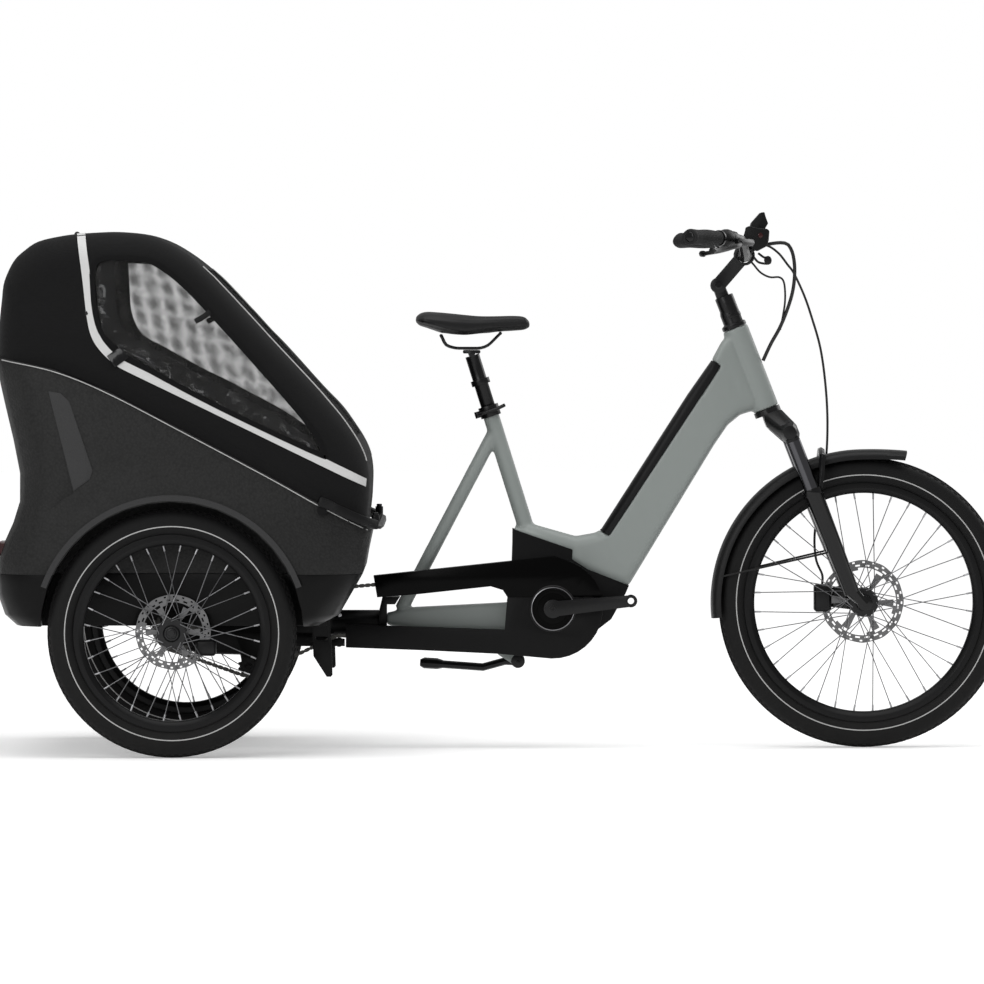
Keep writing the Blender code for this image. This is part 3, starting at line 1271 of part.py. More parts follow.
def stand(paint, joint):
    """The kickstand's leg, folded back along the frame."""
    hinge = Vector((0.0250, 0, 0.1830))
    y = 0.0260 + GAP + 0.0085
    leg = tube(
        [(0.0250, y, 0.1830), (-0.0028, y, 0.1843), (-0.0505, y, 0.1713), (-0.1395, y, 0.1778)], 0.0085, 2
    )
    eye = cylinder((hinge.x, y - 0.0085, hinge.z), (hinge.x, y + 0.0085, hinge.z), 0.0085 * 1.1, segments=16)
    foot = tube(
        [(-0.138, y, 0.1778), (-0.150, y, 0.1788), (-0.178, y, 0.1805), (-0.187, y, 0.1810)], 0.0120, 2,
        [0.75, 1.0, 1.0, 0.6]
    )
    node("kickstand_leg", fused(leg, eye, foot), paint["black_metal"], joint)


def seat_bolt():
    """The middle of the collar's bolt, behind the seat tube."""
    across = Vector((SEAT_UP.z, 0, -SEAT_UP.x))
    return SEAT_TOP + SEAT_UP * 0.002 - across * (SEAT_TUBE_RADIUS + 0.009)


def seat_cam():
    """The axis that the collar's lever turns about, at the bolt's right end."""
    return seat_bolt() + Vector((0, -0.0100 - 2 * GAP - CAM_RADIUS, 0))


def seat(paint, joints):
    """Seat collar and its lever, seatpost, rails and saddle."""
    low = SEAT_TOP - SEAT_UP * 0.004
    collar = turned(
        [(POST_RADIUS + 0.0008, 0.018), (POST_RADIUS + 0.0008, 0.0043),
         (SEAT_TUBE_RADIUS + 0.0008, 0.0043), (SEAT_TUBE_RADIUS + 0.0008, -0.006),
         (SEAT_TUBE_RADIUS + 0.0042, -0.006), (SEAT_TUBE_RADIUS + 0.0042, 0.018)],
        low, SEAT_UP, steps=16, closed=True,
    )
    across = Vector((SEAT_UP.z, 0, -SEAT_UP.x))
    bolt_place = seat_bolt()
    ear = cylinder(
        bolt_place + Vector((0, -0.010, 0)), bolt_place + Vector((0, 0.010, 0)), 0.0065, segments=14
    )
    node("seat_collar", fused(collar, ear), paint["black_metal"], joints["front"])
    cam = seat_cam()
    lever = fused(
        cylinder(cam - SEAT_UP * 0.0070, cam + SEAT_UP * 0.0070, CAM_RADIUS, segments=12),
        tube(
            filleted([cam + Vector((0, -0.0020, 0)), cam + across * 0.014 + Vector((0, -0.0110, 0)),
                      cam + across * 0.042 + Vector(
                          (0, -0.0125, 0)
                      ), cam + across * 0.062 + SEAT_UP * 0.003 + Vector((0, -0.0040, 0))],
                     0.006, 2),
            0.0042, 1),
    )
    node("seat_lever", lever, paint["black_metal"], joints["seat_lever"])
    post_joint = joints["seatpost"]
    foot = SEAT_TOP - SEAT_UP * POST_INSIDE
    sleeve = cylinder(foot, POST_HEAD - SEAT_UP * 0.004, POST_RADIUS, segments=16)
    ring = cylinder(SEAT_TOP + SEAT_UP * 0.062, SEAT_TOP + SEAT_UP * 0.074, POST_RADIUS + 0.0050, segments=16)
    bolt = cylinder(
        POST_HEAD + Vector((0, -0.028, 0)), POST_HEAD + Vector((0, 0.028, 0)), 0.0075, segments=12
    )
    clamp = box(
        POST_HEAD + Vector((-0.019, -0.0265, 0.0005)), POST_HEAD + Vector((0.019, 0.0265, RAIL_SEAT)), 0.002
    )
    node("seatpost", fused(sleeve, ring, bolt, clamp), paint["black_metal"], post_joint)
    rail_z = POST_HEAD.z + RAIL_SEAT + GAP + RAIL_RADIUS
    rails = []
    for side in (-1, 1):
        y = side * 0.022
        route = [
            POST_HEAD + Vector(
                (-0.066, side * 0.036, 0.0400)
            ), POST_HEAD + Vector((-0.056, side * 0.030, 0.0180)),
            Vector((POST_HEAD.x - 0.035, y, rail_z)), Vector((POST_HEAD.x + 0.020, y, rail_z)),
            Vector(
                (POST_HEAD.x + 0.036, y * 0.9, rail_z + 0.006)
            ), POST_HEAD + Vector((0.062, side * 0.010, 0.0440)),
        ]
        rails.append(tube(filleted(route, 0.008, 2), RAIL_RADIUS, 1))
    bridge = tube(
        [POST_HEAD + Vector((0.062, -0.010, 0.0441)), POST_HEAD + Vector((0.062, 0.010, 0.0441))], 0.0040, 1
    )
    rear_bridge = tube(
        [POST_HEAD + Vector((-0.066, -0.036, 0.0390)), POST_HEAD + Vector((-0.066, 0.036, 0.0390))], 0.0040,
        1
    )
    node("saddle_rails", fused(rails[0], rails[1], bridge, rear_bridge), paint["black_metal"], post_joint)
    rings = []
    for forward, top, bottom, half in SADDLE_SECTIONS:
        ring = []
        crown = (top - bottom) * 0.5
        for k in range(14):
            angle = 2 * math.pi * k / 14
            c, s = math.cos(angle), math.sin(angle)
            flatness = 0.75 if s > 0 else 1.0
            y = half * math.copysign(abs(c) ** 0.8, c)
            z = crown * math.copysign(abs(s) ** flatness, s)
            ring.append(POST_HEAD + Vector((forward, y, (top + bottom) / 2 + z)))
        rings.append(ring)
    keep = box(POST_HEAD + Vector((-0.2, -0.2, 0.0435)), POST_HEAD + Vector((0.2, 0.2, 0.2)))
    node("saddle", common(loft(rings), keep), paint["saddle"], post_joint)


def fork(paint, joints):
    """Steerer, crown and stanchions, the sliding lowers, and what the lowers carry."""
    steering, sliding = joints["steering"], joints["fork_lowers"]
    leg_y = STANCHION_SPREAD / 2
    ahead = STANCHION_OFFSET
    seal = -CROWN_DROP - STANCHION_SHOWN
    steerer = cylinder(head(-0.020, 0), head(HEAD_LENGTH - 0.004, 0), STEERER_RADIUS, segments=16)
    race = cylinder(head(-0.012, 0), head(-GAP, 0), HEAD_RADIUS + 0.001, segments=18)
    crown_rows = []
    for y, low, high, deep in ((-leg_y - 0.019, 0.078, 0.050, 0.014),
                               (-leg_y + 0.004, CROWN_DROP, 0.044, 0.0200), (-0.030, 0.046, 0.010, 0.0230),
                               (0.030, 0.046, 0.010, 0.0230), (
                                   leg_y - 0.004, CROWN_DROP, 0.044, 0.0200
                               ), (leg_y + 0.019, 0.078, 0.050, 0.014)):
        middle = -(low + high) / 2
        offset = ahead if abs(y) > 0.04 else ahead * 0.35
        crown_rows.append(
            ring_of(
                head(middle, offset, y), HEAD_AHEAD, HEAD_UP, deep, (low - high) / 2,
                min(0.010, (low - high) / 2 - 0.001, deep - 0.001)
            )
        )
    crown_body = loft(crown_rows)
    legs = [
        cylinder(
            head(-0.060, ahead, s * leg_y), head(seal - STANCHION_INSIDE, ahead, s * leg_y),
            STANCHION_RADIUS, segments=16
        )
        for s in (-1, 1)
    ]
    node("fork_upper", fused(crown_body, steerer, race, *legs), paint["black_metal"], steering)

    axle_along, axle_ahead = -FORK_LENGTH, FORK_OFFSET
    bore_end = seal - STANCHION_INSIDE - 0.004
    lowers = []
    hub_side = FRONT_HUB_LENGTH / 2 + GAP
    for s in (-1, 1):
        y = s * leg_y
        leg = fused(
            cylinder(head(seal, ahead, y), head(seal - 0.014, ahead, y), LOWER_RADIUS + 0.002, segments=16),
            cylinder(
                head(seal - 0.010, ahead, y), head(axle_along + 0.030, ahead, y), LOWER_RADIUS, 0.0170,
                segments=16
            ),
            cylinder(
                head(axle_along + 0.040, ahead - 0.002, y),
                head(axle_along - 0.004, axle_ahead, s * (hub_side + 0.0150)), 0.0150, 0.0115, segments=12
            ),
            cylinder(
                head(axle_along, axle_ahead, s * hub_side),
                head(axle_along, axle_ahead, s * (hub_side + 0.022)), 0.0165, segments=18
            ),
        )
        lowers.append(leg)
    arch_half = [
        (seal - 0.012, ahead + 0.012, 1.0), (-0.1680, 0.0600, 1.0), (-0.1370, 0.0735, 0.80),
        (-0.1270, 0.0775, 0.30)
    ]
    arch_route = [head(a, f, -w * leg_y) for a, f, w in arch_half] + [
        head(a, f, w * leg_y) for a, f, w in reversed(arch_half)
    ]
    arch = tube(smooth_path(arch_route, 0.030), 0.0075, 1)
    bores = [
        bore(
            head(seal + 0.05, ahead, s * leg_y), head(bore_end - FORK_TRAVEL, ahead, s * leg_y),
            STANCHION_RADIUS + GAP
        ) for s in (-1, 1)
    ]
    x, z = FRONT_CALIPER
    tab = prism([(x + 0.019 + GAP, z - 0.020), (x + 0.066, z - 0.026), (x + 0.056, z + 0.030),
                    (x + 0.019 + GAP, z + 0.022)],
                FRONT_ROTOR_Y + 0.0090, FRONT_ROTOR_Y + 0.0180)
    node("fork_lower", cut(fused(lowers[0], lowers[1], arch, tab), *bores), paint["black_metal"], sliding)
    mudguard(paint, sliding)
    front_caliper(paint, sliding)


def front_caliper(paint, joint):
    """A caliper behind the left leg, straddling the front disc."""
    x, z = FRONT_CALIPER
    body = box(
        (x - 0.019, FRONT_ROTOR_Y - 0.0150, z - 0.030), (x + 0.019, FRONT_ROTOR_Y + 0.0220, z + 0.030),
        0.005
    )
    disc = bore(
        FRONT_AXLE + Vector(
            (0, FRONT_ROTOR_Y - 0.0022, 0)
        ), FRONT_AXLE + Vector((0, FRONT_ROTOR_Y + 0.0022, 0)),
        FRONT_ROTOR_RADIUS + 0.001, segments=28,
    )
    node("front_caliper", cut(body, disc), paint["black_metal"], joint)


def mudguard(paint, joint):
    """The front mudguard with its two stays to the fork's legs."""
    radius, half, drop = 0.3300, 0.0370, 0.0120
    profile = [
        (radius - drop, half), (radius - 0.004, half * 0.72), (radius, 0.0), (radius - 0.004, -half * 0.72),
        (radius - drop, -half)
    ]
    blade = turned(profile, FRONT_AXLE, (0, 1, 0), steps=12, sweep=111.0, wall=0.0026, start=-186.0)
    stays = []
    for s in (-1, 1):
        root = FRONT_AXLE + Vector(
            (
                math.cos(math.radians(170)) * (radius - drop), s * (half - 0.004),
                math.sin(math.radians(170)) * (radius - drop)
            )
        )
        leg = head(-0.335, STANCHION_OFFSET - LOWER_RADIUS + 0.0016, s * STANCHION_SPREAD / 2)
        stays.append(tube([root, leg], 0.0022, 1))
    node("front_mudguard", fused(blade, *stays), paint["mudguard"], joint)


def stem(paint, joints):
    """The stem's base on the steerer and its arm, which tilts about a cross bolt."""
    base_low = HEAD_LENGTH + GAP
    top = STEM_PIVOT
    base = turned(
        [
            (0.0, 0.236), (0.0150, 0.236), (0.0180, 0.230), (0.0205, 0.222), (0.0205, base_low + 0.012),
            (0.0270, base_low + 0.008), (0.0270, base_low), (0.0, base_low)
        ],
        HEAD_LOW, HEAD_UP, steps=20,
    )
    neck = loft([
        ring_of(head(along, 0), HEAD_AHEAD, (0, 1, 0), deep, 0.0105, 0.005)
        for along, deep in ((0.230, 0.0150), (top - 0.010, 0.0135))
    ])
    eye = cylinder(head(top, 0, -0.0105), head(top, 0, 0.0105), 0.0165, segments=16)
    node("stem_base", fused(base, neck, eye), paint["black_metal"], joints["steering"])
    pivot_point = head(top, 0)
    clamp = Vector((pivot_point.x + CLAMP_REACH[0], 0, pivot_point.z + CLAMP_REACH[1]))
    along = (clamp - pivot_point).normalized()
    normal = Vector((-along.z, 0, along.x))
    side_y = 0.0105 + GAP
    cheeks = []
    for s in (-1, 1):
        low, high = sorted((s * side_y, s * (side_y + 0.0050)))
        cheeks.append(
            cylinder(
                pivot_point + Vector((0, low, 0)), pivot_point + Vector((0, high, 0)), 0.0170, segments=16
            )
        )
        corners = [
            pivot_point + normal * 0.0150, clamp + normal * 0.0150 - along * 0.018,
            clamp - normal * 0.0150 - along * 0.018, pivot_point - normal * 0.0150
        ]
        cheeks.append(prism([flat(c) for c in corners], low, high))
    bridge = prism([flat(c) for c in (pivot_point + along * 0.030 + normal * 0.0150,
                                      clamp + normal * 0.0150 - along * 0.016,
                                      clamp - normal * 0.0150 - along * 0.016,
                                      pivot_point + along * 0.030 - normal * 0.0150)], -side_y - 0.0044,
                                      side_y + 0.0044)
    barrel = cylinder(clamp + Vector((0, -0.024, 0)), clamp + Vector((0, 0.024, 0)), 0.0225, segments=18)
    hole = bore(clamp + Vector((0, -0.05, 0)), clamp + Vector((0, 0.05, 0)), BAR_RADIUS + GAP)
    arm = cut(fused(bridge, barrel, *cheeks), hole)
    node("stem_arm", arm, paint["black_metal"], joints["stem"])
    return clamp


def bar_point(clamp, y):
    """The centre line of the handlebar's straight ends, which sweep back to the grips."""
    side = -1 if y < 0 else 1
    t = (abs(y) - BAR_RISE[1]) / (BAR_END[1] - BAR_RISE[1])
    return clamp + Vector(
        (
            BAR_RISE[0] + (BAR_END[0] - BAR_RISE[0]) * t, side * abs(y),
            BAR_RISE[2] + (BAR_END[2] - BAR_RISE[2]) * t
        )
    )


def lever_pivot(clamp, side):
    """Where a brake lever turns, at the outer end of its clamp's body."""
    at = bar_point(clamp, side * BRAKE_CLAMP_Y)
    along = (bar_point(clamp, side * BAR_END[1]) - at).normalized()
    ahead = Vector((abs(along.y), -side * along.x, 0)).normalized()
    return at + ahead * 0.0360 + along * 0.0250 + Vector((0, 0, -0.0110))


def handlebar(paint, joints, clamp):
    """Handlebar, grips, twist shifter, brake clamps and levers, and the display."""
    joint = joints["stem"]
    half = [Vector((0.0, 0.062, 0.0)), Vector(BAR_RISE), Vector(BAR_END)]
    corners = [clamp + Vector((p.x, -p.y, p.z)) for p in reversed(half)] + [clamp + p for p in half]
    route = filleted(corners, 0.022, 2)
    radii = [1.0 if abs(p.y) < 0.045 else BAR_END_RADIUS / BAR_RADIUS for p in route]
    node("handlebar", tube(route, BAR_RADIUS, 2, radii), paint["black_metal"], joint)
    bar_bore = (BAR_END_RADIUS + GAP) / math.cos(math.pi / 12)

    def sleeve(near, far, profile, side):
        """A turned sleeve on the bar between two distances from the middle."""
        a, b = bar_point(clamp, side * near), bar_point(clamp, side * far)
        length = (b - a).length
        points = [(bar_bore, length), (bar_bore, 0.0)] + [(r, t * length) for t, r in profile]
        return turned(points, a, b - a, steps=12, closed=True)

    for tag, side in (("right", -1), ("left", 1)):
        start = SHIFTER_Y[1] if side < 0 else SHIFTER_Y[0]
        grip = sleeve(
            start + 0.0008, BAR_END[1],
            ((0.0, 0.0155), (0.10, 0.0170), (0.45, 0.0155), (0.85, 0.0185), (1.0, 0.0160)), side
        )
        node("grip_" + tag, grip, paint["grip"], joint)
    shifter = sleeve(*SHIFTER_Y, ((0.0, 0.0200), (0.5, 0.0195), (1.0, 0.0165)), -1)
    node("twist_shifter", shifter, paint["black_plastic"], joints["twist"])
    for tag, side in (("right", -1), ("left", 1)):
        ring = sleeve(BRAKE_CLAMP_Y - 0.008, BRAKE_CLAMP_Y + 0.008, ((0.0, 0.0165), (1.0, 0.0165)), side)
        at = bar_point(clamp, side * BRAKE_CLAMP_Y)
        along = (bar_point(clamp, side * BAR_END[1]) - at).normalized()
        ahead = Vector((abs(along.y), -side * along.x, 0)).normalized()
        front = at + ahead * 0.0300 + Vector((0, 0, -0.0080))
        body = tube([front - along * 0.034, front + along * 0.022], 0.0085, 1)
        bridge = cylinder(at + ahead * 0.0140 + Vector((0, 0, -0.004)), front, 0.0070, segments=12)
        node("brake_clamp_" + tag, fused(ring, body, bridge), paint["black_metal"], joint)
        hinge = lever_pivot(clamp, side)
        down = Vector((0, 0, -1))
        route = [hinge, hinge + along * 0.018 + ahead * 0.012 + down * 0.004,
                 hinge + along * 0.060 + ahead * 0.008 + down * 0.012,
                 hinge + along * 0.112 + ahead * 0.002 + down * 0.018]
        blade = tube(smooth_path(route, 0.026), 0.0050, 1)
        tip = cylinder(route[-1] - along * 0.003, route[-1] + along * 0.006, 0.0070, segments=12)
        root = cylinder(hinge + down * 0.006, hinge - down * 0.006, 0.0075, segments=12)
        clear = tube([front - along * 0.040, front + along * 0.0223], 0.0088, 1)
        swept = [turned_about(clear, hinge, -side * step * LEVER_TRAVEL / 4) for step in range(5)]
        lever = cut(fused(blade, tip, root), *swept)
        node("brake_lever_" + tag, lever, paint["black_metal"], joints["lever_" + tag])
    top = clamp + Vector((0.004, 0, 0.0225 + GAP))
    screen_corners = (
        (-0.012, 0, 0.0), (0.018, 0, 0.0), (0.040, 0, 0.040), (0.034, 0, 0.064), (0.026, 0, 0.064), (-0.016, 0, 0.038),
    )
    screen = prism([flat(top + Vector(c)) for c in screen_corners],
                   -0.034, 0.034, 0.003)
    node("display", screen, paint["black_plastic"], joint)


def cables(paint, joints, clamp):
    """The bundle from the bar into the head tube and the hose to the front brake."""
    start = clamp + Vector((0.034, -0.040, 0.020))
    entry = head(0.100, HEAD_RADIUS + 0.0029)
    bundle = [
        start, (0.5968, -0.045, 1.0905), (0.6143, -0.045, 1.0756), (0.6216, -0.042, 1.0385),
        (
            0.6191, -0.038, 0.9939
        ), (0.6091, -0.030, 0.9544), (0.5919, -0.018, 0.9097), (0.5720, -0.006, 0.8726), entry,
    ]
    node("cable_bundle", tube(smooth_path(bundle, 0.020), 0.0040, 1), paint["cable"], joints["steering"])
    caliper = Vector((FRONT_CALIPER[0], FRONT_ROTOR_Y + 0.0130, FRONT_CALIPER[1] + 0.030 + GAP))
    hose = [
        clamp + Vector((0.050, 0.050, 0.022)), (0.6113, 0.055, 1.0435), (0.6242, 0.058, 1.0262),
        (0.6464, 0.062, 0.9792), (0.6637, 0.064, 0.9296), (0.6829, 0.068, 0.8621), (0.6941, 0.070, 0.7818),
        (0.6986, 0.074, 0.7020), (0.6960, 0.088, 0.6200), (0.6840, 0.096, 0.5400), (0.6720, 0.092, 0.4600),
        (0.6740, 0.076, 0.4050), caliper + Vector((0, 0.001, 0.020)), caliper,
    ]
    node("front_brake_hose", tube(smooth_path(hose, 0.042), 0.0026, 1), paint["cable"], joints["fork_lowers"])


def make_joints():
    """Empties on the joints' axes, in their order from the rear frame outwards."""
    front = pivot("joint_lean", (LEAN_HOUSING[1], 0, LEAN_Z))
    canopy = pivot("joint_canopy", (-1.0850, 0, 0.8470))
    steering = pivot("joint_steering", HEAD_LOW, front)
    stem_top = head(STEM_PIVOT, 0)
    fork_lowers = pivot("joint_fork", head(-FORK_LENGTH, STANCHION_OFFSET), steering)
    stem_joint = pivot("joint_stem", stem_top, steering)
    clamp = Vector((stem_top.x + CLAMP_REACH[0], 0, stem_top.z + CLAMP_REACH[1]))
    joints = {
        "front": front,
        "canopy": canopy,
        "steering": steering,
        "fork_lowers": fork_lowers,
        "wheel_front": pivot("joint_wheel_front", FRONT_AXLE, fork_lowers),
        "wheel_rear_right": pivot("joint_wheel_rear_right", REAR_AXLE + Vector((0, -TRACK / 2, 0))),
        "wheel_rear_left": pivot("joint_wheel_rear_left", REAR_AXLE + Vector((0, TRACK / 2, 0))),
        "sprocket": pivot("joint_sprocket", REAR_AXLE + Vector((0, CHAIN_Y, 0))),
        "pulley": pivot("joint_pulley", (PULLEY_CENTRE[0], CHAIN_Y, PULLEY_CENTRE[1])),
        "crank": pivot("joint_crank", CRANK, front),
        "stand": pivot("joint_stand", (0.0250, 0, 0.1830), front),
        "seatpost": pivot("joint_seatpost", SEAT_TOP, front),
        "seat_lever": pivot("joint_seat_lever", seat_cam(), front),
        "stem": stem_joint,
        "twist": pivot("joint_twist", bar_point(clamp, -SHIFTER_Y[0]), stem_joint),
    }
    for tag, side in (("right", -1), ("left", 1)):
        joints["lever_" + tag] = pivot("joint_lever_" + tag, lever_pivot(clamp, side), stem_joint)
    return joints


def make_finishes():
    return {
        "frame": finish_of("frame_paint", (0.235, 0.262, 0.248), 0.42),
        "black_steel": finish_of("black_steel", (0.014, 0.014, 0.015), 0.45),
        "black_metal": finish_of("black_metal", (0.012, 0.012, 0.013), 0.35, 0.4),
        "black_plastic": finish_of("black_plastic", (0.015, 0.015, 0.016), 0.5),
        "cover": finish_of("cover_plastic", (0.011, 0.011, 0.012), 0.48),
        "gloss": finish_of("gloss_plastic", (0.002, 0.002, 0.002), 0.12),
        "battery": finish_of("battery_case", (0.010, 0.010, 0.011), 0.4),
        "foam": finish_of("box_foam", (0.026, 0.026, 0.028), 0.72),
        "tub": finish_of("tub_plastic", (0.013, 0.013, 0.014), 0.4),
        "bench": finish_of("bench_board", (0.03, 0.03, 0.032), 0.7),
        "cushion": finish_of("cushion_fabric", (0.035, 0.035, 0.038), 0.9),
        "fabric": finish_of("hood_fabric", (0.013, 0.013, 0.014), 0.85),
        "clear": finish_of("clear_sheet", (0.75, 0.76, 0.76), 0.1, 0.0, 0.3),
        "tyre": finish_of("tyre_rubber", (0.025, 0.025, 0.026), 0.8),
        "rim": finish_of("rim_alloy", (0.015, 0.015, 0.016), 0.4, 0.5),
        "hub": finish_of("hub_alloy", (0.03, 0.03, 0.032), 0.35, 0.8),
        "steel": finish_of("chain_steel", (0.10, 0.10, 0.105), 0.35, 0.9),
        "lamp": finish_of("red_lens", (0.35, 0.01, 0.01), 0.2),
        "saddle": finish_of("saddle_cover", (0.012, 0.012, 0.013), 0.55),
        "grip": finish_of("grip_rubber", (0.012, 0.012, 0.012), 0.75),
        "mudguard": finish_of("mudguard_plastic", (0.010, 0.010, 0.011), 0.4),
        "cable": finish_of("cable_sheath", (0.008, 0.008, 0.008), 0.5),
    }


start_scene()
FINISHES = make_finishes()
JOINTS = make_joints()
wheels(FINISHES, JOINTS)
rear_frame(FINISHES)
chain(FINISHES)
for caliper_tag, caliper_side in (("right", -1), ("left", 1)):
    node("caliper_rear_" + caliper_tag, rear_caliper(caliper_side), FINISHES["black_metal"])
cargo_box(FINISHES, JOINTS)
hood(FINISHES, JOINTS)
main_frame(FINISHES, JOINTS["front"])
motor(FINISHES, JOINTS["front"])
chain_covers(FINISHES, JOINTS["front"])
lean_yoke(FINISHES, JOINTS["front"])
crankset(FINISHES, JOINTS["crank"])
stand(FINISHES, JOINTS["stand"])
seat(FINISHES, JOINTS)
fork(FINISHES, JOINTS)
BAR_CLAMP = stem(FINISHES, JOINTS)
handlebar(FINISHES, JOINTS, BAR_CLAMP)
cables(FINISHES, JOINTS, BAR_CLAMP)
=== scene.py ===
import json
import math

import bmesh
import bpy
from mathutils import Matrix, Vector, noise
from mathutils.bvhtree import BVHTree

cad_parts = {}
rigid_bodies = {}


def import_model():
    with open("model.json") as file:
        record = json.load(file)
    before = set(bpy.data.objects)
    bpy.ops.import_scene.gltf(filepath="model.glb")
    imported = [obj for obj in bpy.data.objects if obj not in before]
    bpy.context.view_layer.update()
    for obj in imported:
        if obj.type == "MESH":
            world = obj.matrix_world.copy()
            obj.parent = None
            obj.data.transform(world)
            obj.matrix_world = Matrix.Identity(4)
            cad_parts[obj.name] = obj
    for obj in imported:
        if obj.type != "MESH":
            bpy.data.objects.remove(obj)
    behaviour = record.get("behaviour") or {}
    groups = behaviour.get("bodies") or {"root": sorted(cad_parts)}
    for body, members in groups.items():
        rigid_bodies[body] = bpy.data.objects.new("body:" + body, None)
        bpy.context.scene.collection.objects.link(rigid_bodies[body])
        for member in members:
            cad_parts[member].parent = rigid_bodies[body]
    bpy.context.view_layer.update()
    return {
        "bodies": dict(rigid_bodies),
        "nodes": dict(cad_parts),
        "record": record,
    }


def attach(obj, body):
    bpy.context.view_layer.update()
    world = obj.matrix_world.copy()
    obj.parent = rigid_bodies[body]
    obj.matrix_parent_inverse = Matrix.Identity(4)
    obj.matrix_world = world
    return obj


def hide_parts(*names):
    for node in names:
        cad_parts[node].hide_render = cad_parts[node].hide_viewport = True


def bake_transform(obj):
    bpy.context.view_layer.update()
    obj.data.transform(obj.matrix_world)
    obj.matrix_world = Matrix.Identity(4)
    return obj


for leftover in list(bpy.data.objects):
    bpy.data.objects.remove(leftover)

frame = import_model()
record = frame["record"]
bodyOfNode = {node: body for body, nodes in record["behaviour"]["bodies"].items() for node in nodes}
print("frame loaded:", len(frame["nodes"]), "nodes")

# selection and modelling helpers

meshOps = bpy.ops.mesh
helperShape = {"weld": 0.00001, "copyWeld": 0.00002, "flatAngle": 0.6, "copyAngle": 32, "perSpan": 16, "sideReach": 0.7}


def pick(*objs):
    if bpy.context.object and bpy.context.object.mode != "OBJECT":
        bpy.ops.object.mode_set(mode="OBJECT")
    bpy.ops.object.select_all(action="DESELECT")
    for obj in objs:
        obj.select_set(True)
    bpy.context.view_layer.objects.active = objs[0]


def added(name, data):
    obj = bpy.data.objects.new(name, data)
    bpy.context.scene.collection.objects.link(obj)
    return obj


def primitive(operator, **values):
    # a primitive is added in object mode, so a body of the frame is picked first
    pick(frame["bodies"]["rear_module"])
    operator(**values)
    return bpy.context.object


def edited(obj, *steps):
    # mesh operators, each with its values, run in edit mode on the whole piece
    pick(obj)
    bpy.ops.object.mode_set(mode="EDIT")
    meshOps.select_all(action="SELECT")
    for operator, values in steps:
        operator(**values)
    bpy.ops.object.mode_set(mode="OBJECT")
    return obj


def applyPlace(obj):
    pick(obj)
    bpy.ops.object.transform_apply(location=True, rotation=True, scale=True)
    return obj


def applyModifier(obj, kind, **values):
    modifier = obj.modifiers.new(kind.lower(), kind)
    for key, value in values.items():
        setattr(modifier, key, value)
    pick(obj)
    bpy.ops.object.modifier_apply(modifier=modifier.name)
    return obj


def softened(obj, width, angle=50, segments=2):
    # a bevel along every edge sharper than the angle
    return applyModifier(
        obj, "BEVEL", width=width, segments=segments, limit_method="ANGLE", angle_limit=math.radians(angle),
    )


def thickened(obj, thickness, offset=0.0):
    return applyModifier(obj, "SOLIDIFY", thickness=thickness, offset=offset)


def joined(*objs):
    pick(*objs)
    bpy.ops.object.join()
    return objs[0]


def cleaned(obj):
    return edited(
        obj, (meshOps.remove_doubles, {"threshold": helperShape["weld"]}),
        (meshOps.normals_make_consistent, {"inside": False}),
    )


def finished(obj, name, material, body, stands=(), angle=35):
    obj.name = name
    obj.data.name = name
    if material is not None:
        obj.data.materials.clear()
        obj.data.materials.append(material)
    pick(obj)
    bpy.ops.object.shade_smooth_by_angle(angle=math.radians(angle))
    if isinstance(body, tuple):
        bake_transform(obj)  # the piece crosses a joint: two bodies, and where the turn starts and ends
    else:
        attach(obj, body)
    if stands:
        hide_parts(*stands)
    return obj


def fromPoints(name, points, faces):
    mesh = bpy.data.meshes.new(name)
    mesh.from_pydata([tuple(point) for point in points], [], faces)
    mesh.update()
    return added(name, mesh)


def gridFaces(rows, width):
    # faces between rows of points that follow each other in one list
    return [
        (k * width + j, k * width + j + 1, (k + 1) * width + j + 1, (k + 1) * width + j)
        for k in range(rows - 1) for j in range(width - 1)
    ]


def turnedPiece(profile, centre, axis, steps):
    # an outline of (radius, place along the axis) spun all the way round
    axis = Vector(axis).normalized()
    out = axis.orthogonal().normalized()
    obj = primitive(meshOps.primitive_circle_add, vertices=len(profile), radius=0.01, fill_type="NOTHING")
    for vert, (radius, along) in zip(obj.data.vertices, profile):
        vert.co = Vector(centre) + out * radius + axis * along
    edited(obj, (meshOps.spin, {"steps": steps, "angle": 2 * math.pi, "center": centre, "axis": axis}))
    return cleaned(obj)


def mirrored(side):
    # a profile of (radius, place) carried on over the middle
    return side + [(radius, -along) for radius, along in reversed(side)]


def lineLength(line):
    return sum((b - a).length for a, b in zip(line, line[1:]))


def evenLine(line, count):
    # the line cut into equal steps
    lengths = [0.0]
    for a, b in zip(line, line[1:]):
        lengths.append(lengths[-1] + (b - a).length)
    spots, place = [], 0
    for k in range(count + 1):
        want = lengths[-1] * k / count
        while place < len(line) - 2 and lengths[place + 1] < want:
            place += 1
        span = lengths[place + 1] - lengths[place]
        spots.append(line[place].lerp(line[place + 1], (want - lengths[place]) / span if span > 0 else 0.0))
    return spots


def drawnPath(points, spacing):
    # a smooth line through the points, in equal steps
    points = [Vector(point) for point in points]
    ends = [points[0] * 2 - points[1], *points, points[-1] * 2 - points[-2]]
    fine = []
    for a, b, c, d in zip(ends, ends[1:], ends[2:], ends[3:]):
        for k in range(helperShape["perSpan"]):
            t = k / helperShape["perSpan"]
            straight = 2 * b + (c - a) * t
            bend, twist = 2 * a - 5 * b + 4 * c - d, 3 * b - a - 3 * c + d
            fine.append(0.5 * (straight + bend * t * t + twist * t**3))
    fine.append(points[-1])
    return evenLine(fine, max(2, round(lineLength(fine) / spacing)))


def drawnSide(outline, spacing):
    # the same for an outline of (x, z)
    return drawnPath([(x, 0, z) for x, z in outline], spacing)


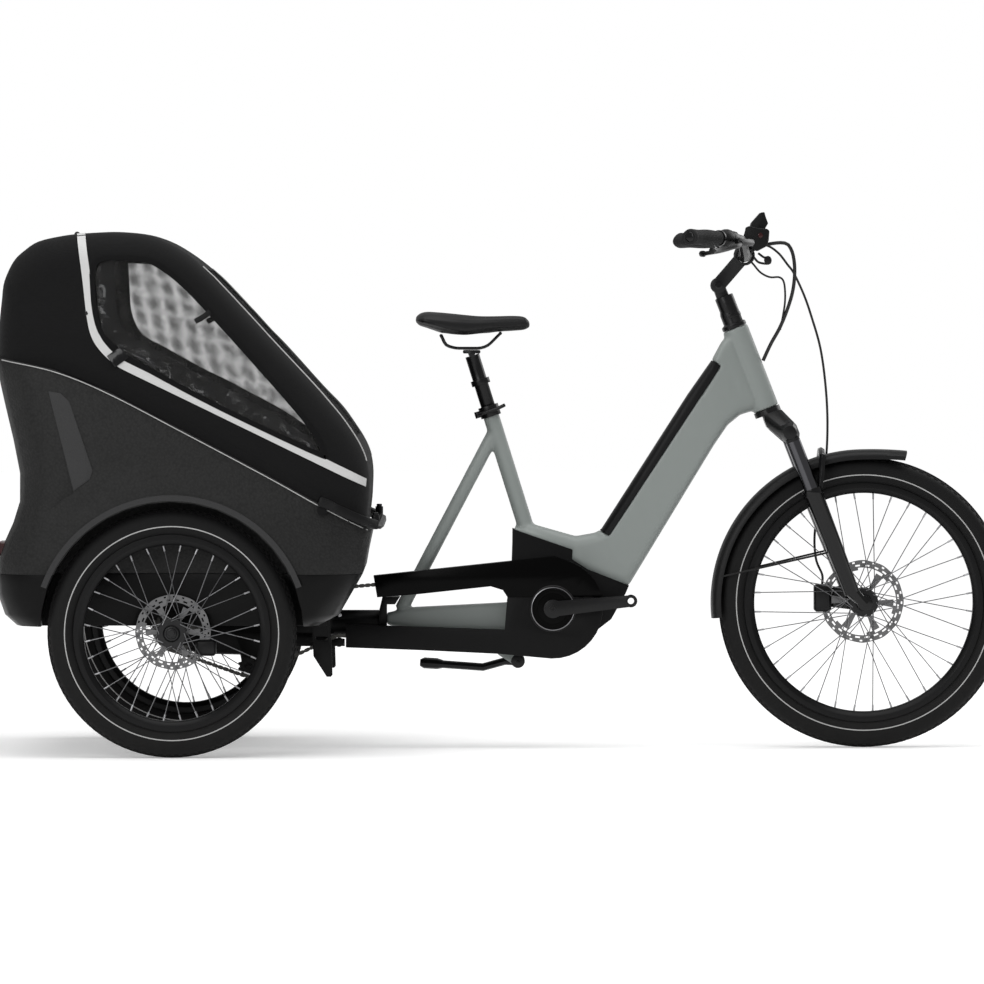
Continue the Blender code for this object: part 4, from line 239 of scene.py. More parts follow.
def tubePiece(points, radius, sides=3, radii=None):
    curve = bpy.data.curves.new("tube", "CURVE")
    curve.dimensions = "3D"
    curve.bevel_depth = radius
    curve.bevel_resolution = sides
    curve.use_fill_caps = True
    spline = curve.splines.new("POLY")
    spline.points.add(len(points) - 1)
    for k, point in enumerate(points):
        spline.points[k].co = (*point, 1.0)
        spline.points[k].radius = radii[k] if radii else 1.0
    pick(added("tube", curve))
    bpy.ops.object.convert(target="MESH")
    return cleaned(bpy.context.object)


def rod(start, end, radius, sides=16, bevel=0.0):
    start, end = Vector(start), Vector(end)
    along = end - start
    obj = primitive(meshOps.primitive_cylinder_add, vertices=sides, radius=radius, depth=along.length)
    obj.matrix_world = Matrix.Translation((start + end) / 2) @ along.to_track_quat("Z", "Y").to_matrix().to_4x4()
    applyPlace(obj)
    return softened(obj, bevel) if bevel else obj


def block(low, high, bevel=0.0):
    low, high = Vector(low), Vector(high)
    obj = primitive(meshOps.primitive_cube_add, size=1, location=(low + high) / 2)
    obj.scale = high - low
    applyPlace(obj)
    if bevel:
        applyModifier(obj, "BEVEL", width=bevel, segments=3, limit_method="NONE")
    return obj


def ribbon(points, normals, width, thick):
    # a flat band that lies along the points, with its back on them
    corners = []
    for k, (point, normal) in enumerate(zip(points, normals)):
        ahead = (points[min(k + 1, len(points) - 1)] - points[max(k - 1, 0)]).normalized()
        side = ahead.cross(normal).normalized() * width / 2
        corners += [point - side, point - side + normal * thick, point + side + normal * thick, point + side]
    faces = [(0, 1, 2, 3), tuple(len(corners) - 4 + k for k in (3, 2, 1, 0))]
    for k in range(0, len(corners) - 4, 4):
        faces += [(k + j, k + 4 + j, k + 4 + (j + 1) % 4, k + (j + 1) % 4) for j in range(4)]
    return cleaned(fromPoints("ribbon", corners, faces))


def band(spots, lift, width, thick):
    # a ribbon laid on spots, each a point and the way it faces
    spots = [(hit + normal * lift, normal) for hit, normal in spots if hit is not None]
    return ribbon(*zip(*spots), width, thick)


def arrayedRound(obj, count, centre):
    # copies the piece evenly round a wheel
    centre = Vector(centre)
    handle = added("turnHandle", None)
    turn = Matrix.Rotation(2 * math.pi / count, 4, "Y")
    handle.matrix_world = Matrix.Translation(centre) @ turn @ Matrix.Translation(-centre)
    bpy.context.view_layer.update()
    applyModifier(
        obj, "ARRAY", fit_type="FIXED_COUNT", count=count, use_relative_offset=False, use_object_offset=True,
        offset_object=handle,
    )
    bpy.data.objects.remove(handle)
    return obj


def refinedCopy(node, bevel):
    # a copy of a frame piece with its corners softened
    obj = edited(
        added(node, frame["nodes"][node].data.copy()),
        (meshOps.remove_doubles, {"threshold": helperShape["copyWeld"]}),
        (meshOps.dissolve_limited, {"angle_limit": math.radians(helperShape["flatAngle"])}),
    )
    return softened(obj, bevel, helperShape["copyAngle"]) if bevel else obj


def surfaceOf(obj):
    return BVHTree.FromPolygons(
        [vert.co.copy() for vert in obj.data.vertices], [tuple(face.vertices) for face in obj.data.polygons],
    )


def sideSpot(surface, x, z, side, least=0.0):
    # where a line from the side meets a surface, and the way it faces there
    start = Vector((x, side * helperShape["sideReach"], z))
    hit, normal, _, _ = surface.ray_cast(start, Vector((0, -side, 0)))
    if hit is None or hit.y * side < least:
        return None, None
    return hit, (normal if normal.y * side > 0 else -normal)


# node groups that several finishes share

def feed(tree, node, values):
    # an input takes a value, or a link from the output given for it
    for label, value in values.items():
        if isinstance(value, bpy.types.NodeSocket):
            tree.links.new(value, node.inputs[label])
        else:
            node.inputs[label].default_value = value
    return node


def addNode(tree, kind, values=None, **settings):
    made = tree.nodes.new("ShaderNode" + kind)
    for key, value in settings.items():
        setattr(made, key, value)
    return feed(tree, made, values or {})


def sums(tree, operation, *values, clamp=False):
    made = addNode(tree, "Math", dict(enumerate(values)), operation=operation, use_clamp=clamp)
    return made.outputs[0]


def objectSpot(tree):
    return addNode(tree, "TexCoord").outputs["Object"]


def apartOf(tree, place):
    return addNode(tree, "SeparateXYZ", {0: place}).outputs


def drifts(tree, place, scale, detail, roughness=0.5):
    made = addNode(tree, "TexNoise", {"Vector": place, "Scale": scale, "Detail": detail, "Roughness": roughness})
    return made.outputs["Fac"]


def scaled(tree, source, amount):
    return addNode(tree, "VectorMath", {0: source, "Scale": amount}, operation="SCALE").outputs[0]


def bumped(tree, height, distance):
    return addNode(tree, "Bump", {"Height": height, "Distance": distance}).outputs["Normal"]


def newGroup(name, inputs, outputs):
    group = bpy.data.node_groups.new(name, "ShaderNodeTree")
    for label, value in inputs.items():
        kind = "NodeSocketColor" if isinstance(value, tuple) else "NodeSocketFloat"
        group.interface.new_socket(name=label, in_out="INPUT", socket_type=kind).default_value = value
    kinds = {"Color": "NodeSocketColor", "Normal": "NodeSocketVector"}
    for label in outputs:
        group.interface.new_socket(
            name=label, in_out="OUTPUT", socket_type=kinds.get(label, "NodeSocketFloat"),
        )
    return group, group.nodes.new("NodeGroupInput").outputs, group.nodes.new("NodeGroupOutput")


def buildGrain():
    # fine moulded or painted grain with slow drifts of tone
    group, ins, out = newGroup(
        "surfaceGrain",
        {"Color": (0.2, 0.2, 0.2, 1), "Tone Drift": 0.1, "Grain Size": 400.0, "Grain Depth": 0.0002, "Roughness": 0.5,
         "Roughness Drift": 0.1},
        ("Color", "Roughness", "Normal"),
    )
    place = objectSpot(group)
    slow, fine = drifts(group, place, 7.0, 4.0), drifts(group, place, ins["Grain Size"], 3.0)
    tone = sums(group, "MULTIPLY_ADD", sums(group, "SUBTRACT", slow, 0.5), ins["Tone Drift"], 1.0)
    rough = sums(group, "MULTIPLY_ADD", sums(group, "SUBTRACT", fine, 0.5), ins["Roughness Drift"], ins["Roughness"])
    normal = bumped(group, fine, ins["Grain Depth"])
    feed(group, out, {"Color": scaled(group, ins["Color"], tone), "Roughness": rough, "Normal": normal})
    return group


def buildWeave():
    # over and under threads, read on all three axes so that any panel shows two of them
    group, ins, out = newGroup(
        "clothWeave",
        {"Color": (0.2, 0.2, 0.2, 1), "Thread Tone": 0.3, "Threads Per Metre": 900.0, "Thread Depth": 0.0002,
         "Fold Tone": 0.15},
        ("Color", "Normal"),
    )
    place = objectSpot(group)
    apart = apartOf(group, scaled(group, place, ins["Threads Per Metre"]))
    x, y, z = (sums(group, "SINE", apart[axis]) for axis in ("X", "Y", "Z"))
    threads = sums(group, "MULTIPLY", x, z)
    for first, second in ((y, z), (x, y)):
        threads = sums(group, "MULTIPLY_ADD", first, second, threads)
    folds = sums(group, "SUBTRACT", drifts(group, place, 9.0, 3.0), 0.5)
    foldTone = sums(group, "MULTIPLY", folds, ins["Fold Tone"])
    tone = sums(group, "ADD", sums(group, "MULTIPLY_ADD", threads, ins["Thread Tone"], foldTone), 1.0)
    normal = bumped(group, threads, ins["Thread Depth"])
    feed(group, out, {"Color": scaled(group, ins["Color"], tone), "Normal": normal})
    return group


def buildBeads():
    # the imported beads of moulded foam
    group, ins, out = newGroup(
        "foamBeads",
        {"Color": (0.03, 0.03, 0.03, 1), "Bead Tone": 0.2, "Beads Per Metre": 240.0, "Bead Depth": 0.0004,
         "Roughness": 0.6, "Scuff": 0.1},
        ("Color", "Roughness", "Normal"),
    )
    place = objectSpot(group)
    cells = addNode(
        group, "TexVoronoi", {"Smoothness": 0.35, "Vector": place, "Scale": ins["Beads Per Metre"]},
        feature="SMOOTH_F1",
    ).outputs["Distance"]
    skin = drifts(group, place, 38.0, 6.0, 0.65)
    skinCentred = sums(group, "SUBTRACT", skin, 0.5)
    mottle = sums(group, "SUBTRACT", skinCentred, sums(group, "SUBTRACT", cells, 0.5))
    tone = sums(group, "MULTIPLY_ADD", mottle, ins["Bead Tone"], 1.0)
    rough = sums(group, "MULTIPLY_ADD", skinCentred, ins["Scuff"], ins["Roughness"])
    relief = sums(group, "MULTIPLY_ADD", cells, -0.6, skin)
    normal = bumped(group, relief, ins["Bead Depth"])
    feed(group, out, {"Color": scaled(group, ins["Color"], tone), "Roughness": rough, "Normal": normal})
    return group


def buildDust():
    # road dust that gathers low down
    group, ins, out = newGroup(
        "roadDust",
        {"Color": (0.1, 0.1, 0.1, 1), "Dust Color": (0.3, 0.28, 0.25, 1), "Amount": 0.1, "Top Height": 0.35},
        ("Color",),
    )
    place = objectSpot(group)
    height = addNode(group, "MapRange", {
        "Value": apartOf(group, place)["Z"], "From Min": 0.0, "From Max": ins["Top Height"],
        "To Min": 1.0, "To Max": 0.0,
    }).outputs[0]
    mask = sums(group, "MULTIPLY", height, drifts(group, place, 60.0, 8.0))
    amount = sums(group, "MULTIPLY", mask, ins["Amount"], clamp=True)
    mix = addNode(group, "Mix", {"Factor": amount, 6: ins["Color"], 7: ins["Dust Color"]}, data_type="RGBA")
    feed(group, out, {"Color": mix.outputs[2]})
    return group


surfaceGrain = buildGrain()
clothWeave = buildWeave()
foamBeads = buildBeads()
roadDust = buildDust()
print("finish groups built")


# finishes

def startFinish(name, roughness=0.5, metallic=0.0, coat=0.0, coatRoughness=0.2, sheen=0.0, specular=0.5):
    material = bpy.data.materials.new(name)
    material.use_nodes = True
    tree = material.node_tree
    shader = feed(tree, tree.nodes["Principled BSDF"], {
        "Roughness": roughness, "Metallic": metallic, "Coat Weight": coat, "Coat Roughness": coatRoughness,
        "Sheen Weight": sheen, "Specular IOR Level": specular,
    })
    return material, tree, shader


def feedFrom(tree, shader, group, *labels):
    feed(tree, shader, {label: group.outputs[label] for label in labels})


def grained(name, color, toneDrift=0.08, grainSize=500.0, grainDepth=0.0001, roughness=0.5, roughnessDrift=0.1,
            metallic=0.0, coat=0.0, coatRoughness=0.2, dust=0.0, dustTop=0.4, specular=0.5):
    material, tree, shader = startFinish(name, roughness, metallic, coat, coatRoughness, 0.0, specular)
    grain = addNode(tree, "Group", node_tree=surfaceGrain, values={
        "Color": (*color, 1), "Tone Drift": toneDrift, "Grain Size": grainSize, "Grain Depth": grainDepth,
        "Roughness": roughness, "Roughness Drift": roughnessDrift,
    })
    source = grain.outputs["Color"]
    if dust:
        dusting = {"Color": source, "Amount": dust, "Top Height": dustTop}
        source = addNode(tree, "Group", dusting, node_tree=roadDust).outputs["Color"]
    feed(tree, shader, {"Base Color": source})
    feedFrom(tree, shader, grain, "Roughness", "Normal")
    return material


def woven(name, color, threadTone=0.12, threads=2600.0, threadDepth=0.0001, foldTone=0.25, roughness=0.85, sheen=0.2,
          specular=0.4):
    material, tree, shader = startFinish(name, roughness, sheen=sheen, specular=specular)
    weave = addNode(tree, "Group", node_tree=clothWeave, values={
        "Color": (*color, 1), "Thread Tone": threadTone, "Threads Per Metre": threads, "Thread Depth": threadDepth,
        "Fold Tone": foldTone,
    })
    feed(tree, shader, {"Sheen Roughness": 0.5, "Base Color": weave.outputs["Color"]})
    feedFrom(tree, shader, weave, "Normal")
    return material


def foamed(name, color, beadTone=0.25, beads=260.0, beadDepth=0.0006, roughness=0.62, scuff=0.25):
    material, tree, shader = startFinish(name, roughness, specular=0.22)
    foam = addNode(tree, "Group", node_tree=foamBeads, values={
        "Color": (*color, 1), "Bead Tone": beadTone, "Beads Per Metre": beads, "Bead Depth": beadDepth,
        "Roughness": roughness, "Scuff": scuff,
    })
    feed(tree, shader, {"Base Color": foam.outputs["Color"]})
    feedFrom(tree, shader, foam, "Roughness", "Normal")
    return material


def clearFilm(name, tint, alpha, roughness):
    # clear sheet, a little smeared and rippled
    material, tree, shader = startFinish(name, roughness)
    ripple = drifts(tree, objectSpot(tree), 5.0, 2.0)
    smear = sums(tree, "MULTIPLY_ADD", ripple, 0.06, alpha - 0.03)
    feed(tree, shader, {"Base Color": (*tint, 1), "Normal": bumped(tree, ripple, 0.004), "Alpha": smear})
    return material


def netted(name, color, low, span):
    # fine net: two nets one behind the other show as leaning columns of soft blobs
    material, tree, shader = startFinish(name, 0.75, specular=0.15)
    place = objectSpot(tree)
    apart = apartOf(tree, place)
    drift = drifts(tree, place, 24.0, 3.0)
    waves = []
    for perX, perZ, wander in ((180.0, 34.0, 4.5), (30.0, 165.0, 8.0)):
        lean = sums(tree, "MULTIPLY_ADD", apart["Z"], perZ, sums(tree, "MULTIPLY", apart["X"], perX))
        wave = sums(tree, "SINE", sums(tree, "MULTIPLY_ADD", drift, wander, lean))
        waves.append(sums(tree, "MULTIPLY_ADD", wave, 0.5, 0.5))
    softer = sums(tree, "MULTIPLY_ADD", waves[1], 0.65, 0.35)
    blobs = sums(tree, "MULTIPLY_ADD", waves[0], softer, 0.0)
    patchy = sums(tree, "MULTIPLY_ADD", drifts(tree, place, 90.0, 2.0), 0.55, blobs)
    alpha = sums(tree, "MULTIPLY_ADD", patchy, span, low, clamp=True)
    feed(tree, shader, {"Base Color": (*color, 1), "Alpha": alpha})
    return material


framePaint = grained("framePaint", (0.234, 0.257, 0.246), 0.03, 900.0, 0.00002, 0.45, 0.06, coat=0.12,
                     coatRoughness=0.4, specular=0.35)
blackSteel = grained("blackSteel", (0.003, 0.003, 0.0032), 0.1, 700.0, 0.00005, 0.4, 0.12, dust=0.02, specular=0.12)
blackAlloy = grained("blackAlloy", (0.0042, 0.0042, 0.0045), 0.1, 1200.0, 0.00002, 0.3, 0.1, specular=0.24)
glossAlloy = grained("glossAlloy", (0.0018, 0.0018, 0.002), 0.05, 900.0, 0.00001, 0.14, 0.05, coat=0.2,
                     coatRoughness=0.08, specular=0.2)
blackPlastic = grained("blackPlastic", (0.0045, 0.0045, 0.0047), 0.1, 900.0, 0.00008, 0.45, 0.14, specular=0.16)
coverPlastic = grained("coverPlastic", (0.004, 0.004, 0.0042), 0.08, 800.0, 0.00005, 0.46, 0.1, dust=0.01,
                       specular=0.11)
glossPlastic = grained("glossPlastic", (0.0006, 0.0006, 0.0006), 0.05, 500.0, 0.00001, 0.24, 0.05, specular=0.06)
batteryCase = grained("batteryCase", (0.004, 0.004, 0.0042), 0.06, 900.0, 0.00004, 0.42, 0.08, specular=0.15)
boxFoam = foamed("boxFoam", (0.0108, 0.0108, 0.0106), beadTone=0.9, beads=190.0, beadDepth=0.0012, roughness=0.6,
                 scuff=0.45)
panelFoam = foamed("panelFoam", (0.033, 0.033, 0.0335), beads=420.0, beadDepth=0.0004, roughness=0.66)
tubPlastic = grained("tubPlastic", (0.003, 0.003, 0.0031), 0.12, 500.0, 0.00012, 0.36, 0.12, dust=0.02, specular=0.1)
benchBoard = grained("benchBoard", (0.022, 0.022, 0.023), 0.1, 500.0, 0.0001, 0.6, 0.1, specular=0.3)
hoodCloth = woven("hoodCloth", (0.0044, 0.0044, 0.0046), sheen=0.03, specular=0.16)
bindCloth = woven("bindCloth", (0.0034, 0.0034, 0.0036), sheen=0.02, specular=0.14)
cushionCloth = woven("cushionCloth", (0.03, 0.031, 0.033), 0.2, 1800.0, 0.00015, 0.2, 0.9, 0.2)
stripeTape = woven("stripeTape", (0.56, 0.56, 0.555), 0.05, 3200.0, 0.00005, 0.06, 0.55, 0.0)
pipingTape = woven("pipingTape", (0.4, 0.4, 0.395), 0.05, 3200.0, 0.00005, 0.06, 0.5, 0.0)
strapWeb = woven("strapWeb", (0.01, 0.01, 0.0105), 0.3, 3000.0, 0.0002, 0.1, 0.8, 0.1, specular=0.3)
rollVinyl = grained("rollVinyl", (0.002, 0.002, 0.0026), 0.2, 42.0, 0.0016, 0.16, 0.1, coat=0.34, coatRoughness=0.05,
                    specular=0.16)
windowFilm = clearFilm("windowFilm", (0.12, 0.12, 0.12), 0.035, 0.06)
windowNet = netted("windowNet", (0.01, 0.01, 0.009), 0.2, 0.42)
silverRing = grained("silverRing", (0.3, 0.3, 0.31), 0.05, 900.0, 0.00001, 0.3, 0.06, metallic=1.0)
tyreRubber = grained("tyreRubber", (0.0066, 0.0066, 0.0068), 0.15, 420.0, 0.00018, 0.66, 0.15, dust=0.02, dustTop=0.6,
                     specular=0.14)
treadRubber = grained("treadRubber", (0.008, 0.008, 0.0082), 0.2, 350.0, 0.00025, 0.76, 0.12, dust=0.03, dustTop=0.65,
                      specular=0.12)
tyreReflex = grained("tyreReflex", (0.42, 0.42, 0.415), 0.05, 600.0, 0.00003, 0.5, 0.05)
rimAlloy = grained("rimAlloy", (0.0028, 0.0028, 0.003), 0.08, 900.0, 0.00003, 0.3, 0.1, specular=0.18)
hubAlloy = grained("hubAlloy", (0.009, 0.009, 0.0095), 0.08, 900.0, 0.00003, 0.32, 0.1, metallic=0.3, specular=0.4)
spokeSteel = grained("spokeSteel", (0.16, 0.16, 0.165), 0.05, 900.0, 0.00001, 0.28, 0.06, metallic=1.0)
rotorSteel = grained("rotorSteel", (0.17, 0.17, 0.172), 0.1, 1500.0, 0.00003, 0.34, 0.12, metallic=1.0)
chainSteel = grained("chainSteel", (0.06, 0.059, 0.056), 0.15, 900.0, 0.00004, 0.34, 0.15, metallic=1.0)
boltSteel = grained("boltSteel", (0.35, 0.35, 0.36), 0.06, 900.0, 0.00003, 0.3, 0.1, metallic=1.0)
darkChrome = grained("darkChrome", (0.075, 0.075, 0.08), 0.04, 900.0, 0.00001, 0.08, 0.03, metallic=1.0)
redLens = grained("redLens", (0.03, 0.0015, 0.0015), 0.05, 500.0, 0.00002, 0.15, 0.04, coat=0.3, coatRoughness=0.06,
                  specular=0.2)
saddleCover = grained("saddleCover", (0.0052, 0.0052, 0.0055), 0.12, 700.0, 0.00018, 0.48, 0.12, specular=0.26)
gripRubber = grained("gripRubber", (0.006, 0.006, 0.0062), 0.1, 1300.0, 0.00025, 0.72, 0.12, specular=0.3)
guardPlastic = grained("guardPlastic", (0.0072, 0.0072, 0.0075), 0.08, 700.0, 0.00006, 0.42, 0.12, dust=0.02,
                       dustTop=0.7, specular=0.18)
cableSheath = grained("cableSheath", (0.0045, 0.0045, 0.0045), 0.06, 900.0, 0.00004, 0.42, 0.08, specular=0.35)
print("finishes built:", len(bpy.data.materials))


# wheels

rearWheel = {"tyreRadius": 0.263, "beadRadius": 0.203, "spokes": 32, "rotorRadius": 0.08, "treadUnits": 94}
wheelSet = {
    "front": {"centre": (0.773, 0.0, 0.3135), "tyreRadius": 0.3135, "beadRadius": 0.2535, "spokes": 36,
              "hubEnds": (-0.05, 0.05), "rotorY": 0.042, "rotorRadius": 0.09, "treadUnits": 112},
    "rear_right": {"centre": (-0.708, -0.395, 0.263), "hubEnds": (-0.042, 0.0697), "rotorY": 0.047, **rearWheel},
    "rear_left": {"centre": (-0.708, 0.395, 0.263), "hubEnds": (-0.0697, 0.042), "rotorY": -0.047, **rearWheel},
}
wheelShape = {
    "lineIn": 0.0385, "lineWidth": 0.0022, "lineSide": 0.028, "steps": 144, "rimDepth": 0.017,
    "flangeY": (-0.028, 0.028),
    "spokeRoot": 0.0275, "spokeCross": 2.6, "spokeRadius": 0.00105, "nippleRadius": 0.002,
    # a spoke's place beside its flange and at the rim, then how far it and its nipple run past or short of them
    "spokeBeside": 0.0026, "rimBeside": 0.003, "spokeEnds": (-0.003, -0.006), "nippleEnds": (-0.013, 0.0015),
}
# tread knobs: place across the tyre, share of a pitch round it, width, share of a pitch long
treadRows = [
    (-0.0045, 0.0, 0.008, 0.6), (0.0045, 0.5, 0.008, 0.6), (-0.0135, 0.45, 0.0068, 0.62), (0.0135, 0.05, 0.0068, 0.62),
    (-0.0208, 0.05, 0.0056, 0.55), (0.0208, 0.55, 0.0056, 0.55),
]
treadShape = {"drop": 0.0262, "half": 0.03, "power": 2.6, "low": -0.0012, "high": 0.0024, "taper": 0.86}


def fitted(wheel, obj, name, material, part, angle=35, stands=False):
    # a piece finished on its wheel, where it may stand for the tyre, rim or hub of the frame
    node = part + "_" + wheel["place"]
    tag = wheel["place"].title().replace("_", "")
    finished(obj, name + tag, material, "wheel_" + wheel["place"], (node,) if stands else (), angle)


def buildTyre(wheel):
    centre, outer, bead = Vector(wheel["centre"]), wheel["tyreRadius"], wheel["beadRadius"]
    lip, carcass = bead + 0.006, outer - 0.0024
    depth = carcass - lip
    lineLow = outer - wheelShape["lineIn"]
    lineHigh = lineLow + wheelShape["lineWidth"]
    side = [(bead + 0.0003, 0.0144), (lip, 0.0144), (lip, 0.0182), (lip + 0.08 * depth, 0.024),
            (lip + 0.2 * depth, 0.0276), (lineLow, 0.02925), (lineHigh, 0.0294), (lip + 0.56 * depth, 0.0296),
            (lip + 0.7 * depth, 0.0282), (lip + 0.81 * depth, 0.0252), (lip + 0.9 * depth, 0.02),
            (lip + 0.97 * depth, 0.012), (carcass, 0.004)]
    tyre = turnedPiece(mirrored(side), centre, (0, 1, 0), wheelShape["steps"])
    tyre.data.materials.append(tyreRubber)
    tyre.data.materials.append(tyreReflex)
    for face in tyre.data.polygons:
        out = face.center - centre
        inLine = lineLow < math.hypot(out.x, out.z) < lineHigh
        face.material_index = 1 if inLine and abs(out.y) > wheelShape["lineSide"] else 0
    fitted(wheel, tyre, "tyreBody", None, "tyre", 50, True)
    # one pitch of tread knobs, then copied round
    knobs = []
    unit = 2 * math.pi / wheel["treadUnits"]
    half, power = treadShape["half"], treadShape["power"]
    for along, shift, width, share in treadRows:
        t = abs(along) / half
        drop = treadShape["drop"] * t**power
        lean = math.atan(power * treadShape["drop"] * t ** (power - 1) / half) * (1 if along > 0 else -1)
        reach = share * unit * outer / 2
        knob = block((-reach, -width / 2, treadShape["low"]), (reach, width / 2, treadShape["high"]))
        for vert in knob.data.vertices:
            if vert.co.z > 0:
                vert.co.x *= treadShape["taper"]
                vert.co.y *= treadShape["taper"]
        turn = Matrix.Translation(centre) @ Matrix.Rotation(shift * unit, 4, "Y")
        stand = turn @ Matrix.Translation((0, along, carcass - drop))
        knob.matrix_world = stand @ Matrix.Rotation(-lean, 4, "X")
        knobs.append(applyPlace(knob))
    tread = arrayedRound(joined(*knobs), wheel["treadUnits"], centre)
    fitted(wheel, tread, "treadKnobs", treadRubber, "tyre")


def buildRim(wheel):
    bead = wheel["beadRadius"]
    half, flange = 0.017, bead + 0.0055
    side = [(bead, 0.0122), (bead + 0.0008, 0.0145), (flange - 0.0006, 0.0148), (flange, 0.0156),
            (flange - 0.0005, 0.0168), (flange - 0.002, half), (bead - 0.006, half), (bead - 0.013, 0.0128),
            (bead - wheelShape["rimDepth"], 0.0085)]
    rim = turnedPiece(mirrored(side), Vector(wheel["centre"]), (0, 1, 0), wheelShape["steps"])
    fitted(wheel, rim, "rimHoop", rimAlloy, "rim", 30, True)


def buildSpokes(wheel):
    # four crossed spokes, with their nipples, copied round the wheel
    centre, count = Vector(wheel["centre"]), wheel["spokes"]
    root, reach = wheelShape["spokeRoot"], wheel["beadRadius"] - wheelShape["rimDepth"]
    crossing = math.radians(360.0 / (count // 2) * wheelShape["spokeCross"])
    spokes, nipples = [], []
    for i, (side, turn) in enumerate(((-1, -1), (1, -1), (-1, 1), (1, 1))):
        tip = 2 * math.pi * (i + 0.5) / count
        start = tip + turn * crossing
        face = wheelShape["flangeY"][side > 0]
        beside = face - turn * wheelShape["spokeBeside"]
        rootPoint = centre + Vector((root * math.cos(start), beside, root * math.sin(start)))
        tipPoint = centre + Vector((reach * math.cos(tip), side * wheelShape["rimBeside"], reach * math.sin(tip)))
        ahead = (tipPoint - rootPoint).normalized()
        a, b = wheelShape["spokeEnds"]
        spokes.append(rod(rootPoint + ahead * a, tipPoint + ahead * b, wheelShape["spokeRadius"], 6))
        a, b = wheelShape["nippleEnds"]
        nipples.append(rod(tipPoint + ahead * a, tipPoint + ahead * b, wheelShape["nippleRadius"], 8))
    spokes, nipples = (arrayedRound(joined(*parts), count // 4, centre) for parts in (spokes, nipples))
    fitted(wheel, spokes, "spokes", spokeSteel, "hub", 60, True)
    fitted(wheel, nipples, "spokeNipples", boltSteel, "hub", 50)


def buildHub(wheel):
    low, high = wheel["hubEnds"]
    a, b = wheelShape["flangeY"]
    # radii with their places in from the end of the axle, then out from the middle of the flange
    end = [(0.0, 0.0), (0.007, 0.0), (0.0078, 0.001), (0.0078, 0.006), (0.0105, 0.0065), (0.012, 0.009),
           (0.015, 0.0095)]
    flange = [(0.0165, 0.006), (0.0185, 0.0022), (0.03, 0.0018), (0.031, 0.001), (0.031, -0.001), (0.03, -0.0018),
              (0.02, -0.0025), (0.0165, -0.01), (0.015, -0.016)]
    profile = [(radius, high - place) for radius, place in end] + [(radius, b + place) for radius, place in flange]
    profile += [(radius, a - place) for radius, place in reversed(flange)]
    profile += [(radius, low + place) for radius, place in reversed(end)]
    hub = turnedPiece(profile, Vector(wheel["centre"]), (0, 1, 0), 40)
    fitted(wheel, hub, "hubShell", hubAlloy, "hub", 28)


rotorShape = {
    "wall": 0.0019, "steps": 96, "armLean": 620.0, "armEvery": 60.0, "armWide": 15.0, "wave": 0.012, "waves": 12,
    "boltRing": 0.0215, "boltRadius": 0.003, "bolts": 6, "boltTurn": 10, "boltEnds": (0.0025, 0.0048),
    # radii out to the arms, depths in from the edge, and the carrier's profile of (radius, place)
    "inside": (0.019, 0.0255, 0.032), "depths": (0.022, 0.0165, 0.0135, 0.01, 0.0065, 0.003),
    "carrier": [(0.0165, -0.003), (0.0245, -0.003), (0.0262, -0.0014), (0.0262, 0.0014), (0.0245, 0.003),
                (0.0165, 0.003)],
}


def buildRotor(wheel):
    # a polar sheet whose slots and gaps are faces taken out, then thickened
    centre, radius = Vector(wheel["centre"]), wheel["rotorRadius"]
    y = centre.y + wheel["rotorY"]
    middle = (centre.x, y, centre.z)
    levels = [*rotorShape["inside"], *[radius - depth for depth in rotorShape["depths"]], radius]
    steps, every = rotorShape["steps"], rotorShape["armEvery"]
    rotor = primitive(
        meshOps.primitive_circle_add, vertices=steps, radius=levels[0], fill_type="NOTHING",
        rotation=(math.pi / 2, 0, 0),
        location=middle,
    )
    growth = []
    for inner, outer in zip(levels, levels[1:]):
        share = outer / inner
        growth.append((meshOps.extrude_region_move, {}))
        growth.append((bpy.ops.transform.resize, {"value": (share, 1.0, share), "center_override": middle}))
    applyPlace(edited(rotor, *growth))
    shape = bmesh.new()
    shape.from_mesh(rotor.data)
    taken = []
    for face in shape.faces:
        out = face.calc_center_median() - centre
        far = math.hypot(out.x, out.z)
        turn = math.degrees(math.atan2(out.z, out.x)) % 360.0
        slot = int(turn / (360.0 / steps)) % 4
        if levels[2] < far < levels[4]:
            # six leaning arms between the carrier and the braking band
            gone = (turn + (far - levels[2]) * rotorShape["armLean"]) % every > rotorShape["armWide"]
        elif levels[1] < far < levels[2]:
            gone = (turn + 7.0) % every > every / 2
        else:
            gone = levels[5] < far < levels[6] and slot in (1, 2) or levels[7] < far < levels[8] and slot == 3
        if gone:
            taken.append(face)
    bmesh.ops.delete(shape, geom=taken, context="FACES")
    for vert in shape.verts:
        out = vert.co - centre
        if math.hypot(out.x, out.z) > levels[-1] - 0.0002:
            turn = math.radians(rotorShape["waves"] * math.degrees(math.atan2(out.z, out.x)))
            wave = 1.0 - rotorShape["wave"] * (0.5 - 0.5 * math.cos(turn))
            vert.co.x, vert.co.z = centre.x + out.x * wave, centre.z + out.z * wave
    shape.to_mesh(rotor.data)
    shape.free()
    thickened(rotor, rotorShape["wall"])
    fitted(wheel, cleaned(rotor), "brakeRotor", rotorSteel, "hub", 30)
    parts = [turnedPiece(rotorShape["carrier"], middle, (0, 1, 0), 36)]
    outward = Vector((0, 1 if wheel["rotorY"] > 0 else -1, 0))
    reach, count, (near, far) = (rotorShape[key] for key in ("boltRing", "bolts", "boltEnds"))
    for k in range(count):
        turn = math.radians(360 // count * k + rotorShape["boltTurn"])
        spot = Vector((centre.x + reach * math.cos(turn), y, centre.z + reach * math.sin(turn)))
        parts.append(rod(spot + outward * near, spot + outward * far, rotorShape["boltRadius"], 12, 0.0004))
    fitted(wheel, joined(*parts), "rotorCarrier", blackAlloy, "hub", 30)


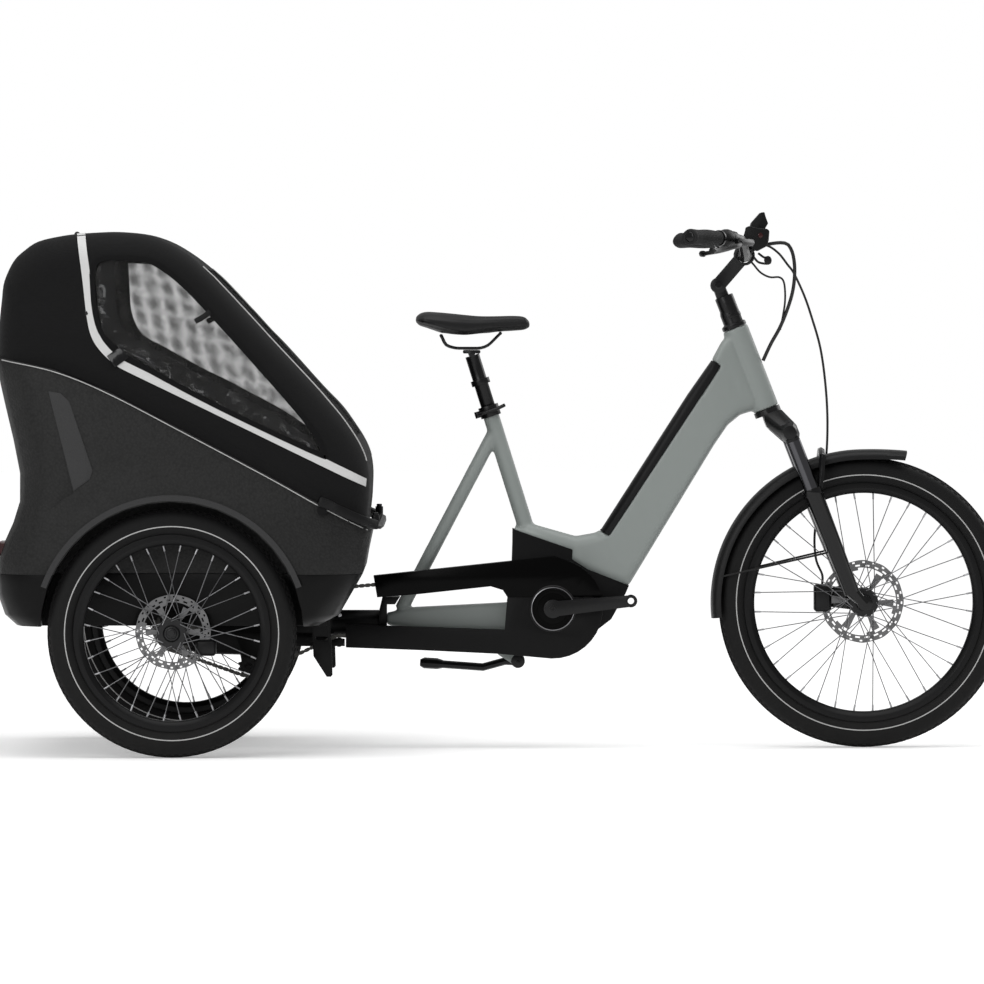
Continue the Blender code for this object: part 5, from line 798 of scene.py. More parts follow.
for place, wheel in wheelSet.items():
    wheel["place"] = place
    for build in (buildTyre, buildRim, buildSpokes, buildHub, buildRotor):
        build(wheel)
print("wheels built")


# hood

hoodShape = {
    # (x, z) of the roof's line, the box's rim, the side window and the stripe
    "line": [(-1.079, 0.8485), (-1.0765, 0.91), (-1.073, 0.97), (-1.069, 1.008), (-1.049, 1.049), (-1.024, 1.073),
             (-0.995, 1.091), (-0.9462, 1.103), (-0.9, 1.109), (-0.83, 1.113), (-0.7698, 1.1083), (-0.73, 1.096),
             (-0.6906, 1.0735), (-0.6505, 1.043), (-0.6105, 1.0054), (-0.54, 0.93), (-0.47, 0.855), (-0.3945, 0.7723),
             (-0.36, 0.734), (-0.334, 0.701), (-0.312, 0.668), (-0.2975, 0.635), (-0.2915, 0.595), (-0.2925, 0.55),
             (-0.296, 0.515), (-0.2985, 0.488)],
    "rim": [(-1.13, 0.848), (-1.068, 0.8438), (-0.955, 0.8185), (-0.843, 0.7733), (-0.674, 0.686), (-0.504, 0.596),
            (-0.397, 0.5366), (-0.286, 0.4794), (-0.24, 0.455)],
    "sideWindow": [(-0.8787, 1.0216), (-0.87, 1.045), (-0.845, 1.0545), (-0.788, 1.0529), (-0.7543, 1.0472),
                   (-0.7092, 1.0187), (-0.6531, 0.966), (-0.5286, 0.8295), (-0.421, 0.7053), (-0.3873, 0.645),
                   (-0.4042, 0.6433), (-0.6193, 0.7449), (-0.7994, 0.8415), (-0.8281, 0.8635), (-0.8587, 0.8974),
                   (-0.8728, 0.9482)],
    "stripe": [(-0.903, 1.101), (-0.8914, 1.0206), (-0.8798, 0.928), (-0.8693, 0.8879), (-0.8503, 0.8606),
               (-0.8251, 0.8374), (-0.7998, 0.8226), (-0.68, 0.765), (-0.55, 0.702), (-0.42, 0.639), (-0.33, 0.5955),
               (-0.299, 0.5805)],
    "frontWindowHalf": 0.27, "frontWindowX": (-0.64, -0.318), "foot": (-0.6, 0.38), "halfLow": 0.424,
    "halfLowHeight": 0.56, "taper": 0.165, "rounding": 0.06, "sideColumns": 34, "roofColumns": 44, "rowSpacing": 0.0115,
    "clothThick": 0.0016, "filmThick": 0.0008, "fold": 0.0022, "netIn": 0.0045,
}


def insideOutline(x, z, outline):
    inside = False
    for (ax, az), (bx, bz) in zip(outline, outline[1:] + outline[:1]):
        if (az > z) != (bz > z) and x < ax + (z - az) * (bx - ax) / (bz - az):
            inside = not inside
    return inside


def nearestOnOutline(x, z, outline):
    best, spot = 1e9, (x, z)
    for (ax, az), (bx, bz) in zip(outline, outline[1:] + outline[:1]):
        lengthSquared = (bx - ax) ** 2 + (bz - az) ** 2
        t = max(0.0, min(1.0, ((x - ax) * (bx - ax) + (z - az) * (bz - az)) / max(lengthSquared, 1e-12)))
        px, pz = ax + t * (bx - ax), az + t * (bz - az)
        far = math.hypot(px - x, pz - z)
        if far < best:
            best, spot = far, (px, pz)
    return best, spot


def rayToLine(foot, ahead, line):
    # how far along the ray it meets the line
    best = None
    for (ax, az), (bx, bz) in zip(line, line[1:]):
        ex, ez = bx - ax, bz - az
        turn = ahead[0] * ez - ahead[1] * ex
        if abs(turn) < 1e-9:
            continue
        t = ((ax - foot[0]) * ez - (az - foot[1]) * ex) / turn
        share = ((ax - foot[0]) * ahead[1] - (az - foot[1]) * ahead[0]) / turn
        if t > 0 and -1e-6 <= share <= 1 + 1e-6:
            best = t if best is None else max(best, t)
    return best


def hoodHalf(z):
    return hoodShape["halfLow"] - hoodShape["taper"] * (z - hoodShape["halfLowHeight"])


def hoodGrid():
    # rows run along the roof line, columns from the right rim over the roof to the left rim
    foot, r = hoodShape["foot"], hoodShape["rounding"]
    sideCount, roofCount = hoodShape["sideColumns"], hoodShape["roofColumns"]
    rows = []
    for point in drawnSide(hoodShape["line"], hoodShape["rowSpacing"]):
        ux, uz = point.x - foot[0], point.z - foot[1]
        far = math.hypot(ux, uz)
        ux, uz = ux / far, uz / far
        near = min(rayToLine(foot, (ux, uz), hoodShape["rim"]) or far, far - 0.0015)
        startAngle = 0.0 if far - r >= near else math.asin(min(1.0, (near - far + r) / r))
        flatLength = max(0.0, far - r - near)
        arcLength = r * (math.pi / 2 - startAngle)
        column = []
        for j in range(sideCount + 1):
            place = (flatLength + arcLength) * j / sideCount
            if place < flatLength:
                d, back = near + place, 0.0
            else:
                angle = startAngle + (place - flatLength) / r
                d, back = far - r + r * math.sin(angle), r * (1 - math.cos(angle))
            x, z = foot[0] + ux * d, foot[1] + uz * d
            column.append(Vector((x, -(hoodHalf(z) - back), z)))
        edge = column[-1]
        roof = [Vector((edge.x, edge.y + (-2 * edge.y) * j / roofCount, edge.z)) for j in range(1, roofCount)]
        rows.append(column + roof + [Vector((p.x, -p.y, p.z)) for p in reversed(column)])
    return rows


def facedOut(shape, inward):
    # recalculates the normals; turns them all round if they sum up to the wrong way
    bmesh.ops.recalc_face_normals(shape, faces=shape.faces)
    if sum(inward(face) for face in shape.faces) < 0:
        bmesh.ops.reverse_faces(shape, faces=shape.faces)


def cutOut(shape, width):
    # gives the windows' faces indices of their own: 1 right, 2 left, 3 front; then straightens their edges
    sideCount, roofCount = hoodShape["sideColumns"], hoodShape["roofColumns"]
    sideWindow, half = hoodShape["sideWindow"], hoodShape["frontWindowHalf"]
    low, high = hoodShape["frontWindowX"]
    frontWindow = [(low, -half), (high, -half), (high, half), (low, half)]
    for face in shape.faces:
        spot = face.calc_center_median()
        column = min(vert.index % width for vert in face.verts)
        onSide = column < sideCount - 6 or column >= sideCount + roofCount + 6
        onRoof = sideCount <= column < sideCount + roofCount
        face.material_index = 0
        if onSide and insideOutline(spot.x, spot.z, sideWindow):
            face.material_index = 1 if spot.y < 0 else 2
        elif onRoof and insideOutline(spot.x, spot.y, frontWindow):
            face.material_index = 3
    for vert in shape.verts:
        kinds = {face.material_index for face in vert.link_faces}
        if len(kinds) > 1 and 3 in kinds:
            _, spot = nearestOnOutline(vert.co.x, vert.co.y, frontWindow)
            if abs(vert.co.x - spot[0]) < abs(vert.co.y - spot[1]):
                vert.co.y = spot[1]
        elif len(kinds) > 1:
            _, spot = nearestOnOutline(vert.co.x, vert.co.z, sideWindow)
            vert.co = Vector((spot[0], hoodHalf(spot[1]) * (1 if vert.co.y > 0 else -1), spot[1]))


foldShape = {
    # stretch of two noise fields along x, y and z, and how near a hem, seam or window they fade
    "broad": (5.0, 2.2, 9.0), "fine": (14.0, 6.0, 17.0), "fineShift": 3, "fineShare": 0.5, "hemFade": 0.05,
    "seamFade": 0.035, "windowShare": 0.35, "sag": 0.0035, "sagHalf": 0.36, "sagWithin": 0.3, "sagShare": 0.6,
}


def folded(shape):
    # soft folds that fade near the hems, the hoop and the windows
    shape.normal_update()
    moved = []
    seamLine = hoodShape["stripe"] + hoodShape["stripe"][::-1]
    (bx, by, bz), (fx, fy, fz) = foldShape["broad"], foldShape["fine"]
    for vert in shape.verts:
        x, y, z = vert.co
        kinds = {face.material_index for face in vert.link_faces}
        hem = min(1.0, nearestOnOutline(x, z, hoodShape["rim"])[0] / foldShape["hemFade"])
        seam = min(1.0, nearestOnOutline(x, z, seamLine)[0] / foldShape["seamFade"])
        wave = noise.noise(Vector((x * bx, y * by, z * bz)))
        wave += foldShape["fineShare"] * noise.noise(Vector((x * fx + foldShape["fineShift"], y * fy, z * fz)))
        sag = 0.0
        if 3 in kinds or abs(y) < foldShape["sagWithin"]:
            share = (foldShape["sagHalf"] - abs(y)) / foldShape["sagHalf"]
            sag = foldShape["sag"] * math.sin(math.pi * min(1.0, max(0.0, share)))
        amount = hoodShape["fold"] * (foldShape["windowShare"] if kinds != {0} else 1.0) * hem * seam
        moved.append(vert.normal * (wave * amount - sag * hem * foldShape["sagShare"]))
    for vert, shift in zip(shape.verts, moved):
        vert.co += shift


def buildHood():
    rows = hoodGrid()
    width = len(rows[0])
    cloth = fromPoints("hoodCloth", [point for row in rows for point in row], gridFaces(len(rows), width))
    shape = bmesh.new()
    shape.from_mesh(cloth.data)
    shape.verts.ensure_lookup_table()
    inside = Vector((-0.7, 0, 0.75))
    facedOut(shape, lambda face: face.normal.dot(face.calc_center_median() - inside))
    cutOut(shape, width)
    folded(shape)
    shape.to_mesh(cloth.data)
    shape.free()
    for _ in range(4):
        cloth.data.materials.append(None)
    surface = surfaceOf(cloth)
    edited(cloth, (meshOps.separate, {"type": "MATERIAL"}))
    parts = list(bpy.context.selected_objects)
    largest = max(parts, key=lambda obj: len(obj.data.polygons))
    pieces = {}
    for obj in parts:
        middle = sum(vert.co.y for vert in obj.data.vertices) / len(obj.data.vertices)
        pieces[0 if obj == largest else 1 if middle < -0.2 else 2 if middle > 0.2 else 3] = obj
    return pieces, surface


def onHood(obj, name, material, angle=60):
    finished(obj, name, material, "hood", angle=angle)


hoodPieces, hoodSurface = buildHood()
netMeshes = {kind: hoodPieces[kind].data.copy() for kind in (1, 2)}
thickened(hoodPieces[0], hoodShape["clothThick"], -1.0)
finished(hoodPieces[0], "hoodCover", hoodCloth, "hood", ("canopy",), 60)
sideCut = (0.2, 0.62)
windows = (("windowFilmRight", "window_right", sideCut), ("windowFilmLeft", "window_left", sideCut),
           ("windowFilmFront", "window_front", (0.54, 0.5)))
for kind, (name, node, cut) in enumerate(windows, 1):
    film = hoodPieces[kind]
    thickened(film, hoodShape["filmThick"], -1.0)
    finished(film, name, windowFilm, "hood", (node,), 60)


def roofSpot(x, y, z):
    # a point on the roof, met from inside the hood, and the way it faces
    middle = Vector((-0.7, y, 0.7))
    ahead = (Vector((x, y, z)) - middle).normalized()
    hit, normal, _, _ = hoodSurface.ray_cast(middle, ahead)
    return hit, (normal if normal.dot(ahead) > 0 else -normal)


def hoodSpots(path, side):
    return [sideSpot(hoodSurface, point.x, point.z, side) for point in path]


tapeShape = {"stripe": (0.0175, 0.0009), "bind": (0.011, 0.0012), "hem": (0.02, 0.0014), "lift": 0.0003, "hemUp": 0.012,
             "pipeIn": 0.046, "pipeRadius": 0.0019, "pipeLift": 0.0004}


def buildHoodTrim():
    pipes, binds, hems, stripes = [], [], [], []
    window = hoodShape["sideWindow"]
    hem = [(x, z + tapeShape["hemUp"]) for x, z in hoodShape["rim"] if -1.06 < x < -0.3]
    corner = [(x + 0.004, z - 0.01) for x, z in hoodShape["line"] if -0.655 < x and z > 0.6]
    tapes = ((stripes, drawnSide(hoodShape["stripe"], 0.012), tapeShape["stripe"]),
             (binds, drawnSide(window + window[:1], 0.009), tapeShape["bind"]),
             (hems, drawnSide(hem, 0.014), tapeShape["hem"]))
    for side in (-1, 1):
        for tape, path, (width, thick) in tapes:
            tape.append(band(hoodSpots(path, side), tapeShape["lift"], width, thick))
        # light piping where the side turns into the front
        path = []
        for point in drawnSide(corner, 0.012):
            hit, normal = roofSpot(point.x, side * (hoodHalf(point.z) - tapeShape["pipeIn"]), point.z)
            path.append(hit + normal * tapeShape["pipeLift"])
        pipes.append(tubePiece(path, tapeShape["pipeRadius"], 2))
    # the stripe carries on over the roof
    top, half = hoodShape["stripe"][0], 0.3
    over = [roofSpot(top[0] - 0.002, -half + 2 * half * k / 40, top[1] + 0.006) for k in range(41)]
    stripes.append(band(over, tapeShape["lift"], *tapeShape["stripe"]))
    onHood(joined(*pipes), "hoodPiping", pipingTape)
    onHood(joined(*binds), "windowBinding", bindCloth)
    onHood(joined(*hems), "hoodHem", hoodCloth)
    onHood(joined(*stripes), "hoodStripe", stripeTape)


buildHoodTrim()
print("hood trimmed")


# frame pieces that keep their shape and get softer corners and a better finish

# each node with its finish and the width of its bevel
keptPieces = {
    "lean_yoke": (blackSteel, 0.001), "battery": (batteryCase, 0.0016), "drive_unit": (blackAlloy, 0.001),
    "motor_cover": (coverPlastic, 0.0012), "chain_guard": (glossPlastic, 0.001), "chain_case": (coverPlastic, 0.001),
    "seat_collar": (blackAlloy, 0.0006), "kickstand_leg": (blackAlloy, 0.0008), "seatpost": (blackAlloy, 0.0008),
    "saddle_rails": (blackAlloy, 0.0), "seat_lever": (blackAlloy, 0.0004), "crank_right": (blackAlloy, 0.001),
    "crank_left": (blackAlloy, 0.001), "chainring": (chainSteel, 0.0002), "fork_upper": (blackAlloy, 0.0014),
    "stem_base": (blackAlloy, 0.0008), "stem_arm": (blackAlloy, 0.001), "handlebar": (blackAlloy, 0.0),
    "brake_clamp_right": (blackAlloy, 0.0006), "brake_clamp_left": (blackAlloy, 0.0006),
    "brake_lever_right": (blackAlloy, 0.0004), "brake_lever_left": (blackAlloy, 0.0004),
    "twist_shifter": (blackPlastic, 0.0004), "fork_lower": (glossAlloy, 0.0012), "front_caliper": (blackAlloy, 0.0008),
    "rear_frame": (blackSteel, 0.0014), "cargo_tub": (tubPlastic, 0.0022), "cargo_shell": (boxFoam, 0.0028),
    "bench": (benchBoard, 0.002), "front_bar": (blackSteel, 0.0), "tail_light_right": (redLens, 0.0),
    "tail_light_left": (redLens, 0.0), "tensioner_arm": (blackSteel, 0.0008),
    "tensioner_pulley": (blackPlastic, 0.0002),
    "caliper_rear_right": (blackAlloy, 0.001), "caliper_rear_left": (blackAlloy, 0.001),
    "rear_sprocket": (chainSteel, 0.0002),
}
blendShape = {
    "voxel": 0.003, "passes": 14, "share": 0.5, "wall": ((0.493, 0.0293, 0.772), (0.507, 0.0324, 0.793)),
    "tube": ((-0.0348, 0, 0.7223), (0.0347, 0, 0.4999), 0.0172),
}


def buildFrame():
    # the painted frame, its tubes run into each other with soft fillets
    (x0, inner, z0), (x1, outer, z1) = blendShape["wall"]
    # the thin seat tube and side walls are filled first, so that the fine mesh stays closed
    fills = [rod(*blendShape["tube"], 32)]
    fills += [block((x0, y0, z0), (x1, y1, z1)) for y0, y1 in ((-outer, -inner), (inner, outer))]
    piece = joined(refinedCopy("main_frame", 0.0), *fills)
    applyModifier(piece, "REMESH", mode="VOXEL", voxel_size=blendShape["voxel"])
    applyModifier(piece, "SMOOTH", factor=blendShape["share"], iterations=blendShape["passes"])
    finished(piece, "mainFrameFine", framePaint, "rider_frame", ("main_frame",), 50)
    print("frame blended:", len(piece.data.polygons), "faces")


buildFrame()
for node, (material, bevel) in keptPieces.items():
    finished(refinedCopy(node, bevel), node + "Fine", material, bodyOfNode[node], (node,), 34)
print("frame pieces finished")


# padded pieces

padShape = {"voxel": 0.006, "pressure": 4.0, "frames": 20, "cap": 0.006, "corner": 0.012, "seamWidth": 0.007}


def blownUp(pad):
    # the stuffing presses the cloth out from inside
    pick(pad)
    cloth = pad.modifiers.new("stuffing", "CLOTH")
    cloth.settings.use_pressure = True
    cloth.settings.uniform_pressure_force = padShape["pressure"]
    cloth.settings.effector_weights.gravity = 0.0
    for step in range(1, padShape["frames"] + 1):
        bpy.context.scene.frame_set(step)
    bpy.ops.object.modifier_apply(modifier=cloth.name)
    bpy.context.scene.frame_set(1)


def stuffedPad(size, stand, seams):
    # a slab blown up as sewn cloth; seams are (axis, place, depth) lines drawn in on its face
    half, cap = Vector(size) / 2, padShape["cap"]
    pad = block(-half, half, padShape["corner"])
    applyModifier(pad, "REMESH", mode="VOXEL", voxel_size=padShape["voxel"])
    rest = [vert.co.copy() for vert in pad.data.vertices]
    blownUp(pad)
    for vert, start in zip(pad.data.vertices, rest):
        move = vert.co - start
        if move.length > cap:
            vert.co = start + move.normalized() * cap
        vert.co.z = max(vert.co.z, -half.z)
        edgePull = max(abs(start.x) / half.x, abs(start.y) / half.y)
        if vert.co.z > -half.z + 0.001:
            for axis, place, depth in seams:
                away = vert.co[axis] - place
                vert.co.z -= depth * math.exp(-(away / padShape["seamWidth"]) ** 2) * max(0.0, 1 - edgePull**8)
    pad.data.transform(stand)
    return applyModifier(pad, "SUBSURF", levels=1, render_levels=1)


def standAt(centre, ahead, out):
    # x runs along ahead, z along out
    ahead, out = Vector(ahead).normalized(), Vector(out).normalized()
    stand = Matrix((ahead, out.cross(ahead), out)).transposed().to_4x4()
    stand.translation = Vector(centre)
    return stand


cushionShape = {
    "seatSize": (0.236, 0.566, 0.03), "seatCentre": (-0.8205, 0.0, 0.5305), "seatAhead": (1.0, 0.0, 0.0453),
    "seatSeams": [(1, 0.0, 0.011), (1, -0.143, 0.005), (1, 0.143, 0.005), (0, 0.045, 0.004)],
    "backSize": (0.214, 0.566, 0.03), "backCentre": (-0.9726, 0.0, 0.6735), "backUp": (-0.2051, 0.0, 0.9787),
    "backSeams": [(1, 0.0, 0.011), (1, -0.19, 0.005), (1, 0.19, 0.005), (1, -0.095, 0.005), (1, 0.095, 0.005),
                  (0, 0.05, 0.004)],
}
harnessShape = {
    "middles": (-0.143, 0.143), "apart": (-0.052, 0.052), "top": 0.764, "drop": 0.15, "narrow": 0.72,
    "crotchBack": -0.905, "crotchLong": 0.085, "strap": (0.025, 0.0016), "pad": (0.04, 0.006), "lift": 0.0006,
    "padLift": 0.002, "steps": 16, "padFrom": 2, "padTo": 11, "crotchSteps": 12,
    # a buckle's size, its low corner from the strap's end, its lift, its knob's middle and radius
    "buckle": (0.012, 0.044, 0.048), "buckleLow": (-0.022, -0.034), "buckleLift": 0.0016,
    "knobAt": (0.012, 0.022, 0.024), "knobHigh": 0.0022, "knob": 0.0105,
}


def onSeat(obj, name, material, angle, stands=()):
    return finished(obj, name, material, "rear_module", stands, angle)


def buildCushions():
    ahead, up = (Vector(cushionShape[key]).normalized() for key in ("seatAhead", "backUp"))
    out = Vector((up.z, 0, -up.x))
    seatStand = standAt(cushionShape["seatCentre"], ahead, ahead.cross((0, 1, 0)))
    seat = stuffedPad(cushionShape["seatSize"], seatStand, cushionShape["seatSeams"])
    onSeat(seat, "seatPad", cushionCloth, 70, ("bench_cushion",))
    back = stuffedPad(cushionShape["backSize"], standAt(cushionShape["backCentre"], up, out), cushionShape["backSeams"])
    onSeat(back, "backPad", cushionCloth, 70, ("bench_cushion",))
    return seat, back, out


def buildHarness(seat, back, out):
    # two shoulder straps, a crotch strap and a buckle for each child
    backFace, seatFace = surfaceOf(back), surfaceOf(seat)
    lift, steps, crotchSteps = (harnessShape[key] for key in ("lift", "steps", "crotchSteps"))
    lowY, lowZ = harnessShape["buckleLow"]
    straps, pads, buckles = [], [], []
    for middle in harnessShape["middles"]:
        for apart in harnessShape["apart"]:
            points = []
            for k in range(steps + 1):
                t = k / steps
                y = middle + apart * (1.0 - harnessShape["narrow"] * t)
                start = Vector((-0.7, y, harnessShape["top"] - harnessShape["drop"] * t))
                points.append(backFace.ray_cast(start, Vector((-1, 0, 0)))[0] + out * lift)
            straps.append(ribbon(points, [out] * len(points), *harnessShape["strap"]))
            raised = [p + out * harnessShape["padLift"] for p in points[harnessShape["padFrom"]:harnessShape["padTo"]]]
            pads.append(ribbon(raised, [out] * len(raised), *harnessShape["pad"]))
        low = Vector((points[-1].x, middle + lowY, points[-1].z + lowZ)) + out * harnessShape["buckleLift"]
        knob = low + Vector(harnessShape["knobAt"])
        buckles.append(block(low, low + Vector(harnessShape["buckle"]), 0.0045))
        buckles.append(rod(knob, knob + Vector((harnessShape["knobHigh"], 0, 0)), harnessShape["knob"], 24, 0.0007))
        points = []
        for k in range(crotchSteps + 1):
            start = Vector((harnessShape["crotchBack"] + harnessShape["crotchLong"] * k / crotchSteps, middle, 0.7))
            points.append(seatFace.ray_cast(start, Vector((0, 0, -1)))[0] + Vector((0, 0, lift)))
        straps.append(ribbon(points, [Vector((0, 0, 1))] * len(points), *harnessShape["strap"]))
    onSeat(joined(*straps), "harnessStraps", strapWeb, 50)
    onSeat(softened(joined(*pads), 0.002), "shoulderPads", cushionCloth, 50)
    onSeat(joined(*buckles), "harnessBuckles", blackPlastic, 40)


buildHarness(*buildCushions())
print("cushions stuffed")


saddleShape = {
    "head": (-0.07502, 0.0, 0.85115), "stations": 46, "around": 40, "skirt": 0.0446, "easing": 0.035,
    "sidePower": 0.62, "topPower": 0.72, "fineStep": 0.0003, "baseBelow": -0.55,
    # depth and power of the crown; depth, half width and fade of the channel; place and share of the seam;
    # where the underside begins and how much it draws in
    "crown": (0.0045, 2.5), "channel": (0.003, 0.01, 0.05), "seam": (3, 0.975), "under": (-0.35, 0.9),
    # from tail to nose: place, top, low and half the width
    "sections": [(-0.121, 0.079, 0.069, 0.052), (-0.113, 0.087, 0.061, 0.075), (-0.098, 0.0915, 0.056, 0.086),
                 (-0.072, 0.0905, 0.047, 0.083), (-0.043, 0.088, 0.038, 0.07), (-0.013, 0.085, 0.035, 0.051),
                 (0.018, 0.0825, 0.041, 0.037), (0.053, 0.0825, 0.047, 0.028), (0.09, 0.0832, 0.0495, 0.023),
                 (0.114, 0.0805, 0.052, 0.019), (0.1255, 0.069, 0.058, 0.01)],
}


def buildSaddle():
    # rings from tail to nose: crowned, with a shallow channel down the middle and a seam round the side
    sections = saddleShape["sections"]
    tops = drawnPath([(x, half, top) for x, top, _, half in sections], saddleShape["fineStep"])
    lows = drawnPath([(x, half, low) for x, _, low, half in sections], saddleShape["fineStep"])
    (crown, crownPower), (channel, channelHalf, channelFade) = saddleShape["crown"], saddleShape["channel"]
    (seamAt, seamShare), (underFrom, underShare) = saddleShape["seam"], saddleShape["under"]
    count, around = saddleShape["stations"], saddleShape["around"]
    head = Vector(saddleShape["head"])
    points, faces = [], []
    for i in range(count):
        t = i / (count - 1)
        t -= saddleShape["easing"] * math.sin(2 * math.pi * t)
        x = sections[0][0] + (sections[-1][0] - sections[0][0]) * t
        top, low = (min(line, key=lambda p: abs(p.x - x)) for line in (tops, lows))
        half, middle, high = top.y, (top.z + low.z) / 2, (top.z - low.z) / 2
        for k in range(around):
            turn = 2 * math.pi * k / around
            c, s = math.cos(turn), math.sin(turn)
            y = half * math.copysign(abs(c) ** saddleShape["sidePower"], c)
            z = middle + high * math.copysign(abs(s) ** saddleShape["topPower"], s)
            if s > 0:
                z -= crown * (abs(y) / max(half, 0.01)) ** crownPower
                z -= channel * math.exp(-(y / channelHalf) ** 2) * min(1.0, half / channelFade)
            if k in (seamAt, around // 2 - seamAt):
                y *= seamShare
            if s < underFrom:
                y *= underShare
                z = max(z, low.z + max(0.0, saddleShape["skirt"] - low.z) * (1 - min(1.0, abs(y) / half) ** 2))
            points.append(head + Vector((x, y, z)))
    for i in range(0, (count - 1) * around, around):
        for k in range(around):
            n = (k + 1) % around
            faces.append((i + k, i + n, i + around + n, i + around + k))
    faces.append(tuple(range(around)))
    faces.append(tuple((count - 1) * around + k for k in reversed(range(around))))
    saddle = cleaned(fromPoints("saddle", points, faces))
    saddle.data.materials.append(saddleCover)
    saddle.data.materials.append(blackPlastic)
    for face in saddle.data.polygons:
        face.material_index = 1 if face.normal.z < saddleShape["baseBelow"] else 0
    applyModifier(saddle, "SUBSURF", levels=1, render_levels=1)
    finished(saddle, "saddlePad", None, "seat", ("saddle",), 60)


buildSaddle()
print("saddle built")


# cables: where each bends from one body to the next, its node, its radius and its path

toFrame = ("steerer", "rider_frame", (0.59, 0, 1.0), (0.59, 0, 0.915))
toFork = ("fork_lowers", "steerer", (0.68, 0, 0.64), (0.65, 0, 0.88))
cables = {
    "cableBundle": (toFrame, ("cable_bundle",), 0.004, [
        (0.5262, -0.04, 1.0708), (0.54833, -0.04, 1.08391), (0.5968, -0.045, 1.0905), (0.6143, -0.045, 1.0756),
        (0.6216, -0.042, 1.0385), (0.6191, -0.038, 0.9939), (0.6091, -0.03, 0.9544), (0.5919, -0.018, 0.9097),
        (0.572, -0.006, 0.8726), (0.55544, 0.0, 0.83629)]),
    "frontBrakeHose": (toFork, ("front_brake_hose",), 0.0026, [
        (0.5235, 0.05, 1.068), (0.542, 0.05, 1.079), (0.56433, 0.05, 1.08591), (0.59, 0.0525, 1.07),
        (0.6113, 0.055, 1.0435), (0.6242, 0.058, 1.0262), (0.6464, 0.062, 0.9792), (0.6637, 0.064, 0.9296),
        (0.6829, 0.068, 0.8621), (0.6941, 0.07, 0.7818), (0.6986, 0.074, 0.702), (0.696, 0.088, 0.62),
        (0.684, 0.096, 0.54), (0.672, 0.092, 0.46), (0.674, 0.076, 0.405), (0.6865, 0.056, 0.3713),
        (0.6865, 0.055, 0.3513)]),
    "spareCable": (toFrame, (), 0.0022, [
        (0.5919, -0.013, 0.903), (0.5975, -0.025, 0.935), (0.601, -0.0315, 0.96), (0.6016, -0.03, 0.9848),
        (0.5985, -0.026, 1.0075), (0.5891, -0.022, 1.0165), (0.5692, -0.016, 1.0166), (0.5495, -0.01, 1.0266),
        (0.5346, -0.004, 1.0439), (0.527, 0.0, 1.053)]),
}


def layCable(name, bend, nodes, radius, points):
    path = drawnPath(points, radius * 2.2)
    cord = finished(tubePiece(path, radius), name, cableSheath, bend, nodes, 60)


for name, cable in cables.items():
    layCable(name, *cable)
print("cables laid")


# chain, link by link round its loop

chainShape = {
    "pitch": 0.0127, "y": -0.055, "plateThick": 0.001, "plateHigh": 0.004, "endHigh": 0.45, "waistHigh": 0.62,
    # half the gap between a link's plates, half the length of its rollers or pins, and their radius
    "outerLink": (0.0032, 0.0046, 0.0018), "innerLink": (0.002, 0.002, 0.0038),
    # centre, teeth (none for the round guide) and way round of each wrap
    "wraps": [((0.1, 0.302), 42, 1), ((-0.708, 0.263), 26, 1), ((-0.556, 0.1775), 11, 1), ((-0.361, 0.229), 0, -1)],
    "guide": 0.0149, "twist": ((-0.375, 0, 0.25), (-0.32, 0, 0.25)),
}


def chainLoop():
    # the closed line round the ring, sprocket, pulley and guide, as arcs joined by tangents
    pitch = chainShape["pitch"]
    wraps = []
    for (x, z), teeth, turn in chainShape["wraps"]:
        radius = pitch / (2 * math.sin(math.pi / teeth)) if teeth else chainShape["guide"]
        wraps.append((Vector((x, 0, z)), radius, turn))
    ends = []
    for i, (a, ra, ta) in enumerate(wraps):
        b, rb, tb = wraps[(i + 1) % len(wraps)]
        away = b - a
        normal = math.atan2(away.z, away.x) + math.asin((ra * ta - rb * tb) / away.length) - math.pi / 2
        aim = Vector((math.cos(normal), 0, math.sin(normal)))
        ends.append((a + aim * ra * ta, b + aim * rb * tb))
    points = []
    for i, (centre, radius, turn) in enumerate(wraps):
        arrive, leave = ends[i - 1][1] - centre, ends[i][0] - centre
        a0, a1 = math.atan2(arrive.z, arrive.x), math.atan2(leave.z, leave.x)
        sweep = (a1 - a0) % (2 * math.pi) if turn > 0 else -((a0 - a1) % (2 * math.pi))
        steps = max(2, round(abs(sweep) * radius / 0.002))
        for k in range(steps + 1):
            angle = a0 + sweep * k / steps
            points.append(centre + Vector((math.cos(angle), 0, math.sin(angle))) * radius)
    return points + points[:1]


def linkMesh(half, rollerHalf, radius):
    # two waisted side plates, and the rollers or pins between them
    pitch, high = chainShape["pitch"], chainShape["plateHigh"]
    parts = []
    for side in (-1, 1):
        plate = block((-high, side * half, -high), (pitch + high, side * (half + chainShape["plateThick"]), high))
        cuts = []
        for share in (0.0, 0.25, 0.5, 0.75, 1.0):
            cuts.append((meshOps.select_all, {"action": "SELECT"}))
            cuts.append((meshOps.bisect, {"plane_co": (pitch * share, 0, 0), "plane_no": (1, 0, 0)}))
        edited(plate, *cuts)
        for vert in plate.data.vertices:
            near = vert.co.x / pitch
            if near < -0.01 or near > 1.01:
                vert.co.z *= chainShape["endHigh"]
            elif 0.4 < near < 0.6:
                vert.co.z *= chainShape["waistHigh"]
        parts.append(plate)
    parts += [rod((x, -rollerHalf, 0), (x, rollerHalf, 0), radius, 8) for x in (0.0, pitch)]
    return joined(*parts)


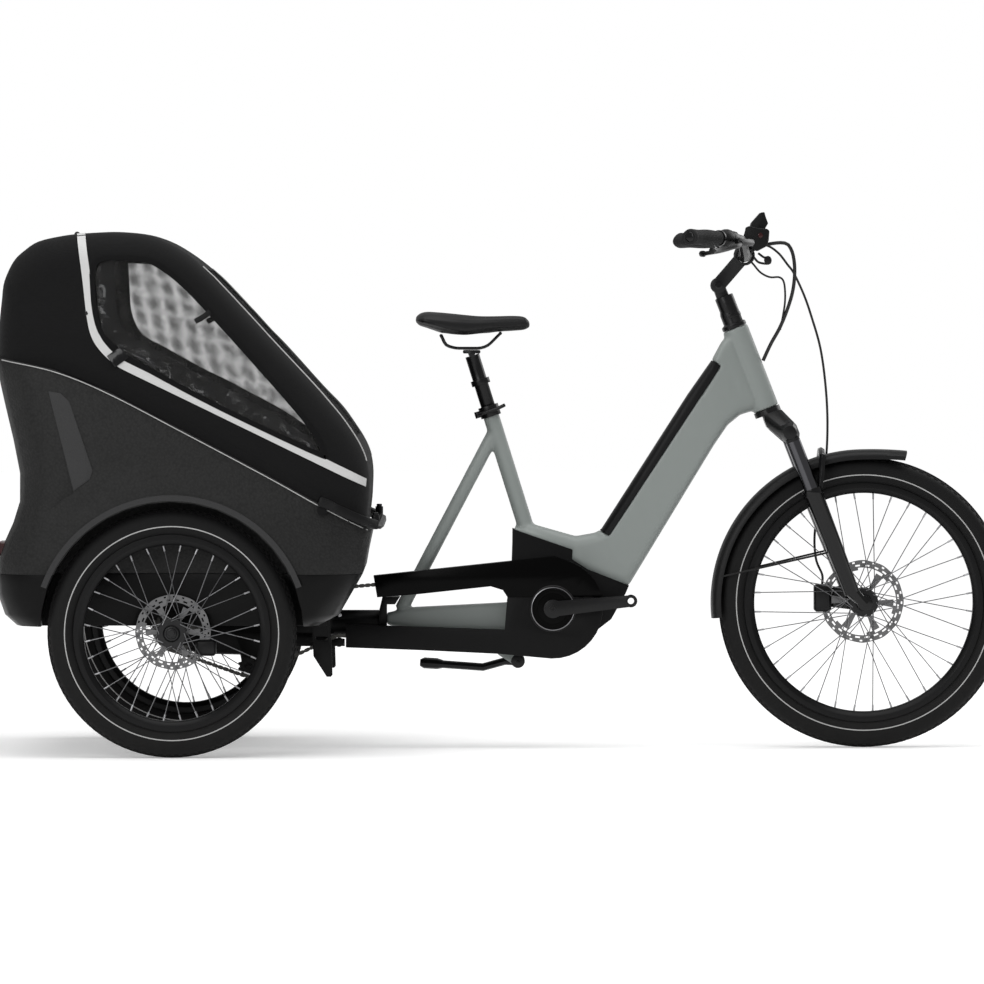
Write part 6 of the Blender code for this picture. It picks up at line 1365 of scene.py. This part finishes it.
def buildChain():
    line = chainLoop()
    count = 2 * round(lineLength(line) / chainShape["pitch"] / 2)
    loop = evenLine(line, count)
    kinds = [linkMesh(*chainShape["outerLink"]), linkMesh(*chainShape["innerLink"])]
    copies = []
    across = Vector((0, 1, 0))
    for k, (start, end) in enumerate(zip(loop, loop[1:])):
        ahead = (end - start).normalized()
        place = Matrix((ahead, across, ahead.cross(across))).transposed().to_4x4()
        place.translation = start + across * chainShape["y"]
        copies.append(added("link", kinds[k % 2].data.copy()))
        copies[-1].data.transform(place)
    for kind in kinds:
        bpy.data.objects.remove(kind)
    twist = ("rear_module", "rider_frame", *chainShape["twist"])
    finished(joined(*copies), "chainLinks", chainSteel, twist, ("chain",), 40)


buildChain()
print("chain linked")


# grips with a palm rest towards their ends

gripShape = {
    "clamp": (0.51433, 0.0, 1.06391), "rise": (-0.01, 0.15, 0.033), "end": (-0.128, 0.33, 0.036),
    "starts": {-1: 0.2268, 1: 0.2008}, "stop": 0.33, "ribs": 17, "radius": 0.015, "core": 0.012,
    "ribbed": (0.012, 0.01), "palm": (0.0016, 1.25), "flare": 0.0012,
    # the palm rest: how far it stands out, from which share of the grip, over which share, and which way
    "wing": 0.005, "wingFrom": 0.35, "wingOver": 0.45, "wingWay": (-1, 0, -0.15),
    # one rib: its rise, and its place as a share of the ribs' pitch
    "rib": [(0.0, 0.0), (0.0004, 0.18), (0.0004, 0.62), (0.0, 0.8)],
    # profiles of (radius, place): from the start, and back from the far end
    "collar": [(0.0113, 0.0), (0.015, 0.0), (0.0158, 0.0008), (0.016, 0.004), (0.0152, 0.005), (0.015, 0.008)],
    "tip": [(0.0166, 0.0085), (0.017, 0.0065), (0.017, 0.0022), (0.0162, 0.0006), (0.0148, 0.0), (0.0113, 0.0)],
    "plug": [(0.0, 0.0012), (0.008, 0.0012), (0.0098, 0.0007), (0.0104, 0.0), (0.0104, -0.006), (0.0, -0.006)],
    "ring": [(0.0151, 0.0006), (0.0168, 0.0006), (0.0171, 0.0012), (0.0171, 0.0066), (0.0168, 0.0072),
             (0.0151, 0.0072)],
}


def barSpot(y, side):
    clamp, rise, end = (Vector(gripShape[key]) for key in ("clamp", "rise", "end"))
    t = (y - rise.y) / (end.y - rise.y)
    spot = clamp + rise.lerp(end, t)
    spot.y = side * y
    return spot


def buildGrips():
    for tag, side in (("Right", -1), ("Left", 1)):
        start, stop = barSpot(gripShape["starts"][side], side), barSpot(gripShape["stop"], side)
        along = (stop - start).normalized()
        length = (stop - start).length
        first, last = gripShape["ribbed"][0], length - gripShape["ribbed"][1]
        step = (last - first) / gripShape["ribs"]
        profile, (palmHigh, palmTurn) = list(gripShape["collar"]), gripShape["palm"]
        for k in range(gripShape["ribs"]):
            place = first + (last - first) * k / gripShape["ribs"]
            palm = math.sin(math.pi * (place - first) / (last - first) * palmTurn) ** 2
            swell = gripShape["radius"] + palmHigh * palm + gripShape["flare"] * (place / length) ** 3
            profile += [(swell + rise, place + share * step) for rise, share in gripShape["rib"]]
        profile += [(radius, length - back) for radius, back in gripShape["tip"]]
        grip = turnedPiece(profile, start, along, 40)
        away = Vector(gripShape["wingWay"])
        back = (away - along * away.dot(along)).normalized()
        for vert in grip.data.vertices:
            out = vert.co - start
            far = out.dot(along)
            across = out - along * far
            if across.length > gripShape["core"]:
                rest = max(0.0, across.normalized().dot(back)) ** 2
                reach = (far - gripShape["wingFrom"] * length) / (gripShape["wingOver"] * length)
                reach = max(0.0, min(1.0, reach))
                vert.co += back * gripShape["wing"] * rest * reach * reach * (3 - 2 * reach)
        finished(grip, "handGrip" + tag, gripRubber, "bar", ("grip_" + tag.lower(),), 28)
        ends = joined(turnedPiece(gripShape["plug"], stop, along, 32), turnedPiece(gripShape["ring"], start, along, 40))
        finished(ends, "gripEnds" + tag, glossAlloy, "bar")


buildGrips()
print("grips built")


# inside of the hood: hoop, nets, rolls and straps

liningShape = {
    "lower": ([(-0.86, 0.885), (-0.8281, 0.858), (-0.7994, 0.836), (-0.7, 0.779), (-0.6193, 0.739), (-0.5, 0.683),
               (-0.4042, 0.637), (-0.385, 0.633)],
              [(-0.835, 0.92), (-0.8, 0.892), (-0.76, 0.87), (-0.675, 0.823), (-0.596, 0.783), (-0.485, 0.722),
               (-0.403, 0.664), (-0.385, 0.648)]),
    "rear": ([(-0.883, 1.05), (-0.883, 1.0), (-0.878, 0.94), (-0.864, 0.895), (-0.845, 0.87)],
             [(-0.833, 1.06), (-0.83, 1.0), (-0.827, 0.95), (-0.815, 0.913), (-0.795, 0.885)]),
    "rows": 8, "thick": 0.002, "hoop": (-0.905, 1.088), "hoopHeights": (0.82, 0.87, 0.92, 0.96), "hoopHalf": 0.25,
    "hoopSteps": 14, "hoopLean": 0.1, "hoopIn": 0.0095, "hoopRadius": 0.0065, "rollIn": 0.019, "rollRadius": 0.0155,
    # the lining's depth inside the hood, how far it puffs out, and its least puff and the share of it at the edges
    "depth": 0.012, "puff": 0.0085, "leastPuff": -0.3, "edgeShare": 0.35,
    # how far bands stand off the hood, their width and thickness
    "tieBand": (0.0016, 0.03, 0.0024), "clipBand": (0.0006, 0.012, 0.003), "bandStep": 0.004,
    "roll": [(-0.822, 0.868), (-0.785, 0.85), (-0.745, 0.833), (-0.715, 0.822)],
    "tie": [(-0.837, 0.835), (-0.8225, 0.8455), (-0.808, 0.856)],
    "clip": [(-0.6285, 0.9405), (-0.644, 0.929), (-0.66, 0.92)],
}


def gathered(low, high, side):
    # vinyl lining bunched up between two lines on the inside of the hood
    rows, puff, edgeShare = (liningShape[key] for key in ("rows", "puff", "edgeShare"))
    lowPath = drawnSide(low, 0.006)
    highPath = evenLine(drawnSide(high, 0.006), len(lowPath) - 1)
    points = []
    for a, b in zip(lowPath, highPath):
        for j in range(rows + 1):
            spot = a.lerp(b, j / rows)
            hit, normal = sideSpot(hoodSurface, spot.x, spot.z, side)
            swell = 0.5 + noise.noise(Vector((spot.x * 30, side * 2.0, spot.z * 24)))
            swell += 0.45 * noise.noise(Vector((spot.x * 75, side, spot.z * 90)))
            crest = math.sin(math.pi * min(1.0, max(0.0, j / rows)))
            share = edgeShare + (1 - edgeShare) * crest
            points.append(hit - normal * (liningShape["depth"] - puff * max(liningShape["leastPuff"], swell) * share))
    lining = cleaned(fromPoints("lining", points, gridFaces(len(lowPath), rows + 1)))
    return thickened(lining, liningShape["thick"])


def inwardPath(spots, depth, spacing):
    return drawnPath([hit - normal * depth for hit, normal in spots], spacing)


def buildHoodInside():
    x, z = liningShape["hoop"]
    heights = [Vector((x + (z - h) * liningShape["hoopLean"], 0, h)) for h in liningShape["hoopHeights"]]
    half, steps = liningShape["hoopHalf"], liningShape["hoopSteps"]
    over = [roofSpot(x, -half + 2 * half * k / steps, z) for k in range(steps + 1)]
    spots = hoodSpots(heights, -1) + over + hoodSpots(heights[::-1], 1)
    hoop = inwardPath(spots, liningShape["hoopIn"], 0.015)
    onHood(tubePiece(hoop, liningShape["hoopRadius"]), "hoodHoops", blackAlloy)
    rolls, straps, clips = [], [], []
    for side in (-1, 1):
        rolls += [gathered(low, high, side) for low, high in (liningShape["lower"], liningShape["rear"])]
        rolled = [Vector((x, 0, z)) for x, z in liningShape["roll"]]
        path = inwardPath(hoodSpots(rolled, side), liningShape["rollIn"], 0.008)
        swells = [0.8 + 0.2 * math.sin(math.pi * (k + 1) / (len(path) + 1)) for k in range(len(path))]
        rolls.append(tubePiece(path, liningShape["rollRadius"], 4, swells))
        # tie strap over the stripe, and the clip at the window's upper edge
        for made, key in ((straps, "tie"), (clips, "clip")):
            spots = hoodSpots(drawnSide(liningShape[key], liningShape["bandStep"]), side)
            made.append(band(spots, *liningShape[key + "Band"]))
    onHood(joined(*rolls), "windowRolls", rollVinyl)
    onHood(softened(joined(*straps), 0.0007), "flapTies", rollVinyl, 50)
    onHood(softened(joined(*clips), 0.0008), "windowClips", blackPlastic, 50)


def buildNets():
    for tag, kind in (("Right", 1), ("Left", 2)):
        net = added("net", netMeshes[kind])
        shifts = [vert.normal * -hoodShape["netIn"] for vert in net.data.vertices]
        for vert, shift in zip(net.data.vertices, shifts):
            vert.co += shift
        onHood(net, "windowNet" + tag, windowNet, 80)


buildHoodInside()
buildNets()
print("hood furnished")


# trim on the box, and small fastenings

boxSurface = surfaceOf(frame["nodes"]["cargo_shell"])


def clingPanel(outline, side, spacing, thick, lift=0.0002):
    # a flat outline cut into a grid and laid on the box's side
    shape = bmesh.new()
    shape.faces.new([shape.verts.new((x, 0, z)) for x, z in outline])
    for k, axis in ((0, Vector((1, 0, 0))), (1, Vector((0, 0, 1)))):
        low, high = min(p[k] for p in outline), max(p[k] for p in outline)
        count = max(1, round((high - low) / spacing))
        for j in range(1, count):
            everything = shape.verts[:] + shape.edges[:] + shape.faces[:]
            cut = axis * (low + (high - low) * j / count)
            bmesh.ops.bisect_plane(shape, geom=everything, plane_co=cut, plane_no=axis)
    for vert in shape.verts:
        vert.co = sideSpot(boxSurface, vert.co.x, vert.co.z, side)[0] + Vector((0, side * lift, 0))
    facedOut(shape, lambda face: face.normal.y * side)
    mesh = bpy.data.meshes.new("panel")
    shape.to_mesh(mesh)
    shape.free()
    return softened(thickened(added("panel", mesh), thick, 1.0), thick * 0.45)


boxTrim = {
    "pillar": [(-0.9672, 0.7735), (-0.9419, 0.769), (-0.923, 0.7512), (-0.8735, 0.607), (-0.879, 0.589),
               (-0.9131, 0.5638)],
    # inner and outer radius, and the degrees between which the band runs
    "arch": (0.28, 0.292, 20.0, 160.0), "archCentre": (-0.708, 0.4434, 0.263),
    "armRoute": [(-0.397, 0.448, 0.5425), (-0.375, 0.448, 0.534), (-0.35, 0.448, 0.5205), (-0.3065, 0.4263, 0.501),
                 (-0.279, 0.378, 0.491)],
    "arm": (0.02, 0.014), "rimPiping": 0.0011,
}


def onBox(obj, name, material, angle=40):
    finished(obj, name, material, "rear_module", angle=angle)


def archBand(side):
    inner, outer, startTurn, endTurn = boxTrim["arch"]
    x, y, z = boxTrim["archCentre"]
    ring = []
    for k in range(61):
        turn = math.radians(startTurn + (endTurn - startTurn) * k / 60)
        for radius in (inner, outer):
            ring.append(Vector((x + radius * math.cos(turn), side * y, z + radius * math.sin(turn))))
    faces = [(2 * k, 2 * k + 1, 2 * k + 3, 2 * k + 2)[::side] for k in range(60)]
    return cleaned(thickened(fromPoints("arch", ring, faces), 0.0012))


def latchArm(side):
    route = drawnPath([(x, side * y, z) for x, y, z in boxTrim["armRoute"]], 0.006)
    sides = [Vector((0, side, 0))] * 2
    for before, after in zip(route[1:], route[3:] + route[-1:]):
        sides.append((after - before).cross(Vector((0, 0, 1))).normalized())
    sides = [n if n.y * side > 0 else -n for n in sides]
    return ribbon([p - n * 0.005 for p, n in zip(route, sides)], sides, *boxTrim["arm"])


def rimPipe(side):
    rim = [(x, z) for x, z in hoodShape["rim"] if -1.08 < x < -0.28]
    spots = [sideSpot(boxSurface, p.x, p.z - 0.0045, side, 0.2) for p in drawnSide(rim, 0.012)]
    return tubePiece([hit + normal * 0.0006 for hit, normal in spots if hit is not None], boxTrim["rimPiping"], 2)


def buildBoxTrim():
    parts = [(clingPanel(boxTrim["pillar"], side, 0.02, 0.0016), archBand(side), latchArm(side), rimPipe(side))
             for side in (-1, 1)]
    pillars, arches, arms, piping = (joined(*pair) for pair in zip(*parts))
    onBox(pillars, "pillarPads", panelFoam)
    onBox(arches, "archBands", panelFoam)
    onBox(softened(arms, 0.003), "latchArms", blackPlastic)
    onBox(piping, "rimPiping", pipingTape, angle=60)


buildBoxTrim()


def hexBolt(place, out, radius, high):
    # a round head with a six-sided socket sunk into it
    place, out = Vector(place), Vector(out).normalized()
    head = rod(place, place + out * high, radius, 24)
    pick(head)
    bpy.ops.object.mode_set(mode="EDIT")
    bpy.ops.mesh.select_all(action="DESELECT")
    shape = bmesh.from_edit_mesh(head.data)
    top = max(shape.faces, key=lambda face: face.calc_center_median().dot(out))
    top.select_set(True)
    bmesh.update_edit_mesh(head.data)
    bpy.ops.mesh.inset(thickness=radius * 0.22)
    bpy.ops.transform.translate(value=out * high * 0.12)
    bpy.ops.mesh.inset(thickness=radius * 0.3)
    bpy.ops.mesh.inset(thickness=radius * 0.02)
    bpy.ops.transform.translate(value=-out * high * 0.7)
    bpy.ops.object.mode_set(mode="OBJECT")
    return head


# body, slot, finish, and each bolt's place, way out, radius and height
fastenings = {
    "crankBolts": ("cranks", "black_metal", blackAlloy, [
        ((0.1, side * 0.0962, 0.302), (0, side, 0), 0.009, 0.003) for side in (-1, 1)]),
    "stemBolts": ("bar", "black_metal", glossAlloy, [
        ((0.45833, side * 0.0262, 0.99891), (0, side, 0), 0.0085, 0.003) for side in (-1, 1)]),
    "spineBolts": ("rear_module", "black_steel", boltSteel, [
        ((x, y, z), (0, -1, 0), 0.0042, 0.003) for x, y, z in ((-0.405, -0.0345, 0.2835), (-0.36, -0.0303, 0.287))]),
    "latchBolts": ("rear_module", "black_steel", blackAlloy, [
        ((-0.279, side * 0.378, 0.5121), (0, 0, 1), 0.006, 0.005) for side in (-1, 1)]),
}
# finish, body, slot, smoothing angle, centre and profile of the rings behind the right crank; one of them is a
# near-black disc that paints the shade inside the case's recess
turnedTrim = {
    "caseRing": (blackAlloy, "rider_frame", "cover_plastic", 40, (0.1, -0.0786, 0.302), [
        (0.0478, -0.001), (0.05, -0.001), (0.0508, -0.0002), (0.05, 0.0008), (0.0478, 0.0008)]),
    # painted shade: a near-black disc with a few ridges, standing in for the shade in the recess of the case round the
    # crank
    "crankRecessShade": (glossPlastic, "cranks", "black_metal", 30, (0.1, 0, 0.302), [
        (0.0205, -0.0796), (0.033, -0.079), (0.0335, -0.08), (0.0395, -0.08), (0.04, -0.079), (0.0448, -0.079),
        (0.0448, -0.0786), (0.0205, -0.0786)]),
    "crankRing": (silverRing, "cranks", "black_metal", 40, (0.1, 0, 0.302), [
        (0.045, -0.0786), (0.045, -0.0797), (0.0456, -0.0801), (0.0466, -0.0797), (0.0469, -0.0786)]),
}
guardShape = {
    "section": ((0.3095, 0.0374), (0.318, 0.0374), (0.3264, 0.0272), (0.3303, 0.0), (0.3264, -0.0272), (0.318, -0.0374),
                (0.3095, -0.0374)),
    "from": 74.0, "to": 186.0, "lift": 0.01, "liftFrom": 92.0, "steps": 72, "wall": 0.0016,
    "stay": ((0.4598, 0.0345, 0.3687), (0.6908, 0.065, 0.4222), 0.0022),
}


def buildGuard():
    # front mudguard: one smooth blade that lifts at its front tip, and two stays
    start, steps, section = guardShape["from"], guardShape["steps"], guardShape["section"]
    x, _, z = wheelSet["front"]["centre"]
    points = []
    for k in range(steps + 1):
        degrees = start + (guardShape["to"] - start) * k / steps
        tipShare = max(0.0, (guardShape["liftFrom"] - degrees) / (guardShape["liftFrom"] - start))
        rise = guardShape["lift"] * tipShare**2
        turn = math.radians(degrees)
        points += [Vector((x + (r + rise) * math.cos(turn), y, z + (r + rise) * math.sin(turn))) for r, y in section]
    blade = cleaned(fromPoints("blade", points, gridFaces(steps + 1, len(section))))
    thickened(blade, guardShape["wall"])
    (x0, y0, z0), (x1, y1, z1), radius = guardShape["stay"]
    stays = [rod((x0, side * y0, z0), (x1, side * y1, z1), radius) for side in (-1, 1)]
    node = "front_mudguard"
    finished(joined(blade, *stays), node + "Fine", guardPlastic, "fork_lowers", (node,), 50)


buildGuard()

cockpitShape = {
    "display": ([(0.527, 1.1255), (0.5292, 1.1341), (0.5487, 1.156), (0.5569, 1.157), (0.5595, 1.1471),
                 (0.5649, 1.1324), (0.5595, 1.1233), (0.554, 1.109), (0.54, 1.088), (0.531, 1.098)], -0.034, 0.034,
                 0.0018),
    "pod": ([(0.514, 1.1157), (0.5151, 1.1233), (0.5227, 1.1266), (0.54, 1.1222), (0.5616, 1.1201), (0.5659, 1.1157),
             (0.5644, 1.0952), (0.5595, 1.0822), (0.54, 1.072), (0.527, 1.076), (0.5097, 1.1017)], -0.078, -0.046,
             0.0024),
    "loop": [(0.542, -0.06, 1.068), (0.5557, -0.06, 1.0585), (0.565, -0.06, 1.06), (0.569, -0.06, 1.053),
             (0.565, -0.06, 1.0455), (0.544, -0.06, 1.048), (0.533, -0.06, 1.059)],
    # rods: ends, radius, sides, bevel
    "button": ((0.5465, -0.0795, 1.106), (0.5465, -0.0775, 1.106), 0.0055, 32, 0.001),
    "clamp": ((0.4935, 0, 0.915), (0.47, 0, 0.9753), 0.0203, 40, 0.0022),
    "clampBand": ((0.488, 0, 0.9291), (0.4849, 0, 0.9371), 0.0212, 40, 0.0006),
    "loopEnd": ((0.5628, -0.064, 1.053), (0.5628, -0.056, 1.053), 0.008, 32, 0.0012),
}


def slabOf(outline, near, far, bevel):
    # a flat outline given a width
    count = len(outline)
    points = [Vector((x, y, z)) for y in (near, far) for x, z in outline]
    faces = [tuple(range(count)), tuple(range(2 * count - 1, count - 1, -1))]
    faces += [(k, k + count, (k + 1) % count + count, (k + 1) % count) for k in range(count)]
    return softened(cleaned(fromPoints("slab", points, faces)), bevel, 20, 3)


def buildCockpit():
    case = joined(slabOf(*cockpitShape["display"]), slabOf(*cockpitShape["pod"]))
    finished(case, "displayCase", blackPlastic, "bar", ("display",))
    finished(rod(*cockpitShape["button"]), "podButton", redLens, "bar")
    clamp = joined(rod(*cockpitShape["clamp"]), rod(*cockpitShape["clampBand"]))
    finished(clamp, "stemClamp", blackAlloy, "steerer")
    loop = joined(tubePiece(drawnPath(cockpitShape["loop"], 0.004), 0.0026), rod(*cockpitShape["loopEnd"]))
    finished(loop, "bellLoop", blackAlloy, "bar", angle=50)


buildCockpit()


def buildFastenings():
    for name, (body, slotName, material, places) in fastenings.items():
        finished(joined(*[hexBolt(*place) for place in places]), name, material, body)
    for name, (material, body, slotName, angle, centre, profile) in turnedTrim.items():
        finished(turnedPiece(profile, centre, (0, 1, 0), 72), name, material, body, angle=angle)
    # cheek and pin of the kickstand on the frame's lug
    cheeks = [rod((0.025, y - 0.0012, 0.187), (0.025, y + 0.0012, 0.187), 0.015, 28, 0.0006) for y in (-0.0275, 0.0215)]
    cheeks.append(rod((0.025, -0.031, 0.183), (0.025, -0.028, 0.183), 0.0065, 20, 0.0006))
    finished(joined(*cheeks), "kickstandCheeks", blackAlloy, "rider_frame")
    # polished sleeves of the fork's legs
    sleeve = [(0.01595, 0.0), (0.01615, 0.0), (0.01615, 0.11), (0.01595, 0.11)]
    up = Vector((-0.36325, 0, 0.93169))
    sleeves = [turnedPiece(sleeve, Vector((0.65738, side * 0.065, 0.55994)), up, 40) for side in (-1, 1)]
    finished(joined(*sleeves), "legSleeves", darkChrome, "steerer", angle=40)


buildFastenings()
print("trim and fastenings placed")


# floor, light and camera

stageShape = {
    "floor": 60.0, "floorColor": (0.9, 0.9, 0.9), "worldLight": 0.46,
    "nearGlow": 0.26, "farGlow": 0.62, "nearReach": 1.6, "farReach": 5.5,
}
cameraShape = {"place": (-0.1013, -15.9, 0.905), "target": (-0.031, 0.0, 0.552), "lens": 268.9}
white = (1, 1, 1, 1)


def whitened(name, color):
    # plain and pale; seen directly or in a reflection it glows a little, up to white, more where the lamps reach less
    material, tree, shader = startFinish(name, 0.9, specular=0.0)
    rays = addNode(tree, "LightPath").outputs
    seen = sums(tree, "MAXIMUM", rays["Is Camera Ray"], rays["Is Glossy Ray"])
    through = sums(tree, "MAXIMUM", seen, rays["Is Transmission Ray"])
    far = addNode(tree, "VectorMath", {0: objectSpot(tree)}, operation="LENGTH").outputs["Value"]
    glow = addNode(tree, "MapRange", interpolation_type="SMOOTHSTEP", values={
        "Value": far, "From Min": stageShape["nearReach"], "From Max": stageShape["farReach"],
        "To Min": stageShape["nearGlow"], "To Max": stageShape["farGlow"],
    }).outputs[0]
    amount = sums(tree, "MULTIPLY", through, glow)
    feed(tree, shader, {"Base Color": (*color, 1), "Emission Color": white, "Emission Strength": amount})
    return material


def buildStage():
    floor = primitive(meshOps.primitive_plane_add, size=stageShape["floor"], location=(0, 0, -0.0005))
    floor.name = "floor"
    applyPlace(floor)
    floor.data.materials.append(whitened("floorPale", stageShape["floorColor"]))
    world = bpy.data.worlds.new("studio")
    bpy.context.scene.world = world
    world.use_nodes = True
    tree = world.node_tree
    tree.nodes.clear()
    lit, seen = (addNode(tree, "Background", {"Color": white, "Strength": strength}).outputs[0]
                 for strength in (stageShape["worldLight"], 1.0))
    direct = addNode(tree, "LightPath").outputs["Is Camera Ray"]
    mix = addNode(tree, "MixShader", {"Fac": direct, 1: lit, 2: seen})
    addNode(tree, "OutputWorld", {"Surface": mix.outputs[0]})


def aimed(obj, place, target):
    obj.location = place
    obj.rotation_euler = (Vector(target) - Vector(place)).to_track_quat("-Z", "Y").to_euler()


def addSoftbox(name, place, target, size, power):
    light = bpy.data.lights.new(name, "AREA")
    light.shape = "RECTANGLE"
    light.size, light.size_y = size
    light.energy = power
    aimed(added(name, light), place, target)


def buildCamera():
    camera = added("camera", bpy.data.cameras.new("camera"))
    aimed(camera, cameraShape["place"], cameraShape["target"])
    camera.data.lens = cameraShape["lens"]
    camera.data.sensor_width = 36.0
    camera.data.clip_end = 100.0
    bpy.context.scene.camera = camera
    bpy.context.scene.view_settings.view_transform = "Standard"


buildStage()
addSoftbox("topBox", (0.0, -0.6, 4.2), (0.0, 0.0, 0.4), (5.0, 3.0), 112)
addSoftbox("frontBox", (-2.6, -4.6, 2.6), (-0.1, 0.0, 0.6), (3.0, 2.4), 86)
addSoftbox("rearBox", (3.4, 2.6, 2.8), (0.0, 0.0, 0.6), (2.4, 2.4), 50)
buildCamera()
print("stage and camera set")
